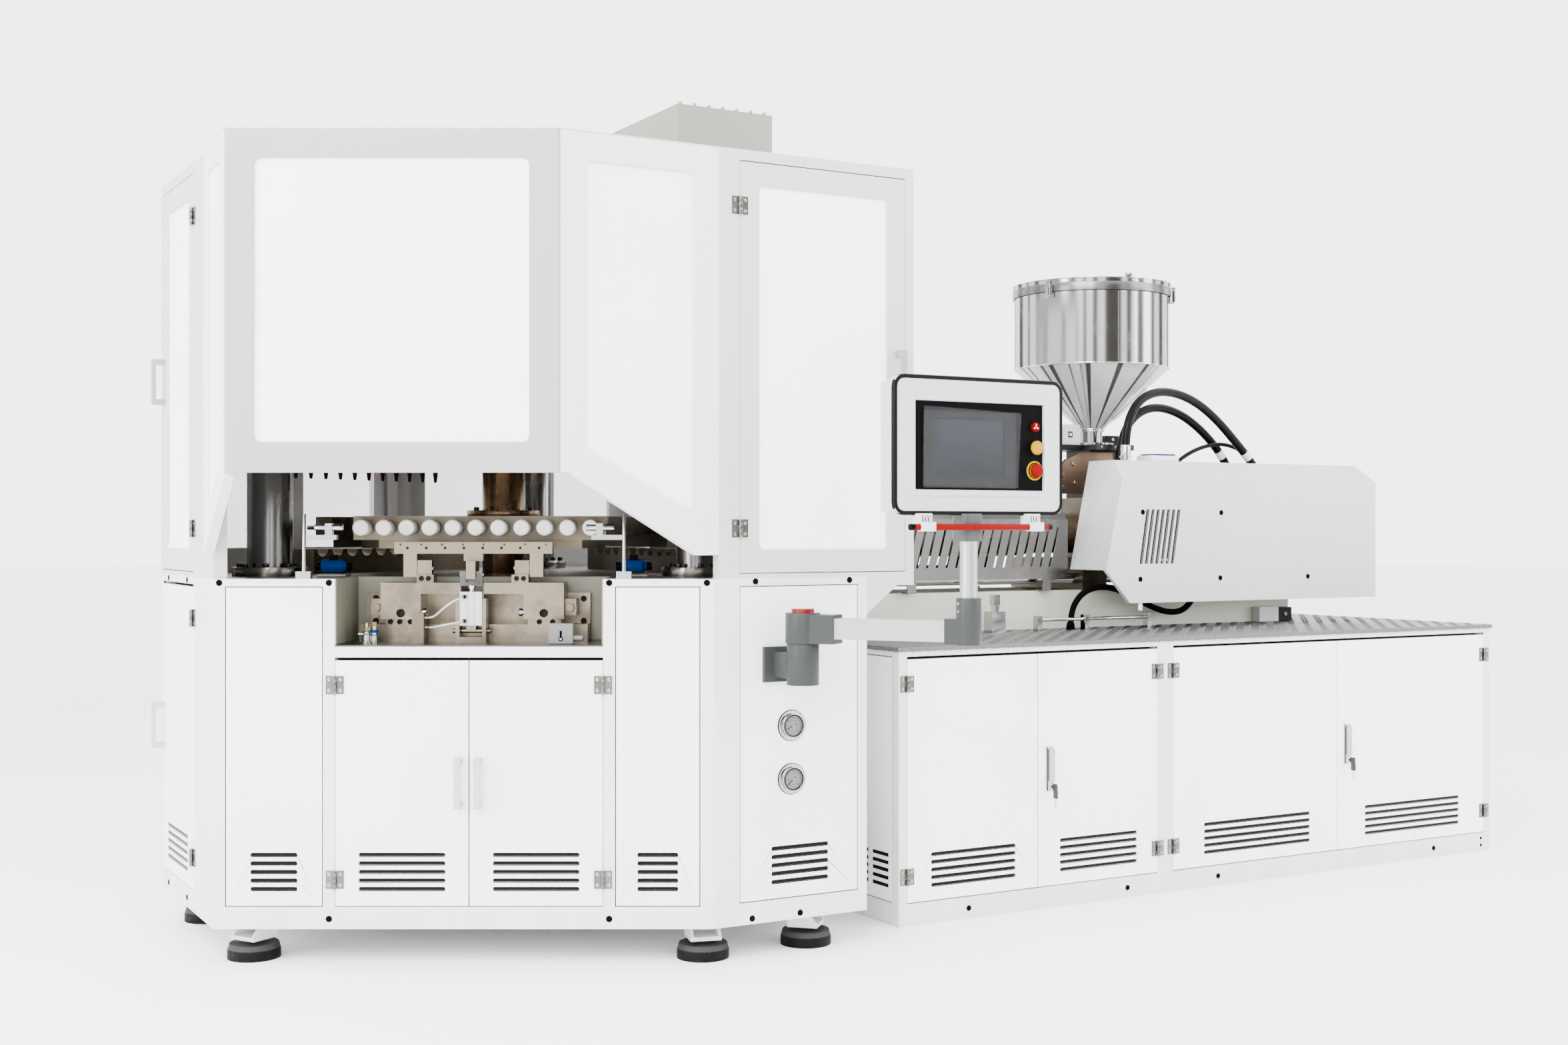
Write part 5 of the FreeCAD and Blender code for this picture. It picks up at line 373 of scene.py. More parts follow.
def oiled_black(paint, tint):
    """Oiled black steel with worn spots."""
    worn = paint.noise(22, 5, rough=0.65)
    paint.base = paint.mix(worn.between(0.62, 0.8) * 0.5, tint, shade(tint, 4.0))
    paint.gloss, paint.normal = 0.36 + worn * 0.25, paint.bump(paint.noise(260, 3), 0.0001)
    return paint


def ground(paint, tint, rough=0.3, stretch=(1, 1, 28), stain=(0.20, 0.165, 0.115), oil=0.25):
    """Ground steel: fine lines one way, clouds of oil, dull spots."""
    lines, fine = paint.noise(150, 3, stretch), paint.noise(600, 2, stretch)
    clouds, spots = paint.noise(7, 4, rough=0.6), paint.noise(38, 4, rough=0.7)
    paint.base = paint.mix(lines * 0.35, tint, shade(tint, 0.72))
    paint.over(clouds.between(0.42, 0.64) * oil, stain)
    paint.over(spots.between(0.6, 0.85) * 0.3, shade(tint, 0.55))
    paint.gloss = rough + (lines - 0.5) * 0.14 + clouds.between(0.45, 0.8) * 0.14
    paint.normal = paint.bump(fine, 0.00004)
    return paint


# ---------------------------------------------------------------- finishes
def painted(name, tint, *how, **more):
    """Powder coat all over."""
    return powder(Paint(name), tint, *how, **more).done(coat_weight=0.12, coat_roughness=0.22)


def ground_steel(name, tint, *how, **more):
    """Ground steel all over."""
    return ground(Paint(name), tint, *how, **more).done(1.0)


def frosted(name, tint):
    """Fixed panes: nearly white in front, more see-through on the far side."""
    paint = cloudy(Paint(name), tint)
    far = paint.local(PLAN)[1] > FAR_SIDE
    return paint.done(0.0, 0.96 - far * 0.6, coat_weight=0.4, coat_roughness=0.08)


def door_coat(name, tint, tints, row):
    """A door: powder coat, its nickel hinge leaves, painted shade on its pulls, and its frosted pane or
    its lock's case.
    """
    face, left, right, low, high, hinge, kind = row
    leaf, stile, rail = 27.5, 66, 71
    paint = powder(Paint(name), tint, dust=0.0 if kind == "glazed" else 0.25)
    u, depth, z = paint.local(face)
    line = left if hinge == "left" else right
    metal = (depth < -0.2) * u.within(line - leaf, line + leaf)
    if kind == "locked":
        metal = metal + (depth < -0.3) * u.within(left + 5, left + 40) * (metal < 0.5)
    paint.over(metal, paint.mix(paint.noise(60, 3), tints.hinge, shade(tints.hinge, 0.6)))
    # Painted shade: what stands proud of the door, its pull, is painted darker, as if shaded.
    paint.over((depth < -1.0) * (metal < 0.5) * 0.7, shade(tint, 0.3))
    paint.gloss = paint.gloss - metal * 0.18
    alpha = 1.0
    if kind == "glazed":
        pane = depth.within(4.0, 13.0) * u.within(left + stile, right - stile)
        pane = pane * z.within(low + rail, high - rail)
        paint.blend(pane, cloudy, shade(tints.pane, 1.1))
        alpha = 1 - pane * 0.05
    return paint.done(metal, alpha, coat_weight=0.12, coat_roughness=0.2)


def hammered(name, tint):
    """Cast and enamelled: round dimples in a glossy coat."""
    paint = Paint(name)
    dimples = paint.node("ShaderNodeTexVoronoi", {}, {"Vector": paint.place, "Scale": 260})
    patches = paint.noise(14, 3)
    paint.base = paint.mix(dimples.between(0.1, 0.6), shade(tint, 1.1), shade(tint, 0.9))
    paint.over(patches.between(0.5, 0.8) * 0.3, shade(tint, 1.25))
    paint.gloss, paint.normal = 0.36 + patches * 0.15, paint.bump(dimples, 0.00025)
    return paint.done(coat_weight=0.02, specular_ior_level=0.12)


def polished(name, tint, rough=0.12, lines=22):
    """Polished or chromed metal: faint smudges and hairlines."""
    paint = Paint(name)
    smudge, hair = paint.noise(11, 4, rough=0.6), paint.noise(90, 2, (1, 1, lines))
    paint.base = paint.mix(smudge.between(0.5, 0.85) * 0.25, tint, shade(tint, 0.7))
    paint.gloss = rough + smudge.between(0.45, 0.8) * 0.1 + (hair - 0.5) * 0.04
    paint.normal = paint.bump(hair, 0.00002)
    return paint.done(1.0)


def rolled_sheet(name, tint):
    """Hopper sheet: long shallow waves that bend its reflections, and a duller cone painted with
    reflections: light and dark streaks.
    """
    paint = Paint(name)
    u, v, z = paint.local(PLAN)
    cone = z.within(CONE_LOW + 1, CONE_HIGH - 1)
    # The cone's colour is painted reflection: light and dark streaks round it, from sines of the angle
    # round the axis and a noise.
    turn = u.maths("ARCTAN2", v, u - HOPPER_X)
    waves = [u.maths("SINE", turn * count + start) for count, start in ((13, 0.7), (29, 0.0), (47, 2.0))]
    streak = (waves[0] + waves[1] + waves[2] + paint.noise(5, 3) * 0.8).between(0.9, 1.9)
    wave, smudge = paint.noise(3.2, 2, (1, 1, 0.16), 0.4), paint.noise(9, 4, rough=0.6)
    paint.base = paint.mix(smudge.between(0.45, 0.8) * 0.25, tint, shade(tint, 0.75))
    paint.over(cone, paint.mix(streak, (0.46, 0.46, 0.45), (0.035, 0.035, 0.034)))
    paint.gloss = 0.13 + smudge.between(0.5, 0.8) * 0.07 + cone * 0.14
    paint.normal = paint.bump(wave, 0.004, 0.6)
    return paint.done(1 - cone * 0.6)


def tread_metal(name, tint):
    """Rolled aluminium, rubbed bright in places."""
    paint = Paint(name)
    rolled, rubbed = paint.noise(70, 3, (14, 1, 1)), paint.noise(3.5, 5, rough=0.62)
    paint.base = paint.mix(rolled * 0.4, tint, shade(tint, 0.8))
    paint.over(rubbed.between(0.5, 0.75) * 0.4, shade(tint, 0.62))
    paint.gloss, paint.normal = 0.3 + rubbed * 0.2, paint.bump(paint.noise(420), 0.00008)
    return paint.done(1.0)


def moulded(name, tint, rough=0.4, grainy=0.0001, scale=520, coat=0.0, shine=0.02):
    """Moulded plastic with a fine grain."""
    paint = Paint(name)
    grain, tone = paint.noise(scale), paint.noise(12, 3)
    paint.base = paint.mix(tone.between(0.4, 0.75), tint, [v * 0.86 + 0.001 for v in tint])
    paint.gloss, paint.normal = rough + (tone - 0.5) * 0.12, paint.bump(grain, grainy)
    return paint.done(coat_weight=coat, coat_roughness=0.08, specular_ior_level=shine)


def clear_plastic(name, tint, alpha=0.5, crease=0.0001, fold=0.0, coat=0.6, shine=0.5):
    """Clear tube or film, creased where it is loose."""
    paint = Paint(name)
    tone, folds = paint.noise(30), paint.noise(7, 4, (1, 1, 1.6), 0.65)
    paint.base = paint.mix(tone, tint, shade(tint, 0.85))
    paint.gloss, paint.normal = 0.12 + tone * 0.08, paint.bump(folds, crease)
    alpha = alpha + tone * 0.1 + folds.between(0.62, 0.7) * fold
    return paint.done(0.0, alpha, coat_weight=coat, specular_ior_level=shine)


def pad_rubber(name, rubber, steel):
    """Levelling pads: rubber below, a pressed steel cap above."""
    paint = Paint(name)
    scuff = paint.noise(40, 4, rough=0.65)
    cap = paint.local(PLAN)[2] > PAD_CAP
    paint.base = paint.mix(scuff.between(0.55, 0.8), rubber, shade(rubber, 12.0))
    paint.over(cap, shade(steel, 0.06))
    paint.gloss, paint.normal = 0.5 + scuff * 0.2, paint.bump(scuff, 0.0003)
    return paint.done(cap * 0.2, specular_ior_level=0.1)


def recess_paint(name, wall, steel):
    """The recess: painted walls and an oily steel tray."""
    paint = powder(Paint(name), wall, 0.5)
    tray = paint.local(PLAN)[2] < TRAY_TOP
    paint.blend(tray, ground, steel, 0.3, (20, 1, 1))
    return paint.done(tray)


def hood_paint(name, tint, light):
    """The hood, with painted light: its front wall painted a little darker than its two wings, as the
    light falls on them.
    """
    paint = powder(Paint(name), tint)
    # Painted light: the wings get a lighter copy of the coat than the front wall.
    paint.over(paint.local(STATION)[1] > HOOD_FRONT, light)
    return paint.done(coat_weight=0.1, coat_roughness=0.22)


def slots(lean, share):
    """1 on the first share of each unit along a slanted row, else 0."""
    return lean.maths("FRACT", lean) < share


def cover_coat(name, tint):
    """The drive cover: smooth coat, with painted shade round its slanted louvres."""
    paint = powder(Paint(name), tint, 0.3, 0.00008)
    u, v, z = paint.local(PLAN)
    lean = (u - LOUVRE_X - (z - LOUVRE_Z) * LOUVRE_SLANT) / LOUVRE_PITCH
    # Painted shade: a band round each louvre slot is painted near black, as the shade inside the slots
    # would look.
    dark = slots(lean, 0.6) * lean.within(0.0, 6.9) * z.within(*LOUVRES) * (v < COVER_FRONT)
    paint.over(dark, (0.002, 0.002, 0.002))
    return paint.done(coat_weight=0.25, coat_roughness=0.22)


def column_steel(name, tint, black):
    """Tie columns: ground rods with black flange screws."""
    paint = ground(Paint(name), tint, 0.22, (1, 1, 0.04))
    u, v, z = paint.local(PLAN)
    near = None
    for turn in (180, -60, 60):
        a = math.radians(turn)
        x, y = COLUMN_REACH * math.cos(a), COLUMN_REACH * math.sin(a)
        away = (u - x) * (u - x) + (v - y) * (v - y)
        near = near.maths("MINIMUM", near, away) if near else away
    screws = (near > COLUMN_RADIUS ** 2) * z.within(*COLUMN_FLANGE)
    paint.over(screws, black)
    return paint.done(1 - screws * 0.6)


def shaft_bronze(name, tint, black):
    """Lifting shaft: turned bronze with streaks of oil and black flange screws."""
    paint = ground(Paint(name), tint, 0.24, (1, 1, 0.04), (0.10, 0.06, 0.03), 0.45)
    u, v, z = paint.local(PLAN)
    screws = (u * u + v * v > SHAFT_RADIUS ** 2) * (z > SHAFT_FLANGE)
    paint.over(screws, black)
    return paint.done(1 - screws * 0.6)


def carriage_steel(name, black, steel):
    """Carriage: oiled black throat on a ground bed."""
    paint = oiled_black(Paint(name), black)
    bed = paint.local(PLAN)[2] < BED_TOP
    paint.blend(bed, ground, steel, 0.34, (20, 1, 1))
    return paint.done(0.35 + bed * 0.65)


def stripper_steel(name, tint, bright):
    """The stripper's mounting: ground blocks with the cylinder's bright barrel between them."""
    paint = ground(Paint(name), tint, 0.3, (1, 1, 12), (0.075, 0.062, 0.046), 0.65)
    u, v, z = (line.within(*edges) for line, edges in zip(paint.local(STATION), CYLINDER))
    barrel = u * v * z
    paint.over(barrel, bright)
    return paint.done(1 - barrel * 0.4)


def arm_paint(name, grey, white, red):
    """The arm: grey cast head and cup, a white square tube between them and a red cap."""
    paint = powder(Paint(name), grey, 0.38)
    s, across, z = paint.local(ARM)
    tube = s.within(*ARM_TUBE)
    cap = (z > ARM_CAP_LOW) * (s * s + across * across < ARM_CAP_RADIUS ** 2)
    patches = paint.noise(9, 3).between(0.4, 0.7)
    paint.over(tube, paint.mix(patches, white, shade(white, 0.94)))
    paint.over(cap, red)
    paint.gloss = paint.gloss - cap * 0.1
    return paint.done(specular_ior_level=0.12)


def post_metal(name, tint, grey):
    """The panel's post: satin aluminium with a grey cast socket at the top."""
    paint = ground(Paint(name), tint, 0.34, (1, 1, 0.05), shade(tint, 0.8), 0.2)
    socket = paint.local(PLAN)[2] > SOCKET_LOW
    paint.over(socket, grey)
    paint.gloss = paint.gloss + socket * 0.1
    return paint.done(1 - socket)


def housing_paint(name, tint):
    """The panel's housing: pale coat, with the joints of its corner pieces."""
    paint = powder(Paint(name), tint, 0.36)
    u, v, z = paint.local(PLAN)
    joints = u.within(610.2, 611.4) + u.within(1056.6, 1057.8)
    joints = joints + z.within(1643.4, 1644.6) + z.within(1395.4, 1396.6)
    paint.over((v < CASE_FRONT) * joints * 0.55, shade(tint, 0.35))
    return paint.done(coat_weight=0.2)


def panel_black(name, tints):
    """The panel's front: black plate, grey screen frame, dark screen with a painted glow, red buzzer,
    yellow ring.
    """
    paint = Paint(name)
    u, v, z = paint.local(PLAN)
    dust, across = paint.noise(60, 3), u - BUTTON_X
    rim = (v < PLATE_FRONT + 0.2) * u.within(*SCREEN_FRAME[0]) * z.within(*SCREEN_FRAME[1])
    screen = rim * u.within(*SCREEN[0]) * z.within(*SCREEN[1]) * (v > PLATE_FRONT - 4.6)
    buzzer, ring = (
        (v < PLATE_FRONT) * (across * across + (z - middle) * (z - middle) < radius ** 2)
        for middle, radius in ((BUZZER_Z, 15.5), (RING_Z, 29.5))
    )
    paint.base = paint.mix(dust * 0.5, tints.plastic, shade(tints.plastic, 1.6))
    paint.over(rim, (0.012, 0.0125, 0.0135))
    # Painted glow: the screen is painted lighter towards its top.
    painted_screen_glow = paint.mix(z.between(1420.0, 1600.0), (0.010, 0.012, 0.0145), (0.018, 0.021, 0.026))
    paint.over(screen, painted_screen_glow)
    paint.over(buzzer, shade(tints.red, 0.6))
    paint.over(ring, tints.yellow)
    paint.gloss = 0.34 + dust * 0.12 - screen * 0.22 - buzzer * 0.15
    paint.normal = paint.bump(paint.noise(500), 0.00004)
    return paint.done(specular_ior_level=0.02)


def bar_red(name, tints):
    """The grab bar: red tube, black end caps, pale clips with dark slots."""
    paint = powder(Paint(name), tints.red, 0.3)
    u, v, z = paint.local(PLAN)
    paint.over((u < BAR_ENDS[0]) + (u > BAR_ENDS[1]), tints.plastic)
    for middle in BAR_CLIPS:
        away = u - middle
        clip = away.within(-CLIP_HALF, CLIP_HALF)
        paint.over(clip, shade(tints.case, 1.25))
        lean = (away + 200.0 + (z - 1310.0) * 0.15) / 9.0
        slot = slots(lean, 0.36) * z.within(1304.0, 1324.0) * away.within(-17.0, 17.0)
        paint.over(clip * slot * (v < CLIP_FRONT), tints.plastic)
    return paint.done(specular_ior_level=0.04)


def key_metal(name, tints):
    """A cabinet key: blue cylinder, black grips, steel blade."""
    paint = Paint(name)
    depth, z = paint.local(BENCH)[1:]
    worn, blade = paint.noise(120, 3), z < KEY_BLADE
    paint.base = paint.mix(depth > KEY_GRIP, tints.plastic, tints.blue)
    paint.over(blade, tints.chrome)
    paint.gloss, paint.normal = 0.28 + worn * 0.15, paint.bump(worn, 0.00005)
    return paint.done(blade)


def dial_paper(name):
    """A pale dial with a faint print grain."""
    paint = Paint(name)
    grain = paint.noise(300)
    paint.base = paint.mix(grain.between(0.4, 0.8), (0.105, 0.105, 0.103), (0.075, 0.075, 0.073))
    paint.gloss = 0.35 + grain * 0.1
    return paint.done(coat_weight=0.05, coat_roughness=0.05)


FINISHES = {}


def make_finishes():
    """Makes every material once, from the settings' colours."""
    tone = settings().colours
    t = SimpleNamespace(**{key: tuple(getattr(tone, key)) for key in MOULDER_PG_colours.__annotations__})
    cream = (0.46, 0.0002)
    smooth = (0.00003, 300)
    FINISHES.update(
        white=painted("White powder coat", t.white, dust=0.25),
        # The hood's wings take a lighter copy of the hood's colour, for painted light.
        hood=hood_paint("Hood powder coat", t.hood, shade(t.hood, 2.25)),
        posts=painted("Post powder coat", shade(t.white, 0.8), dust=0.3),
        frame=painted("Upper frame powder coat", t.frame),
        cover=cover_coat("Drive cover coat", t.cover),
        cream=painted("Cream paint", t.cream, *cream),
        liner=recess_paint("Recess paint", t.liner, (0.055, 0.055, 0.053)),
        grey=hammered("Cast grey", t.grey),
        arm=arm_paint("Arm paint", t.grey, shade(t.white, 0.4), t.red),
        black=oiled_black(Paint("Blackened steel"), t.black).done(specular_ior_level=0.12),
        carriage=carriage_steel("Carriage steel", t.black, shade(t.steel, 0.45)),
        steel=ground_steel("Ground steel", t.steel, 0.32, oil=0.5),
        block=stripper_steel("Stripper steel", t.steel, (0.55, 0.55, 0.53)),
        head=ground_steel("Turret head steel", t.head, 0.42, (14, 14, 1), (0.12, 0.09, 0.055), 0.5),
        column=column_steel("Column steel", t.column, t.black),
        stainless=rolled_sheet("Polished hopper sheet", t.stainless),
        sheet=polished("Brushed guard sheet", shade(t.stainless, 0.42), 0.24, 0.1),
        lever=polished("Lock lever nickel", shade(t.chrome, 0.8), 0.2),
        bezel=polished("Gauge bezel", shade(t.chrome, 0.75), 0.14),
        lid=painted("Roof cover paint", (0.185, 0.185, 0.152), *cream),
        chrome=polished("Hard chrome", t.chrome, 0.08),
        hinge=polished("Hinge nickel", t.hinge, 0.22),
        bronze=shaft_bronze("Bronze shaft", t.bronze, t.black),
        tread=tread_metal("Tread plate metal", t.tread),
        glass=frosted("Frosted pane", t.pane),
        bottle=moulded("Bottle plastic", t.bottle, 0.24, *smooth, 0.3, 0.5),
        rubber=moulded("Black rubber", t.rubber, 0.34, 0.0001, 700, 0.0, 0.08),
        pad=pad_rubber("Pad rubber", t.rubber, t.chrome),
        plastic=moulded("Black plastic", t.plastic, 0.38),
        nozzle=moulded("Dark red nozzle plastic", (0.030, 0.008, 0.007), 0.35),
        panel=panel_black("Panel front", t),
        case=housing_paint("Panel housing paint", t.case),
        bar=bar_red("Grab bar paint", t),
        post=post_metal("Panel post", (0.42, 0.425, 0.43), t.grey),
        yellow=moulded("Yellow plastic", t.yellow, 0.25, *smooth),
        red=moulded("Red plastic", t.red, 0.28, *smooth),
        blue=moulded("Blue plastic", t.blue, 0.3, *smooth),
        clear=clear_plastic("Clear tube", (0.62, 0.66, 0.68)),
        film=clear_plastic("Screen film", (0.10, 0.103, 0.107), 0.1, 0.0012, 0.048, 0.0, 0.12),
        dial=dial_paper("Dial"),
        brass=ground_steel("Brass", (0.42, 0.27, 0.09), 0.28, (1, 1, 8), (0.2, 0.12, 0.04), 0.2),
        band=ground_steel(
            "Band heater steel", (0.30, 0.27, 0.22), 0.35, (20, 1, 1), (0.20, 0.12, 0.06), 0.5
        ),
        key=key_metal("Cabinet key", t),
        stop=painted("Grey stop paint", (0.10, 0.103, 0.10), 0.4),
        tan=ground_steel("Tan plate", (0.15, 0.10, 0.07), 0.4, (1, 1, 10), (0.10, 0.06, 0.04), 0.4),
    )
    for name, row in DOOR_ROWS.items():
        white = shade(t.white, 1.2 if row[0] == BENCH else 1.02)
        tint = t.frame if row[-1] == "glazed" else white
        FINISHES[name] = door_coat(f"Coat of {name}", tint, t, row)


# The solids of each finish; what is not listed is white.
FINISHED_NODES = {
    "pad": "foot_pads", "steel": "deck_plate clamp_platen lower_moulds stripper_bar",
    "liner": "recess_liner", "glass": "window_panes", "hood": "hood_shell", "frame": "upper_frame",
    "lid": "top_box", "posts": "base_frame bench_frame", "hinge": "hinge_leaves",
    "column": "tie_columns", "nozzle": "blow_nozzles", "bronze": "turret_shaft",
    "head": "turret_head", "bottle": "moulded_bottles", "block": "stripper_base",
    "chrome": "stripper_rod adjusting_rod guide_rods", "tread": "tread_plate",
    "lever": "row_sensors lock_lever_1 lock_lever_2", "grey": "inner_drives arm_bracket",
    "cream": "rail_base", "cover": "drive_cover", "carriage": "carriage", "band": "barrel",
    "sheet": "barrel_guard", "stainless": "hopper hopper_lid", "black": "injection_drive",
    "arm": "swing_arm", "post": "panel_tube", "case": "panel_case", "panel": "panel_front",
    "yellow": "stop_button", "red": "emergency_button", "bar": "grab_bar",
    "bezel": "pressure_gauges", "rubber": "hydraulic_hoses", "plastic": "cable_conduit",
    "clear": "air_tubes", "key": "lock_key_1 lock_key_2", **{name: name for name in DOOR_ROWS},
}
# Solids whose edges stay as they are modelled.
UNBROKEN = ("hopper", "moulded_bottles", "panel_tube", "guide_rods", "air_tubes")


# ---------------------------------------------------------------- meshes
def ride(made, body, slot):
    """Puts an object in the scene, on a body."""
    bpy.context.scene.collection.objects.link(made)
    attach(made, body)
    return made


def turns(steps):
    """The angles of a circle's steps."""
    return [2 * math.pi * i / steps for i in range(steps)]


def circle(middle, along, across, radius, steps):
    """Points round a middle, square to a direction."""
    other = along.cross(across)
    return [middle + (across * math.cos(a) + other * math.sin(a)) * radius for a in turns(steps)]


def band(out0, out1, y0, y1):
    """The section of a flat band, as ring() and turned() take it."""
    return [(out0, y0), (out1, y0), (out1, y1), (out0, y1)]


class Shape:
    """A piece's mesh under way, drawn in the millimetres of a place."""

    def __init__(self, place=at):
        self.mesh, self.place, self.look, self.looks = bmesh.new(), place, 0, []

    def use(self, finish):
        """What follows has this finish."""
        if finish not in self.looks:
            self.looks.append(finish)
        self.look = self.looks.index(finish)
        return self

    def face(self, corners):
        """One face with the finish in use."""
        self.mesh.faces.new(corners).material_index = self.look

    def skin(self, rings, close=True):
        """Joins rings of points with quads and fills the two ends."""
        rows = [[self.mesh.verts.new(p) for p in ring] for ring in rings]
        for low, high in zip(rows, rows[1:]):
            for i in range(len(low)):
                j = (i + 1) % len(low)
                self.face((low[i], low[j], high[j], high[i]))
        if close:
            self.face(rows[0][::-1])
            self.face(rows[-1])
        return self

    def block(self, x0, x1, y0, y1, z0, z1, edge=0.8):
        """A block with its edges rounded."""
        c = min(edge, 0.4 * (x1 - x0), 0.4 * (y1 - y0), 0.4 * (z1 - z0))
        rings = []
        for z, cut in ((z0, c), (z0 + c, 0.0), (z1 - c, 0.0), (z1, c)):
            a0, a1, b0, b1 = x0 + cut, x1 - cut, y0 + cut, y1 - cut
            plan = [(a0 + c, b0), (a1 - c, b0), (a1, b0 + c), (a1, b1 - c)]
            plan += [(a1 - c, b1), (a0 + c, b1), (a0, b1 - c), (a0, b0 + c)]
            rings.append([self.place(x, y, z) for x, y in plan])
        return self.skin(rings)

    def turned(self, start, way, profile, steps=24, hollow=False):
        """A turned part: profile gives distances along its way and radii; hollow has no caps."""
        start, along = Vector(start), Vector(way).normalized()
        across = along.orthogonal().normalized()
        rings = []
        for distance, radius in profile:
            ring = circle(start + along * distance, along, across, max(radius, 0.01), steps)
            rings.append([self.place(*point) for point in ring])
        return self.skin(rings + rings[:1], False) if hollow else self.skin(rings)

    def ring(self, x0, x1, z0, z1, radius, section):
        """A band round an upright rectangle: section gives how far out and at what depth."""
        corners = ((x1 - radius, z1 - radius), (x0 + radius, z1 - radius))
        corners += ((x0 + radius, z0 + radius), (x1 - radius, z0 + radius))
        rings = []
        for quarter, (cx, cz) in enumerate(corners):
            for step in range(5):
                a = math.radians(90 * quarter + 22.5 * step)
                cos, sin = math.cos(a), math.sin(a)
                away = [(radius + out, y) for out, y in section]
                rings.append([self.place(cx + far * cos, y, cz + far * sin) for far, y in away])
        return self.skin(rings + rings[:1], False)

    def screw(self, x, y, z, radius, proud=2.0, out=OUT):
        """A socket screw whose head stands proud of a point."""
        rim = 0.18 * radius
        profile = [(0, radius), (proud - rim, radius), (proud, radius - rim)]
        profile += [(proud, 0.52 * radius), (0.35 * proud, 0.45 * radius), (0.35 * proud, 0)]
        return self.turned((x, y, z), out, profile, 16)

    def nut(self, x, y, z, radius, thick):
        """A hexagon nut with a washer under it."""
        washer = 1.5
        self.turned((x, y, z), OUT, [(0, 1.2 * radius), (washer, 1.2 * radius), (washer, 0)])
        profile = [(washer, 0), (washer, radius), (thick - 1, radius), (thick, 0.9 * radius)]
        return self.turned((x, y, z), OUT, profile + [(thick, 0)], 6)

    def hand(self, cx, cz, degrees, near, far, half, y0, y1):
        """A flat radial bar on an upright face: a tick or a needle."""
        cos, sin = math.cos(math.radians(degrees)), math.sin(math.radians(degrees))
        plan = [(near, -half), (far, -half * 0.6), (far, half * 0.6), (near, half)]
        return self.prism([(cx + u * cos - v * sin, cz + u * sin + v * cos) for u, v in plan], y0, y1)

    def prism(self, outline, y0, y1):
        """An upright outline of x and z given a thickness."""
        return self.skin([[self.place(x, y, z) for x, z in outline] for y in (y0, y1)])

    def piece(self, name, body, slot, smooth=35.0):
        """Ends the mesh as an object that rides a body."""
        bmesh.ops.recalc_face_normals(self.mesh, faces=self.mesh.faces[:])
        data = bpy.data.meshes.new(name)
        self.mesh.to_mesh(data)
        self.mesh.free()
        for look in self.looks:
            data.materials.append(FINISHES[look])
        data.polygons.foreach_set("use_smooth", [True] * len(data.polygons))
        data.set_sharp_from_angle(angle=math.radians(smooth))
        return ride(bpy.data.objects.new(name, data), body, slot)


# ---------------------------------------------------------------- cords
HOSES = (
    ("hose_front", "hose", 1.304, (
        (2404, -345, 1549), (2404, -345, 1625), (2425, -340, 1710), (2485, -328, 1785),
        (2590, -306, 1825), (2720, -278, 1828), (2860, -250, 1795), (2990, -226, 1730),
        (3110, -212, 1640), (3208, -206, 1555), (3249, -205, 1491), (3269, -205, 1420),
        (3269, -205, 1340),
    )),
    ("hose_rear", "hose", 1.182, (
        (2500, -190, 1420), (2500, -190, 1500), (2512, -188, 1600), (2545, -184, 1690),
        (2620, -176, 1755), (2730, -166, 1780), (2860, -154, 1755), (2985, -144, 1690),
        (3095, -136, 1600), (3158, -131, 1510), (3186, -128, 1424), (3186, -128, 1340),
    )),
    ("hose_thin", "thin", 0.887, (
        (2745, -165, 1400), (2745, -165, 1458), (2775, -165, 1515), (2860, -166, 1580),
        (2970, -167, 1625), (3090, -167, 1640), (3200, -167, 1605), (3285, -167, 1530),
        (3325, -167, 1430), (3325, -167, 1340),
    )),
)
CONDUIT = (
    (2172, -300, 903), (2172, -300, 965), (2210, -302, 1030), (2280, -304, 1064),
    (2370, -306, 1062), (2470, -307, 1025), (2570, -307, 980), (2665, -306, 955),
    (2745, -303, 965), (2800, -300, 1020), (2830, -298, 1094.7), (2830, -298, 1163.7),
)
AIR_TUBES = (
    ("air_tube_upper", 0.181, (
        (-17, -643, 1083), (-17, -665, 1083), (-28, -684, 1078), (-50, -692, 1066),
        (-74, -684, 1048), (-94, -666, 1032), (-113, -647, 1020), (-135, -647, 1020),
    )),
    ("air_tube_lower", 0.169, (
        (-17, -643, 1010), (-17, -665, 1010), (-28, -684, 1008), (-52, -694, 1004),
        (-78, -686, 999), (-98, -665, 994), (-115, -646, 991), (-135, -646, 991),
    )),
)


def route(name, points, place):
    """The smooth line through a route: one NURBS spline, and the places along it."""
    data = bpy.data.curves.new(name, "CURVE")
    data.dimensions = "3D"
    spline = data.splines.new("NURBS")
    spline.points.add(len(points) - 1)
    for target, point in zip(spline.points, points):
        target.co = (*place(*point), 1.0)
    spline.order_u = 3
    spline.use_endpoint_u = True
    spline.resolution_u = 14
    bare = bpy.data.objects.new(name + "_line", data)
    mesh = bpy.data.meshes.new_from_object(bare)
    line = [v.co.copy() for v in mesh.vertices]
    bpy.data.objects.remove(bare)
    bpy.data.meshes.remove(mesh)
    return data, line


def line_length(line):
    """Length of a line of points."""
    return sum((b - a).length for a, b in zip(line, line[1:]))


def place_on(line, distance):
    """The point and direction at a distance along a line, both ways past its ends."""
    for a, b in zip(line, line[1:]):
        run = (b - a).length
        if distance <= run or b is line[-1]:
            return a + (b - a) * (distance / run), (b - a).normalized()
        distance -= run


def sleeve(shape, line, profile, steps=20):
    """A turned part along a line: profile gives distances along it and radii, in metres."""
    rings, across = [], None
    for distance, radius in profile:
        point, along = place_on(line, distance)
        across = across - along * across.dot(along) if across else along.orthogonal()
        across.normalize()
        rings.append(circle(point, along, across, radius, steps))
    return shape.skin(rings)


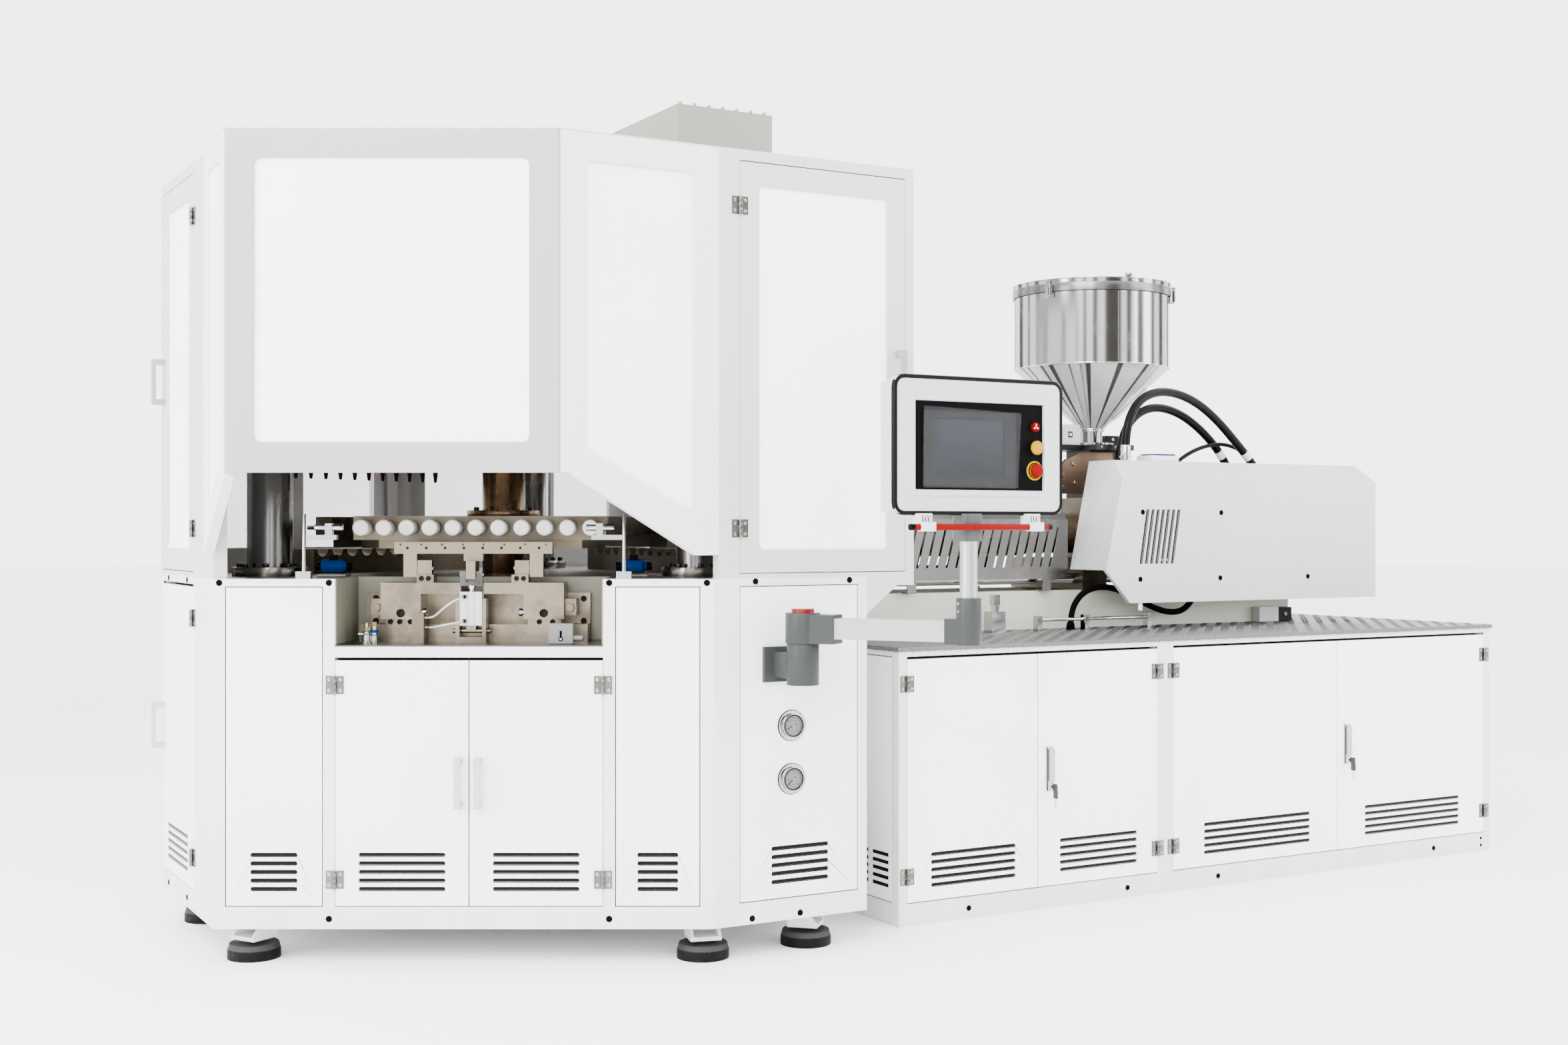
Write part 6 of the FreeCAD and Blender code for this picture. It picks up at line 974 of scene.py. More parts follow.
def fitting(name, line, far, profile, finish, body, slot, steps=12, smooth=30.0):
    """A fitting that looks inwards from the near or the far end of a line."""
    start, sign = (line_length(line), -1) if far else (0.0, 1)
    shape = sleeve(Shape().use(finish), line, [(start + sign * d, r) for d, r in profile], steps)
    return shape.piece(name, body, slot, smooth)


def cord_piece(name, points, diameter, finish, body, slot, place=at):
    """A hose as a curve with a round section."""
    data, line = route(name, points, place)
    data.bevel_depth = diameter / 2
    data.bevel_resolution = 7
    data.use_fill_caps = True
    data.materials.append(FINISHES[finish])
    return ride(bpy.data.objects.new(name, data), body, slot), line


class MOULDER_OT_hoses(bpy.types.Operator):
    """Two large hoses and a thin one over the drive cover, with their crimped ferrules"""

    bl_idname = "moulder.hoses"
    bl_label = "Hydraulic hoses"

    def execute(self, context):
        profile = [(0, 1.15), (0.7, 1.15), (0.7, 1.45), (1.0, 1.45), (1.0, 1.16), (1.15, 1.16)]
        profile += [(3.3, 1.14), (3.5, 1.06), (3.5, 1.0)]
        for name, kind, real, points in HOSES:
            size = getattr(settings().cables, kind)
            made, line = cord_piece(name, points, size, "rubber", "carriage", "black_rubber")
            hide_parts("hydraulic_hoses")
            half = size / 2
            sized = [(d * half, r * half) for d, r in profile]
            parts = [
                ("near_ferrule", False, sized, "chrome", "hard_chrome"),
                ("far_ferrule", True, sized, "chrome", "hard_chrome"),
            ]
            if kind == "hose":
                label = [(0.262, half), (0.262, 1.05 * half), (0.300, 1.05 * half), (0.300, half)]
                parts.append(("sleeve", True, label, "bottle", "panel_white"))
            fittings = [
                fitting(f"{name}_{part}", line, far, shape, finish, "carriage", slot, 20, 35.0)
                for part, far, shape, finish, slot in parts
            ]
            at(*points[0])
        return {"FINISHED"}


class MOULDER_OT_conduit(bpy.types.Operator):
    """The ribbed cable conduit from the bench plate to the carriage"""

    bl_idname = "moulder.conduit"
    bl_label = "Cable conduit"

    def execute(self, context):
        sizes = settings().cables
        how = ("plastic", "machine", "black_plastic")
        made, line = cord_piece("conduit", CONDUIT, sizes.conduit, *how)
        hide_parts("cable_conduit")
        whole = line_length(line)
        step = whole / sizes.ribs
        low, high = sizes.conduit / 2 * 0.98, sizes.rib / 2
        profile = []
        for i in range(sizes.ribs):
            start = i * step
            profile += [(start, low), (start + 0.2 * step, high), (start + 0.62 * step, high)]
        pieces = [fitting("conduit_ribs", line, False, profile + [(whole, low)], *how, 18, 60.0)]
        gland = [(0, 0.017), (0.012, 0.017), (0.013, 0.0155), (0.02, 0.0155), (0.026, 0.0135)]
        gland.append((0.026, 0.012))
        for end in ("low", "high"):
            pieces.append(fitting(f"conduit_{end}_gland", line, end == "high", gland, *how))
        at(*CONDUIT[0])
        return {"FINISHED"}


class MOULDER_OT_air_tubes(bpy.types.Operator):
    """The two clear air tubes at the stripper's cylinder, with push-in fittings"""

    bl_idname = "moulder.air_tubes"
    bl_label = "Air tubes"

    def execute(self, context):
        size = settings().cables.air
        profile = [(0, 0.0055), (0.008, 0.0055), (0.009, 0.0048), (0.013, 0.0048), (0.014, 0.0034)]
        for name, real, points in AIR_TUBES:
            made, line = cord_piece(name, points, size, "clear", "machine", "clear_tube", STATION)
            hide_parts("air_tubes")
            fittings = [
                fitting(f"{name}_{end}_fitting", line, end == "far", profile, finish, "machine",
                        "machined_steel")
                for end, finish in (("near", "plastic"), ("far", "brass"))
            ]
            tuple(STATION(*points[0]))
        return {"FINISHED"}


# ---------------------------------------------------------------- finishes of the solids
class MOULDER_OT_finishes(bpy.types.Operator):
    """Finishes and softened edges on every solid of the model"""

    bl_idname = "moulder.finishes"
    bl_label = "Finishes"

    def execute(self, context):
        listed = {name: finish for finish, names in FINISHED_NODES.items() for name in names.split()}
        for name, node in frame["nodes"].items():
            if not node.material_slots:
                raise RuntimeError(f"{name} has no material slot")
            for place in node.material_slots:
                place.link = "OBJECT"
                place.material = FINISHES[listed.get(name, "white")]
            if name not in UNBROKEN and not node.hide_render:
                weld = node.modifiers.new("Joined vertices", "WELD")
                weld.merge_threshold = 0.00002
                bevel = node.modifiers.new("Broken edges", "BEVEL")
                bevel.width = 0.0012
                bevel.segments = 2
                bevel.limit_method = "ANGLE"
                bevel.angle_limit = math.radians(40)
                bevel.harden_normals = True
        return {"FINISHED"}


# ---------------------------------------------------------------- small fittings
class MOULDER_OT_seals(bpy.types.Operator):
    """Black seals in the gaps round doors and fixed panels, which also darken the gaps as painted shade,
    and painted shade at the louvres: black rims and dark sheets behind them
    """

    bl_idname = "moulder.seals"
    bl_label = "Seals and louvre screens"

    def execute(self, context):
        for name, (face, x0, x1, z0, z1, _, kind) in DOOR_ROWS.items():
            # Black rubber seal in the door's gap; it also darkens the gap as painted shade.
            shape = Shape(face).use("rubber").ring(x0, x1, z0, z1, 0.5, band(-0.2, -1.2, 3, 7))
            shape.piece(f"{name}_seal", "machine", "black_rubber")
            # Painted shade at the louvres of doors without a pane.
            if kind != "glazed":
                shape = Shape(face).use("rubber")
                self.louvres(shape, x0, x1, z0, 1.5 + min(0.18 * (x1 - x0), 150.0))
                shape.piece(f"{name}_louvres", name, "black_rubber")
        for name, face, z0, z1, bays in FIXED_PANELS:
            shape = Shape(face).use("rubber")
            for x0, x1 in bays:
                # Black seal in each bay's gap, also painted shade there, and painted shade at its
                # louvres.
                shape.ring(x0, x1, z0, z1, 0.5, band(-0.3, -2.2, 3, 7))
                self.louvres(shape, x0, x1, z0, 3 + min(0.26 * (x1 - x0), 140.0))
            # Painted shade: five black strips on the bench end where short louvre slots show dark.
            if name == "bench_left":
                for i in range(5):
                    shape.block(1546, 1640, -0.45, -0.02, 118.5 + 25 * i, 130.5 + 25 * i, 0.1)
            shape.piece(f"{name}_panel_seals", "machine", "black_rubber")
        # Painted shade: a dark sheet behind the drive cover's louvres.
        back = Shape().use("rubber").block(2376, 2590, -446.5, -445, 1146, 1372)
        back.piece("cover_louvre_screen", "carriage", "black_rubber")
        return {"FINISHED"}

    def louvres(self, shape, x0, x1, z0, edge):
        """Painted shade at a panel's five louvres: black rims round them and a dark sheet behind them.
        """
        pitch, tall, x0, x1, z0 = 25, 7, x0 + edge, x1 - edge, z0 + 49
        for i in range(5):
            low = z0 + pitch * i
            rim = [(0.1, 0.6), (0.1, -0.4), (2.6, -0.4), (2.9, -0.02)]
            shape.ring(x0, x1, low, low + tall, 3.15, rim)
        shape.block(x0 - 6, x1 + 6, 2.4, 3.6, z0 - 7, z0 + 115)


class MOULDER_OT_hinge_screws(bpy.types.Operator):
    """Countersunk screws in both leaves of every hinge"""

    bl_idname = "moulder.hinge_screws"
    bl_label = "Hinge screws"

    def execute(self, context):
        for name, (face, left, right, low, high, hinge, _) in DOOR_ROWS.items():
            line, side = (left, 1) if hinge == "left" else (right, -1)
            away = max(0.11 * (high - low), 47.7)
            for body, part, way in ((name, "door", side), ("machine", "frame", -side)):
                shape = Shape(face).use("chrome")
                for z in (low + away, high - away):
                    for dz in (-16, 16):
                        self.countersunk(shape, line + way * 16.75, z + dz)
                shape.piece(f"{name}_screws_{part}", body, "hard_chrome")
        return {"FINISHED"}

    def countersunk(self, shape, x, z):
        """A flat head with a black cross for the painted shade in its recess."""
        head = [(0, 4.6), (0.5, 4.6), (0.9, 4.0), (0.9, 0)]
        shape.use("chrome").turned((x, -2.8, z), OUT, head, 16).use("plastic")
        # Painted shade: a black cross where the recess of the head would be dark.
        for turn in (45, 135):
            shape.hand(x, z, turn, -2.3, 2.3, 0.75, -3.6, -3.85)


class MOULDER_OT_plugs(bpy.types.Operator):
    """Black caps over the screws of the cell's and the bench's frames"""

    bl_idname = "moulder.plugs"
    bl_label = "Black caps"

    def execute(self, context):
        top, foot, sill, high, low = 1128, 143, 34, 50, 22
        rows = (
            ("cell_front", FRONT, ((17, top), (338.5, top), (1159.5, top), (1446, top),
                                   (338.5, foot), (1159.5, foot))),
            ("cell_side", SIDE, ((141, 1130), (470, 1130), (130, 130), (295, 130))),
            ("cell_end", END, ((120, top), (400, top), (120, foot), (400, foot))),
            ("cell_back", BACK, ((200, top), (700, top), (200, foot), (700, foot))),
            ("bench_front", BENCH, ((277, sill), (957, sill), (1381, sill), (2515, sill),
                                    (2790, high), (2790, low))),
        )
        for name, face, places in rows:
            shape = Shape(face).use("plastic")
            for x, z in places:
                r = 5.5 if z in (high, low) else 9.5
                profile = [(0, r), (1.2, r), (2.0, 0.86 * r), (2.0, 0.5 * r), (1.0, 0.42 * r)]
                shape.turned((x, 0, z), OUT, profile + [(1.0, 0)])
            shape.piece(f"{name}_caps", "machine", "black_plastic")
        return {"FINISHED"}


class MOULDER_OT_gauges(bpy.types.Operator):
    """Dials, ticks, needles and flange screws of the two pressure gauges"""

    bl_idname = "moulder.gauges"
    bl_label = "Pressure gauges"

    def execute(self, context):
        x, bolts = GAUGE_X, 39.5
        for name, z, reading in (("upper", 696, 205), ("lower", 536, 222)):
            shape = Shape(SIDE).use("dial")
            shape.turned((x, -11.1, z), OUT, [(0, 31.4), (0.3, 31.4), (0.3, 0)], 40).use("plastic")
            for i in range(31):
                near, half = (24, 0.35) if i % 5 else (21, 0.7)
                shape.hand(x, z, 225 - 9 * i, near, 28, half, -11.4, -11.7)
            shape.ring(x - 17, x + 17, z - 17, z + 17, 16.9, band(0, 0.5, -11.4, -11.6))
            shape.hand(x, z, reading, -9, 25, 1.0, -12.4, -12.9)
            shape.turned((x, -16.05, z), OUT, band(0, 0.6, 30.4, 33.6), 40, True)
            shape.turned((x, 0, z), OUT, band(0, 3, 45.2, 47), 40, True).use("chrome")
            for turn in (90, 210, 330):
                a = math.radians(turn)
                shape.screw(x + bolts * math.cos(a), -4, z + bolts * math.sin(a), 3.2, 1.6)
            shape.piece(f"{name}_gauge_dial", "machine", "black_plastic")
        return {"FINISHED"}


class MOULDER_OT_panel_fittings(bpy.types.Operator):
    """Rubber edging, bezel, loose film over the screen and trim of the operator panel"""

    bl_idname = "moulder.panel_fittings"
    bl_label = "Panel fittings"

    def execute(self, context):
        section = [(-7.0, -1550.3), (-6.0, -1551.8), (3.2, -1551.4), (5.0, -1547.5), (5.0, -1538)]
        section += [(0.4, -1536), (0.4, -1549)]
        edge = Shape().use("rubber").ring(544, 1124, 1329, 1711, 30, section)
        edge.piece("panel_edging", "panel", "black_rubber", 50)
        section = [(0.4, -1546.6), (0.4, -1551.0), (3.0, -1553.6), (15.5, -1553.6)]
        section += [(20.0, -1550.2), (20.0, -1549.4)]
        bezel = Shape().use("case").ring(611, 1057, 1396, 1644, 3, section)
        bezel.piece("panel_bezel", "panel", "panel_white", 30)
        self.film((637, 1629), (975, 1618), (963, 1403), (634, 1405))
        trim = Shape().use("chrome")
        for turn in (90, 210, 330):
            trim.hand(BUTTON_X, BUZZER_Z, turn, 2.5, 9.5, 2.2, -1555.1, -1555.7)
        trim.use("plastic")
        for z, front in ((1520, -1546.2), (RING_Z, -1549.2)):
            profile = [(0, 23), (1.6, 23), (2.4, 22), (2.4, 21), (0, 21)]
            trim.turned((BUTTON_X, front, z), OUT, profile, 32, True)
        trim.piece("panel_trim", "panel", "black_plastic")
        screws = Shape().use("chrome")
        for z in (1052, 1074):
            screws.screw(766.3, -1537, z, 4.5, 3.0, (-1, 0, 0))
        screws.piece("arm_cup_screws", "arm", "hard_chrome")
        return {"FINISHED"}

    def film(self, top_left, top_right, low_right, low_left):
        """The film over the screen, a sheet of small quads rippled a little."""
        (x0, z0), (x1, z1), (x2, z2), (x3, z3) = top_left, top_right, low_right, low_left
        film, steps, rows = Shape().use("film"), 24, []
        for t in (j / steps for j in range(steps + 1)):
            rows.append([])
            for s in (i / steps for i in range(steps + 1)):
                x = (x0 + (x1 - x0) * s) * (1 - t) + (x3 + (x2 - x3) * s) * t
                z = (z0 + (z1 - z0) * s) * (1 - t) + (z3 + (z2 - z3) * s) * t
                lift = 0.8 * math.sin(5.1 * s + 3.0 * t) * math.sin(7.0 * t + 1.0)
                lift += 1.6 * (s ** 4 + (1 - t) ** 5)
                rows[-1].append(film.mesh.verts.new(at(x, -1553.4 - max(0.0, lift), z)))
        for low, high in zip(rows, rows[1:]):
            for i in range(steps):
                film.face((low[i], low[i + 1], high[i + 1], high[i]))
        film.piece("screen_film", "panel", "panel_white", 80)


class MOULDER_OT_hopper_fittings(bpy.types.Operator):
    """Rim band, shoulder bead, neck collar, seam, sight strip and toggle latches of the hopper, and a
    black ring of painted shade under the rim band
    """

    bl_idname = "moulder.hopper_fittings"
    bl_label = "Hopper fittings"

    def execute(self, context):
        shape = Shape()
        rows = (
            ("sheet", 2216, 96, [(0, 310.6), (0, 316.4), (30, 316.8), (32, 316.0), (32, 310.6)]),
            ("chrome", 1930, 96, [(0, 309.0), (1.0, 311.2), (3.2, 311.8), (5.4, 311.2), (6, 309.4)]),
            ("chrome", 1678, 48, [(0, 45.2), (0, 50), (3, 51), (12, 51), (14, 50), (14, 47)]),
            ("chrome", 1622.4, 48, [(0, 45.2), (0, 60), (6, 60), (8, 58), (8, 45.2)]),
            # Painted shade: a black ring under the rim band.
            ("black", 2214, 96, [(0, 310.4), (0, 312.2), (2.2, 312.2), (2.2, 310.4)]),
        )
        for finish, z, steps, profile in rows:
            shape.use(finish).turned((HOPPER_X, 0, z), UP, profile, steps, True)
        shape.piece("hopper_bands", "carriage", "stainless", 40)
        seam = Shape(Face(HOPPER_X, 0, 250)).use("chrome")
        seam.block(309.2, 310.9, -1.4, 1.4, 1937, 2213, 0.4)
        seam.piece("hopper_seam", "carriage", "stainless")
        self.sight_strip()
        for number, turn in enumerate((200, 320, 20)):
            self.latch(number + 1, turn)
        return {"FINISHED"}

    def sight_strip(self):
        """A raised strip down the cone."""
        place = Face(HOPPER_X, 0, 312)
        strip = Shape(place)
        slope = (SHELL - NECK) / (CONE_HIGH - CONE_LOW)
        for finish, inner, outer, half in (("chrome", 0.6, 8.0, 17), ("clear", 8.2, 9.6, 10)):
            rings = []
            for z in (1722, 1845):
                near = NECK + slope * (z - CONE_LOW)
                corners = ((inner, -half), (outer, -half), (outer, half), (inner, half))
                rings.append([place(near + a, b, z) for a, b in corners])
            strip.use(finish).skin(rings)
        strip.piece("hopper_sight_strip", "carriage", "stainless")

    def latch(self, number, turn):
        """A toggle latch: hook on the band, bail and lever on the shell."""
        latch = Shape(Face(HOPPER_X, 0, turn)).use("chrome")
        latch.block(329.6, 331.6, -11, 11, 2196, 2244, 1.0)
        latch.block(317, 334, -9, 9, 2249, 2257, 1.5)
        latch.block(331.8, 336.5, -5, 5, 2202, 2234, 1.5)
        for side in (-1, 1):
            way = Vector((-2, -side, 40))
            latch.turned((334, 8 * side, 2214), way, [(0, 1.6), (way.length, 1.6)], 10)
        latch.turned((332, -8, 2254), (0, 1, 0), [(0, 1.6), (16, 1.6)], 10)
        latch.piece(f"hopper_latch_{number}", "carriage", "stainless")


class MOULDER_OT_carriage_fittings(bpy.types.Operator):
    """Plates, blocks and screws round the hopper's throat, and the valve behind the drive cover"""

    bl_idname = "moulder.carriage_fittings"
    bl_label = "Carriage fittings"

    def execute(self, context):
        shape = Shape().use("black")
        shape.block(2300, 2426.5, -64, 64, 1600.3, 1621.5, 1.5)
        for x in (2450, HOPPER_X, 2594):
            shape.use("steel").screw(x, -150.2, 1611, 6.0, 3.0)
        shape.use("black").block(2617.6, 2684, 18, 82, 1590, 1668, 2.0)
        for z in (1606, 1652):
            shape.use("chrome").screw(2650, 18, z, 7.0, 3.0)
        shape.use("case").block(2362, 2438, -34, 40, 1621.8, 1704, 2.0)
        shape.use("plastic").block(2376, 2398, -35.2, -33.8, 1652, 1676, 0.5)
        shape.use("case").block(2380, 2394, -36.0, -35.0, 1657, 1671, 0.4)
        shape.piece("throat_blocks", "carriage", "black_steel")
        outline = [(2285, 1425), (2560, 1425), (2560, 1592), (2400, 1592), (2320, 1560), (2285, 1520)]
        plate = Shape().use("tan").prism(outline, -75.3, -88).use("steel")
        for x, z in ((2306, 1500), (2306, 1450), (2360, 1545), (2368, 1470)):
            plate.screw(x, -88, z, 9.0, 5.0)
        plate.piece("throat_side_plate", "carriage", "machined_steel")
        valve = Shape().use("bottle").block(2545, 2690, -332, -246, 1549.4, 1574, 3.0)
        valve.use("blue").block(2560, 2676, -328, -250, 1574.1, 1580, 2.0)
        valve.piece("valve_top", "carriage", "panel_white")
        return {"FINISHED"}


class MOULDER_OT_cover_screws(bpy.types.Operator):
    """Screws of the drive cover, the cover's clip and the blocks by the rails"""

    bl_idname = "moulder.cover_screws"
    bl_label = "Cover screws"

    def execute(self, context):
        cover = Shape().use("plastic")
        for x, z in ((2400, 1350), (2800, 1350), (2388, 1095), (2795, 1095), (3270, 1095)):
            cover.screw(x, -447, z, 10.5, 5.2)
        cover.use("bottle").block(2384, 2402, -446, -440, 976, 1004, 1.0)
        cover.piece("cover_screws", "carriage", "black_plastic")
        blocks = Shape().use("case").block(3192, 3300, -262, -217, 903.4, 966, 2.0)
        blocks.use("black").block(3301, 3378, -258, -217, 903.4, 962, 2.0)
        blocks.use("steel").screw(3340, -258, 934, 9.0, 4.0)
        blocks.piece("rail_end_blocks", "machine", "black_steel")
        return {"FINISHED"}


class MOULDER_OT_stripper_fittings(bpy.types.Operator):
    """Socket screws, hexagon nuts, the slotted stop and the air valve in the recess"""

    bl_idname = "moulder.stripper_fittings"
    bl_label = "Stripper fittings"

    def execute(self, context):
        shape = Shape(STATION).use("black")
        knob = [(0, 8), (5, 8), (5, 12), (14, 12), (15.5, 10.5)]
        for side in (-1, 1):
            for x in (133, 154):
                shape.screw(side * x, -599, 1136.5, 7.6, 5.0)
            shape.screw(side * 215.5, -592.4, 1032, 12.2, 7.0)
            shape.use("steel").nut(side * 293, -573.2, 1048, 15.0, 10.0)
            way = (-side, 0, 0)
            shape.use("chrome").turned((side * 154.7, -590, 1034), way, knob, 20)
            shape.use("black").turned((side * 139.1, -590, 1034), way, [(0, 5.5), (0.3, 5.5)], 6)
        for x, z in ((-313, 1074), (-313, 1004), (325, 1072), (325, 1004)):
            shape.screw(x, -500.3, z, 9.0, 6.0)
        for x in (-250, -222, -190, 200, 240):
            shape.screw(x, -585, 1005, 7.5, 9.0)
        shape.piece("stripper_screws", "machine", "black_steel")
        self.slotted_stop()
        self.air_valve()
        # Painted shade: black discs on the stripper bar where its holes show dark.
        bar = Shape(STATION).use("black")
        for i in range(8):
            x = -199 + i * 398 / 7
            bar.turned((x, -585.1, 1228.5), OUT, [(0, 4.3), (0.25, 4.3), (0.25, 0)], 16)
        bar.piece("stripper_bar_holes", "stripper", "black_steel")
        return {"FINISHED"}

    def slotted_stop(self):
        """A painted block with a keyhole slot drawn in black as painted shade, and a short pin beside
        it, on the recess's floor.
        """
        x, z = 279.5, 960
        stop = Shape(STATION).use("stop").block(243, 316, -706, -676, 945.4, 1006, 1.5)
        # Painted shade: the keyhole slot is a black plate and disc on the block's face.
        stop.use("plastic").block(276, 283, -706.6, -705.8, 962, 985, 0.3)
        stop.turned((x, -705.8, z), OUT, [(0, 7.0), (0.8, 7.0)], 20)
        stop.use("chrome").screw(x, -706.6, z, 4.6, 3.0)
        stop.use("stop").turned((316, -690, 962), ALONG, [(0, 9), (26, 9), (29, 6.5)], 20)
        stop.piece("slotted_stop", "machine", "grey_paint")

    def air_valve(self):
        """A small silver valve on the floor, with a brass nut, a blue ring and two stubs."""
        body, stub, floor = (-306, -660), (-284, -652), 945.4
        valve = Shape(STATION).use("chrome")
        profile = [(0, 20), (3, 20), (3, 14), (26, 14), (28, 11), (34, 11), (36, 7), (60, 7), (62, 4)]
        valve.turned((*body, floor), UP, profile)
        valve.turned((*stub, floor), UP, [(0, 12), (22, 12), (24, 9), (52, 9), (54, 6)])
        valve.use("brass").turned((*body, 983), UP, [(0, 11.5), (9, 11.5), (10, 8)], 6)
        valve.turned((*stub, 999), UP, [(0, 8), (8, 8), (9, 4)], 6)
        valve.use("blue").turned((*stub, 976), UP, [(0, 11), (1, 12.5), (8, 12.5), (9, 10)])
        valve.use("chrome").turned((*body, 972), (-24, -8, 0), [(0, 6), (24, 6), (26, 4)], 16)
        valve.piece("air_valve", "machine", "machined_steel")


class MOULDER_OT_cell_valves(bpy.types.Operator):
    """Blue valves with black caps on the deck at both sides of the recess"""

    bl_idname = "moulder.cell_valves"
    bl_label = "Deck valves"

    def execute(self, context):
        y, z = -436, 1170
        for name, x in (("left", -458), ("right", 474)):
            shape = Shape(STATION).use("steel").block(x - 44, x + 44, -470, -400, 1139.4, 1146, 1.0)
            profile = [(0, 12), (4, 22), (66, 22), (76, 14), (80, 14)]
            shape.use("blue").turned((x - 40, y, z), ALONG, profile, 28).use("plastic")
            shape.turned((x - 56, y, z), ALONG, [(0, 11), (2, 13), (15, 13)])
            shape.turned((x + 41, y, z), ALONG, [(0, 13), (12, 13), (15, 9)])
            shape.block(x - 13, x + 13, -452, -420, 1190, 1206, 2.0)
            shape.piece(f"deck_valve_{name}", "machine", "machined_steel")
        return {"FINISHED"}


class MOULDER_OT_tread(bpy.types.Operator):
    """Raised bars in crossing groups over the bench top and its lip"""

    bl_idname = "moulder.tread"
    bl_label = "Tread bars"

    def execute(self, context):
        size = settings().tread
        pitch, bar, wide, tall = (v / MM for v in (size.pitch, size.bar, size.width, size.height))
        low, high = ((Vector(v) - Vector((AXIS.x, AXIS.y, 0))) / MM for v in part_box("tread_plate"))
        (x0, y0, z0), (x1, y1, z1) = low, high
        shape = Shape().use("tread")
        field = (x0 + 5, x1 - 5, y0 + 5, y1 - 5)
        self.groups(shape, lambda u, v, w: (u, v, z1 + w), field, pitch, bar, wide, tall)
        shape.piece("tread_bars", "machine", "tread_aluminium", 20)
        shape = Shape().use("tread")
        lip = (0.8 * pitch, 0.42 * bar, 0.8 * wide, 0.7 * tall)
        self.groups(shape, lambda u, v, w: (u, y0 - w, v), (x0 + 3, x1 - 3, z0, z1 - 0.5), *lip)
        self.groups(shape, lambda u, v, w: (x0 - w, u, v), (y0 + 3, y1 - 3, z0, z1 - 0.5), *lip)
        shape.piece("tread_lip_bars", "machine", "tread_aluminium", 20)
        return {"FINISHED"}

    def groups(self, shape, place, field, pitch, bar, wide, tall):
        """Groups of four bars, each group crossing the next."""
        u0, u1, v0, v1 = field
        columns, rows = int((u1 - u0) / pitch), max(1, int((v1 - v0) / pitch))
        for i in range(columns):
            for j in range(rows):
                u, v = u0 + (i + 0.5) * (u1 - u0) / columns, v0 + (j + 0.5) * (v1 - v0) / rows
                turn = math.radians(45 if (i + j) % 2 else -45)
                for k in (-1.5, -0.5, 0.5, 1.5):
                    self.ridge(shape, place, u, v, turn, k * pitch * 0.19, bar, wide, tall)

    def ridge(self, shape, place, u, v, turn, shift, bar, wide, tall):
        """One bar: a pointed oval base and a ridge."""
        cos, sin = math.cos(turn), math.sin(turn)
        cu, cv = u - shift * sin, v + shift * cos
        points = ((-bar / 2, 0, 0), (0, -wide / 2, 0), (bar / 2, 0, 0), (0, wide / 2, 0))
        points += ((-bar / 4, 0, tall), (bar / 4, 0, tall))
        places = (place(cu + s * cos - t * sin, cv + s * sin + t * cos, up) for s, t, up in points)
        a, b, c, d, e, f = (shape.mesh.verts.new(shape.place(*point)) for point in places)
        for corners in ((a, b, e), (b, f, e), (b, c, f), (c, d, f), (d, e, f), (d, a, e)):
            shape.face(corners)


# ---------------------------------------------------------------- stage
def on_stage(name, data):
    """Puts an object on the stage."""
    made = bpy.data.objects.new(name, data)
    bpy.context.scene.collection.objects.link(made)
    return made


def sheet(name, points, faces, material):
    """A flat sheet of the stage."""
    data = bpy.data.meshes.new(name)
    data.from_pydata(points, [], faces)
    data.materials.append(material)
    return on_stage(name, data)


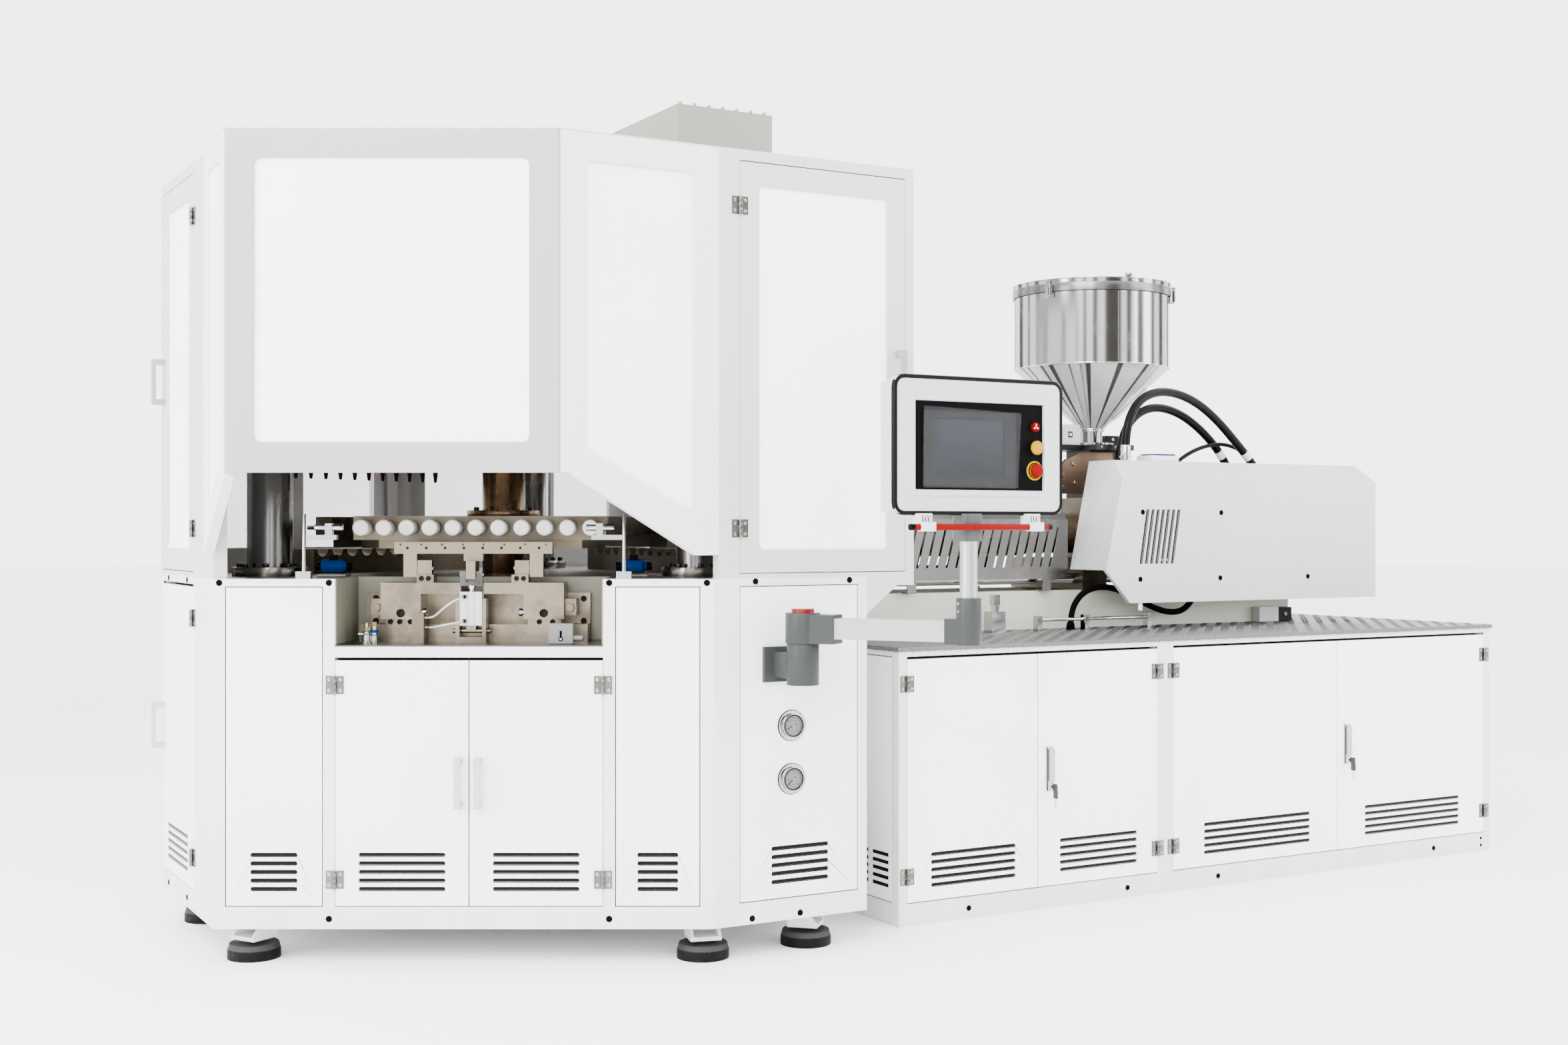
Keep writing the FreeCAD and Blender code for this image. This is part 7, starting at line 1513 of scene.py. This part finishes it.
class MOULDER_OT_stage(bpy.types.Operator):
    """Pale floor, even sky, soft lights, dark cards for the metals to mirror, and the camera"""

    bl_idname = "moulder.stage"
    bl_label = "Stage and camera"

    def execute(self, context):
        studio = settings().studio
        self.floor(tuple(studio.floor))
        self.sky(studio)
        self.cards()
        lights = (
            ("key", (-6.5, -6.0, 6.5), 5.0), ("fill", (7.5, -7.0, 4.5), 6.0),
            ("side", (-9.0, -0.5, 3.2), 4.0),
        )
        for name, place, size in lights:
            data = bpy.data.lights.new(name, "AREA")
            data.energy, data.size = getattr(studio, name), size
            lamp = on_stage(name, data)
            lamp.location = place
            lamp.rotation_mode = "QUATERNION"
            lamp.rotation_quaternion = (Vector(place) - Vector(UP)).to_track_quat("Z", "Y")
        data = bpy.data.cameras.new("camera")
        data.lens, data.sensor_width = studio.lens, 36.0
        data.shift_y = 0.0043
        data.clip_end = 200
        camera = on_stage("camera", data)
        eye, turn = (-2201, -5692, 1285), -30
        camera.location = at(*eye)
        camera.rotation_euler = (math.pi / 2, 0, math.radians(turn))
        bpy.context.scene.camera = camera
        return {"FINISHED"}

    def floor(self, tint):
        """A wide pale floor of three rings round its middle."""
        steps, radii = 64, (6, 14, 60)
        points = [(r * math.cos(a), r * math.sin(a), 0) for r in radii for a in turns(steps)]
        faces = []
        for i in range(steps):
            j = (i + 1) % steps
            faces.append((len(points), i, j))
            for low in (0, steps):
                high = low + steps
                faces.append((low + i, high + i, high + j, low + j))
        paint = Paint("Studio floor")
        patch = paint.noise(0.8, 3)
        paint.base = paint.mix(patch * 0.3, tint, shade(tint, 0.98))
        paint.gloss = 0.6 + (patch - 0.5) * 0.1
        sheet("floor", points + [(0, 0, 0)], faces, paint.done())

    def cards(self):
        """Tall dark cards round the machine, seen only in its polished metal."""
        paint = Paint("Studio card")
        paint.base = paint.mix(paint.noise(2), (0.012, 0.011, 0.010), (0.03, 0.027, 0.025))
        paint.gloss = 0.8
        dark, middle = paint.done(), at(HOPPER_X, 0, 0)
        away, low, high = 10, 0.3, 6.5
        rows = (
            (262, 24), (204, 8), (221, 5), (236, 7), (180, 9), (146, 9), (286, 8), (306, 12),
            (331, 8), (352, 11), (20, 8), (48, 12), (78, 5), (104, 12), (126, 5),
        )
        for number, (turn, wide) in enumerate(rows):
            corners = []
            for side, z in ((-0.5, low), (0.5, low), (0.5, high), (-0.5, high)):
                a = math.radians(turn + side * wide)
                corners.append((middle.x + away * math.cos(a), middle.y + away * math.sin(a), z))
            card = sheet(f"card_{number + 1}", corners, [(0, 1, 2, 3)], dark)
            card.visible_camera = card.visible_diffuse = card.visible_shadow = False

    def sky(self, studio):
        """A pale sky, brightest near the floor."""
        paint = Paint("Studio sky", "worlds")
        place = paint.node("ShaderNodeTexCoord", {}, {}, "Generated")
        height = paint.node("ShaderNodeSeparateXYZ", {}, {0: place}, "Z")
        rise = {0: height, 1: 0.12, 2: 0.7, 3: studio.horizon, 4: studio.zenith}
        strength = paint.node("ShaderNodeMapRange", {}, rise)
        light = paint.node("ShaderNodeBackground", {}, {"Strength": strength})
        paint.node("ShaderNodeOutputWorld", {}, {0: light})
        bpy.context.scene.world = paint.made


STEPS = (
    MOULDER_OT_hoses, MOULDER_OT_conduit, MOULDER_OT_air_tubes, MOULDER_OT_finishes,
    MOULDER_OT_seals, MOULDER_OT_hinge_screws, MOULDER_OT_plugs, MOULDER_OT_gauges,
    MOULDER_OT_panel_fittings, MOULDER_OT_hopper_fittings, MOULDER_OT_carriage_fittings,
    MOULDER_OT_cover_screws, MOULDER_OT_stripper_fittings, MOULDER_OT_cell_valves,
    MOULDER_OT_tread, MOULDER_OT_stage,
)


class MOULDER_PT_parts(bpy.types.Panel):
    """The machine's pieces and settings"""

    bl_label = "Blow moulding machine"
    bl_space_type = "VIEW_3D"
    bl_region_type = "UI"
    bl_category = "Moulder"

    def draw(self, context):
        for step in STEPS:
            self.layout.operator(step.bl_idname)
        for group in (settings().colours, settings().cables, settings().tread, settings().studio):
            box = self.layout.box()
            for key in group.__annotations__:
                box.prop(group, key)


CLASSES = (
    MOULDER_PG_colours, MOULDER_PG_cables, MOULDER_PG_tread, MOULDER_PG_studio,
    MOULDER_PG_settings, *STEPS, MOULDER_PT_parts,
)


def register():
    """Registers the settings, the operators and the panel."""
    for kind in CLASSES:
        bpy.utils.register_class(kind)
    bpy.types.Scene.moulder = PointerProperty(type=MOULDER_PG_settings)


def unregister():
    """Takes them away again."""
    del bpy.types.Scene.moulder
    for kind in reversed(CLASSES):
        bpy.utils.unregister_class(kind)


def main():
    """Dresses the model."""
    register()
    make_finishes()
    for step in STEPS:
        group, name = step.bl_idname.split(".")
        getattr(getattr(bpy.ops, group), name)()


if __name__ == "__main__":
    main()
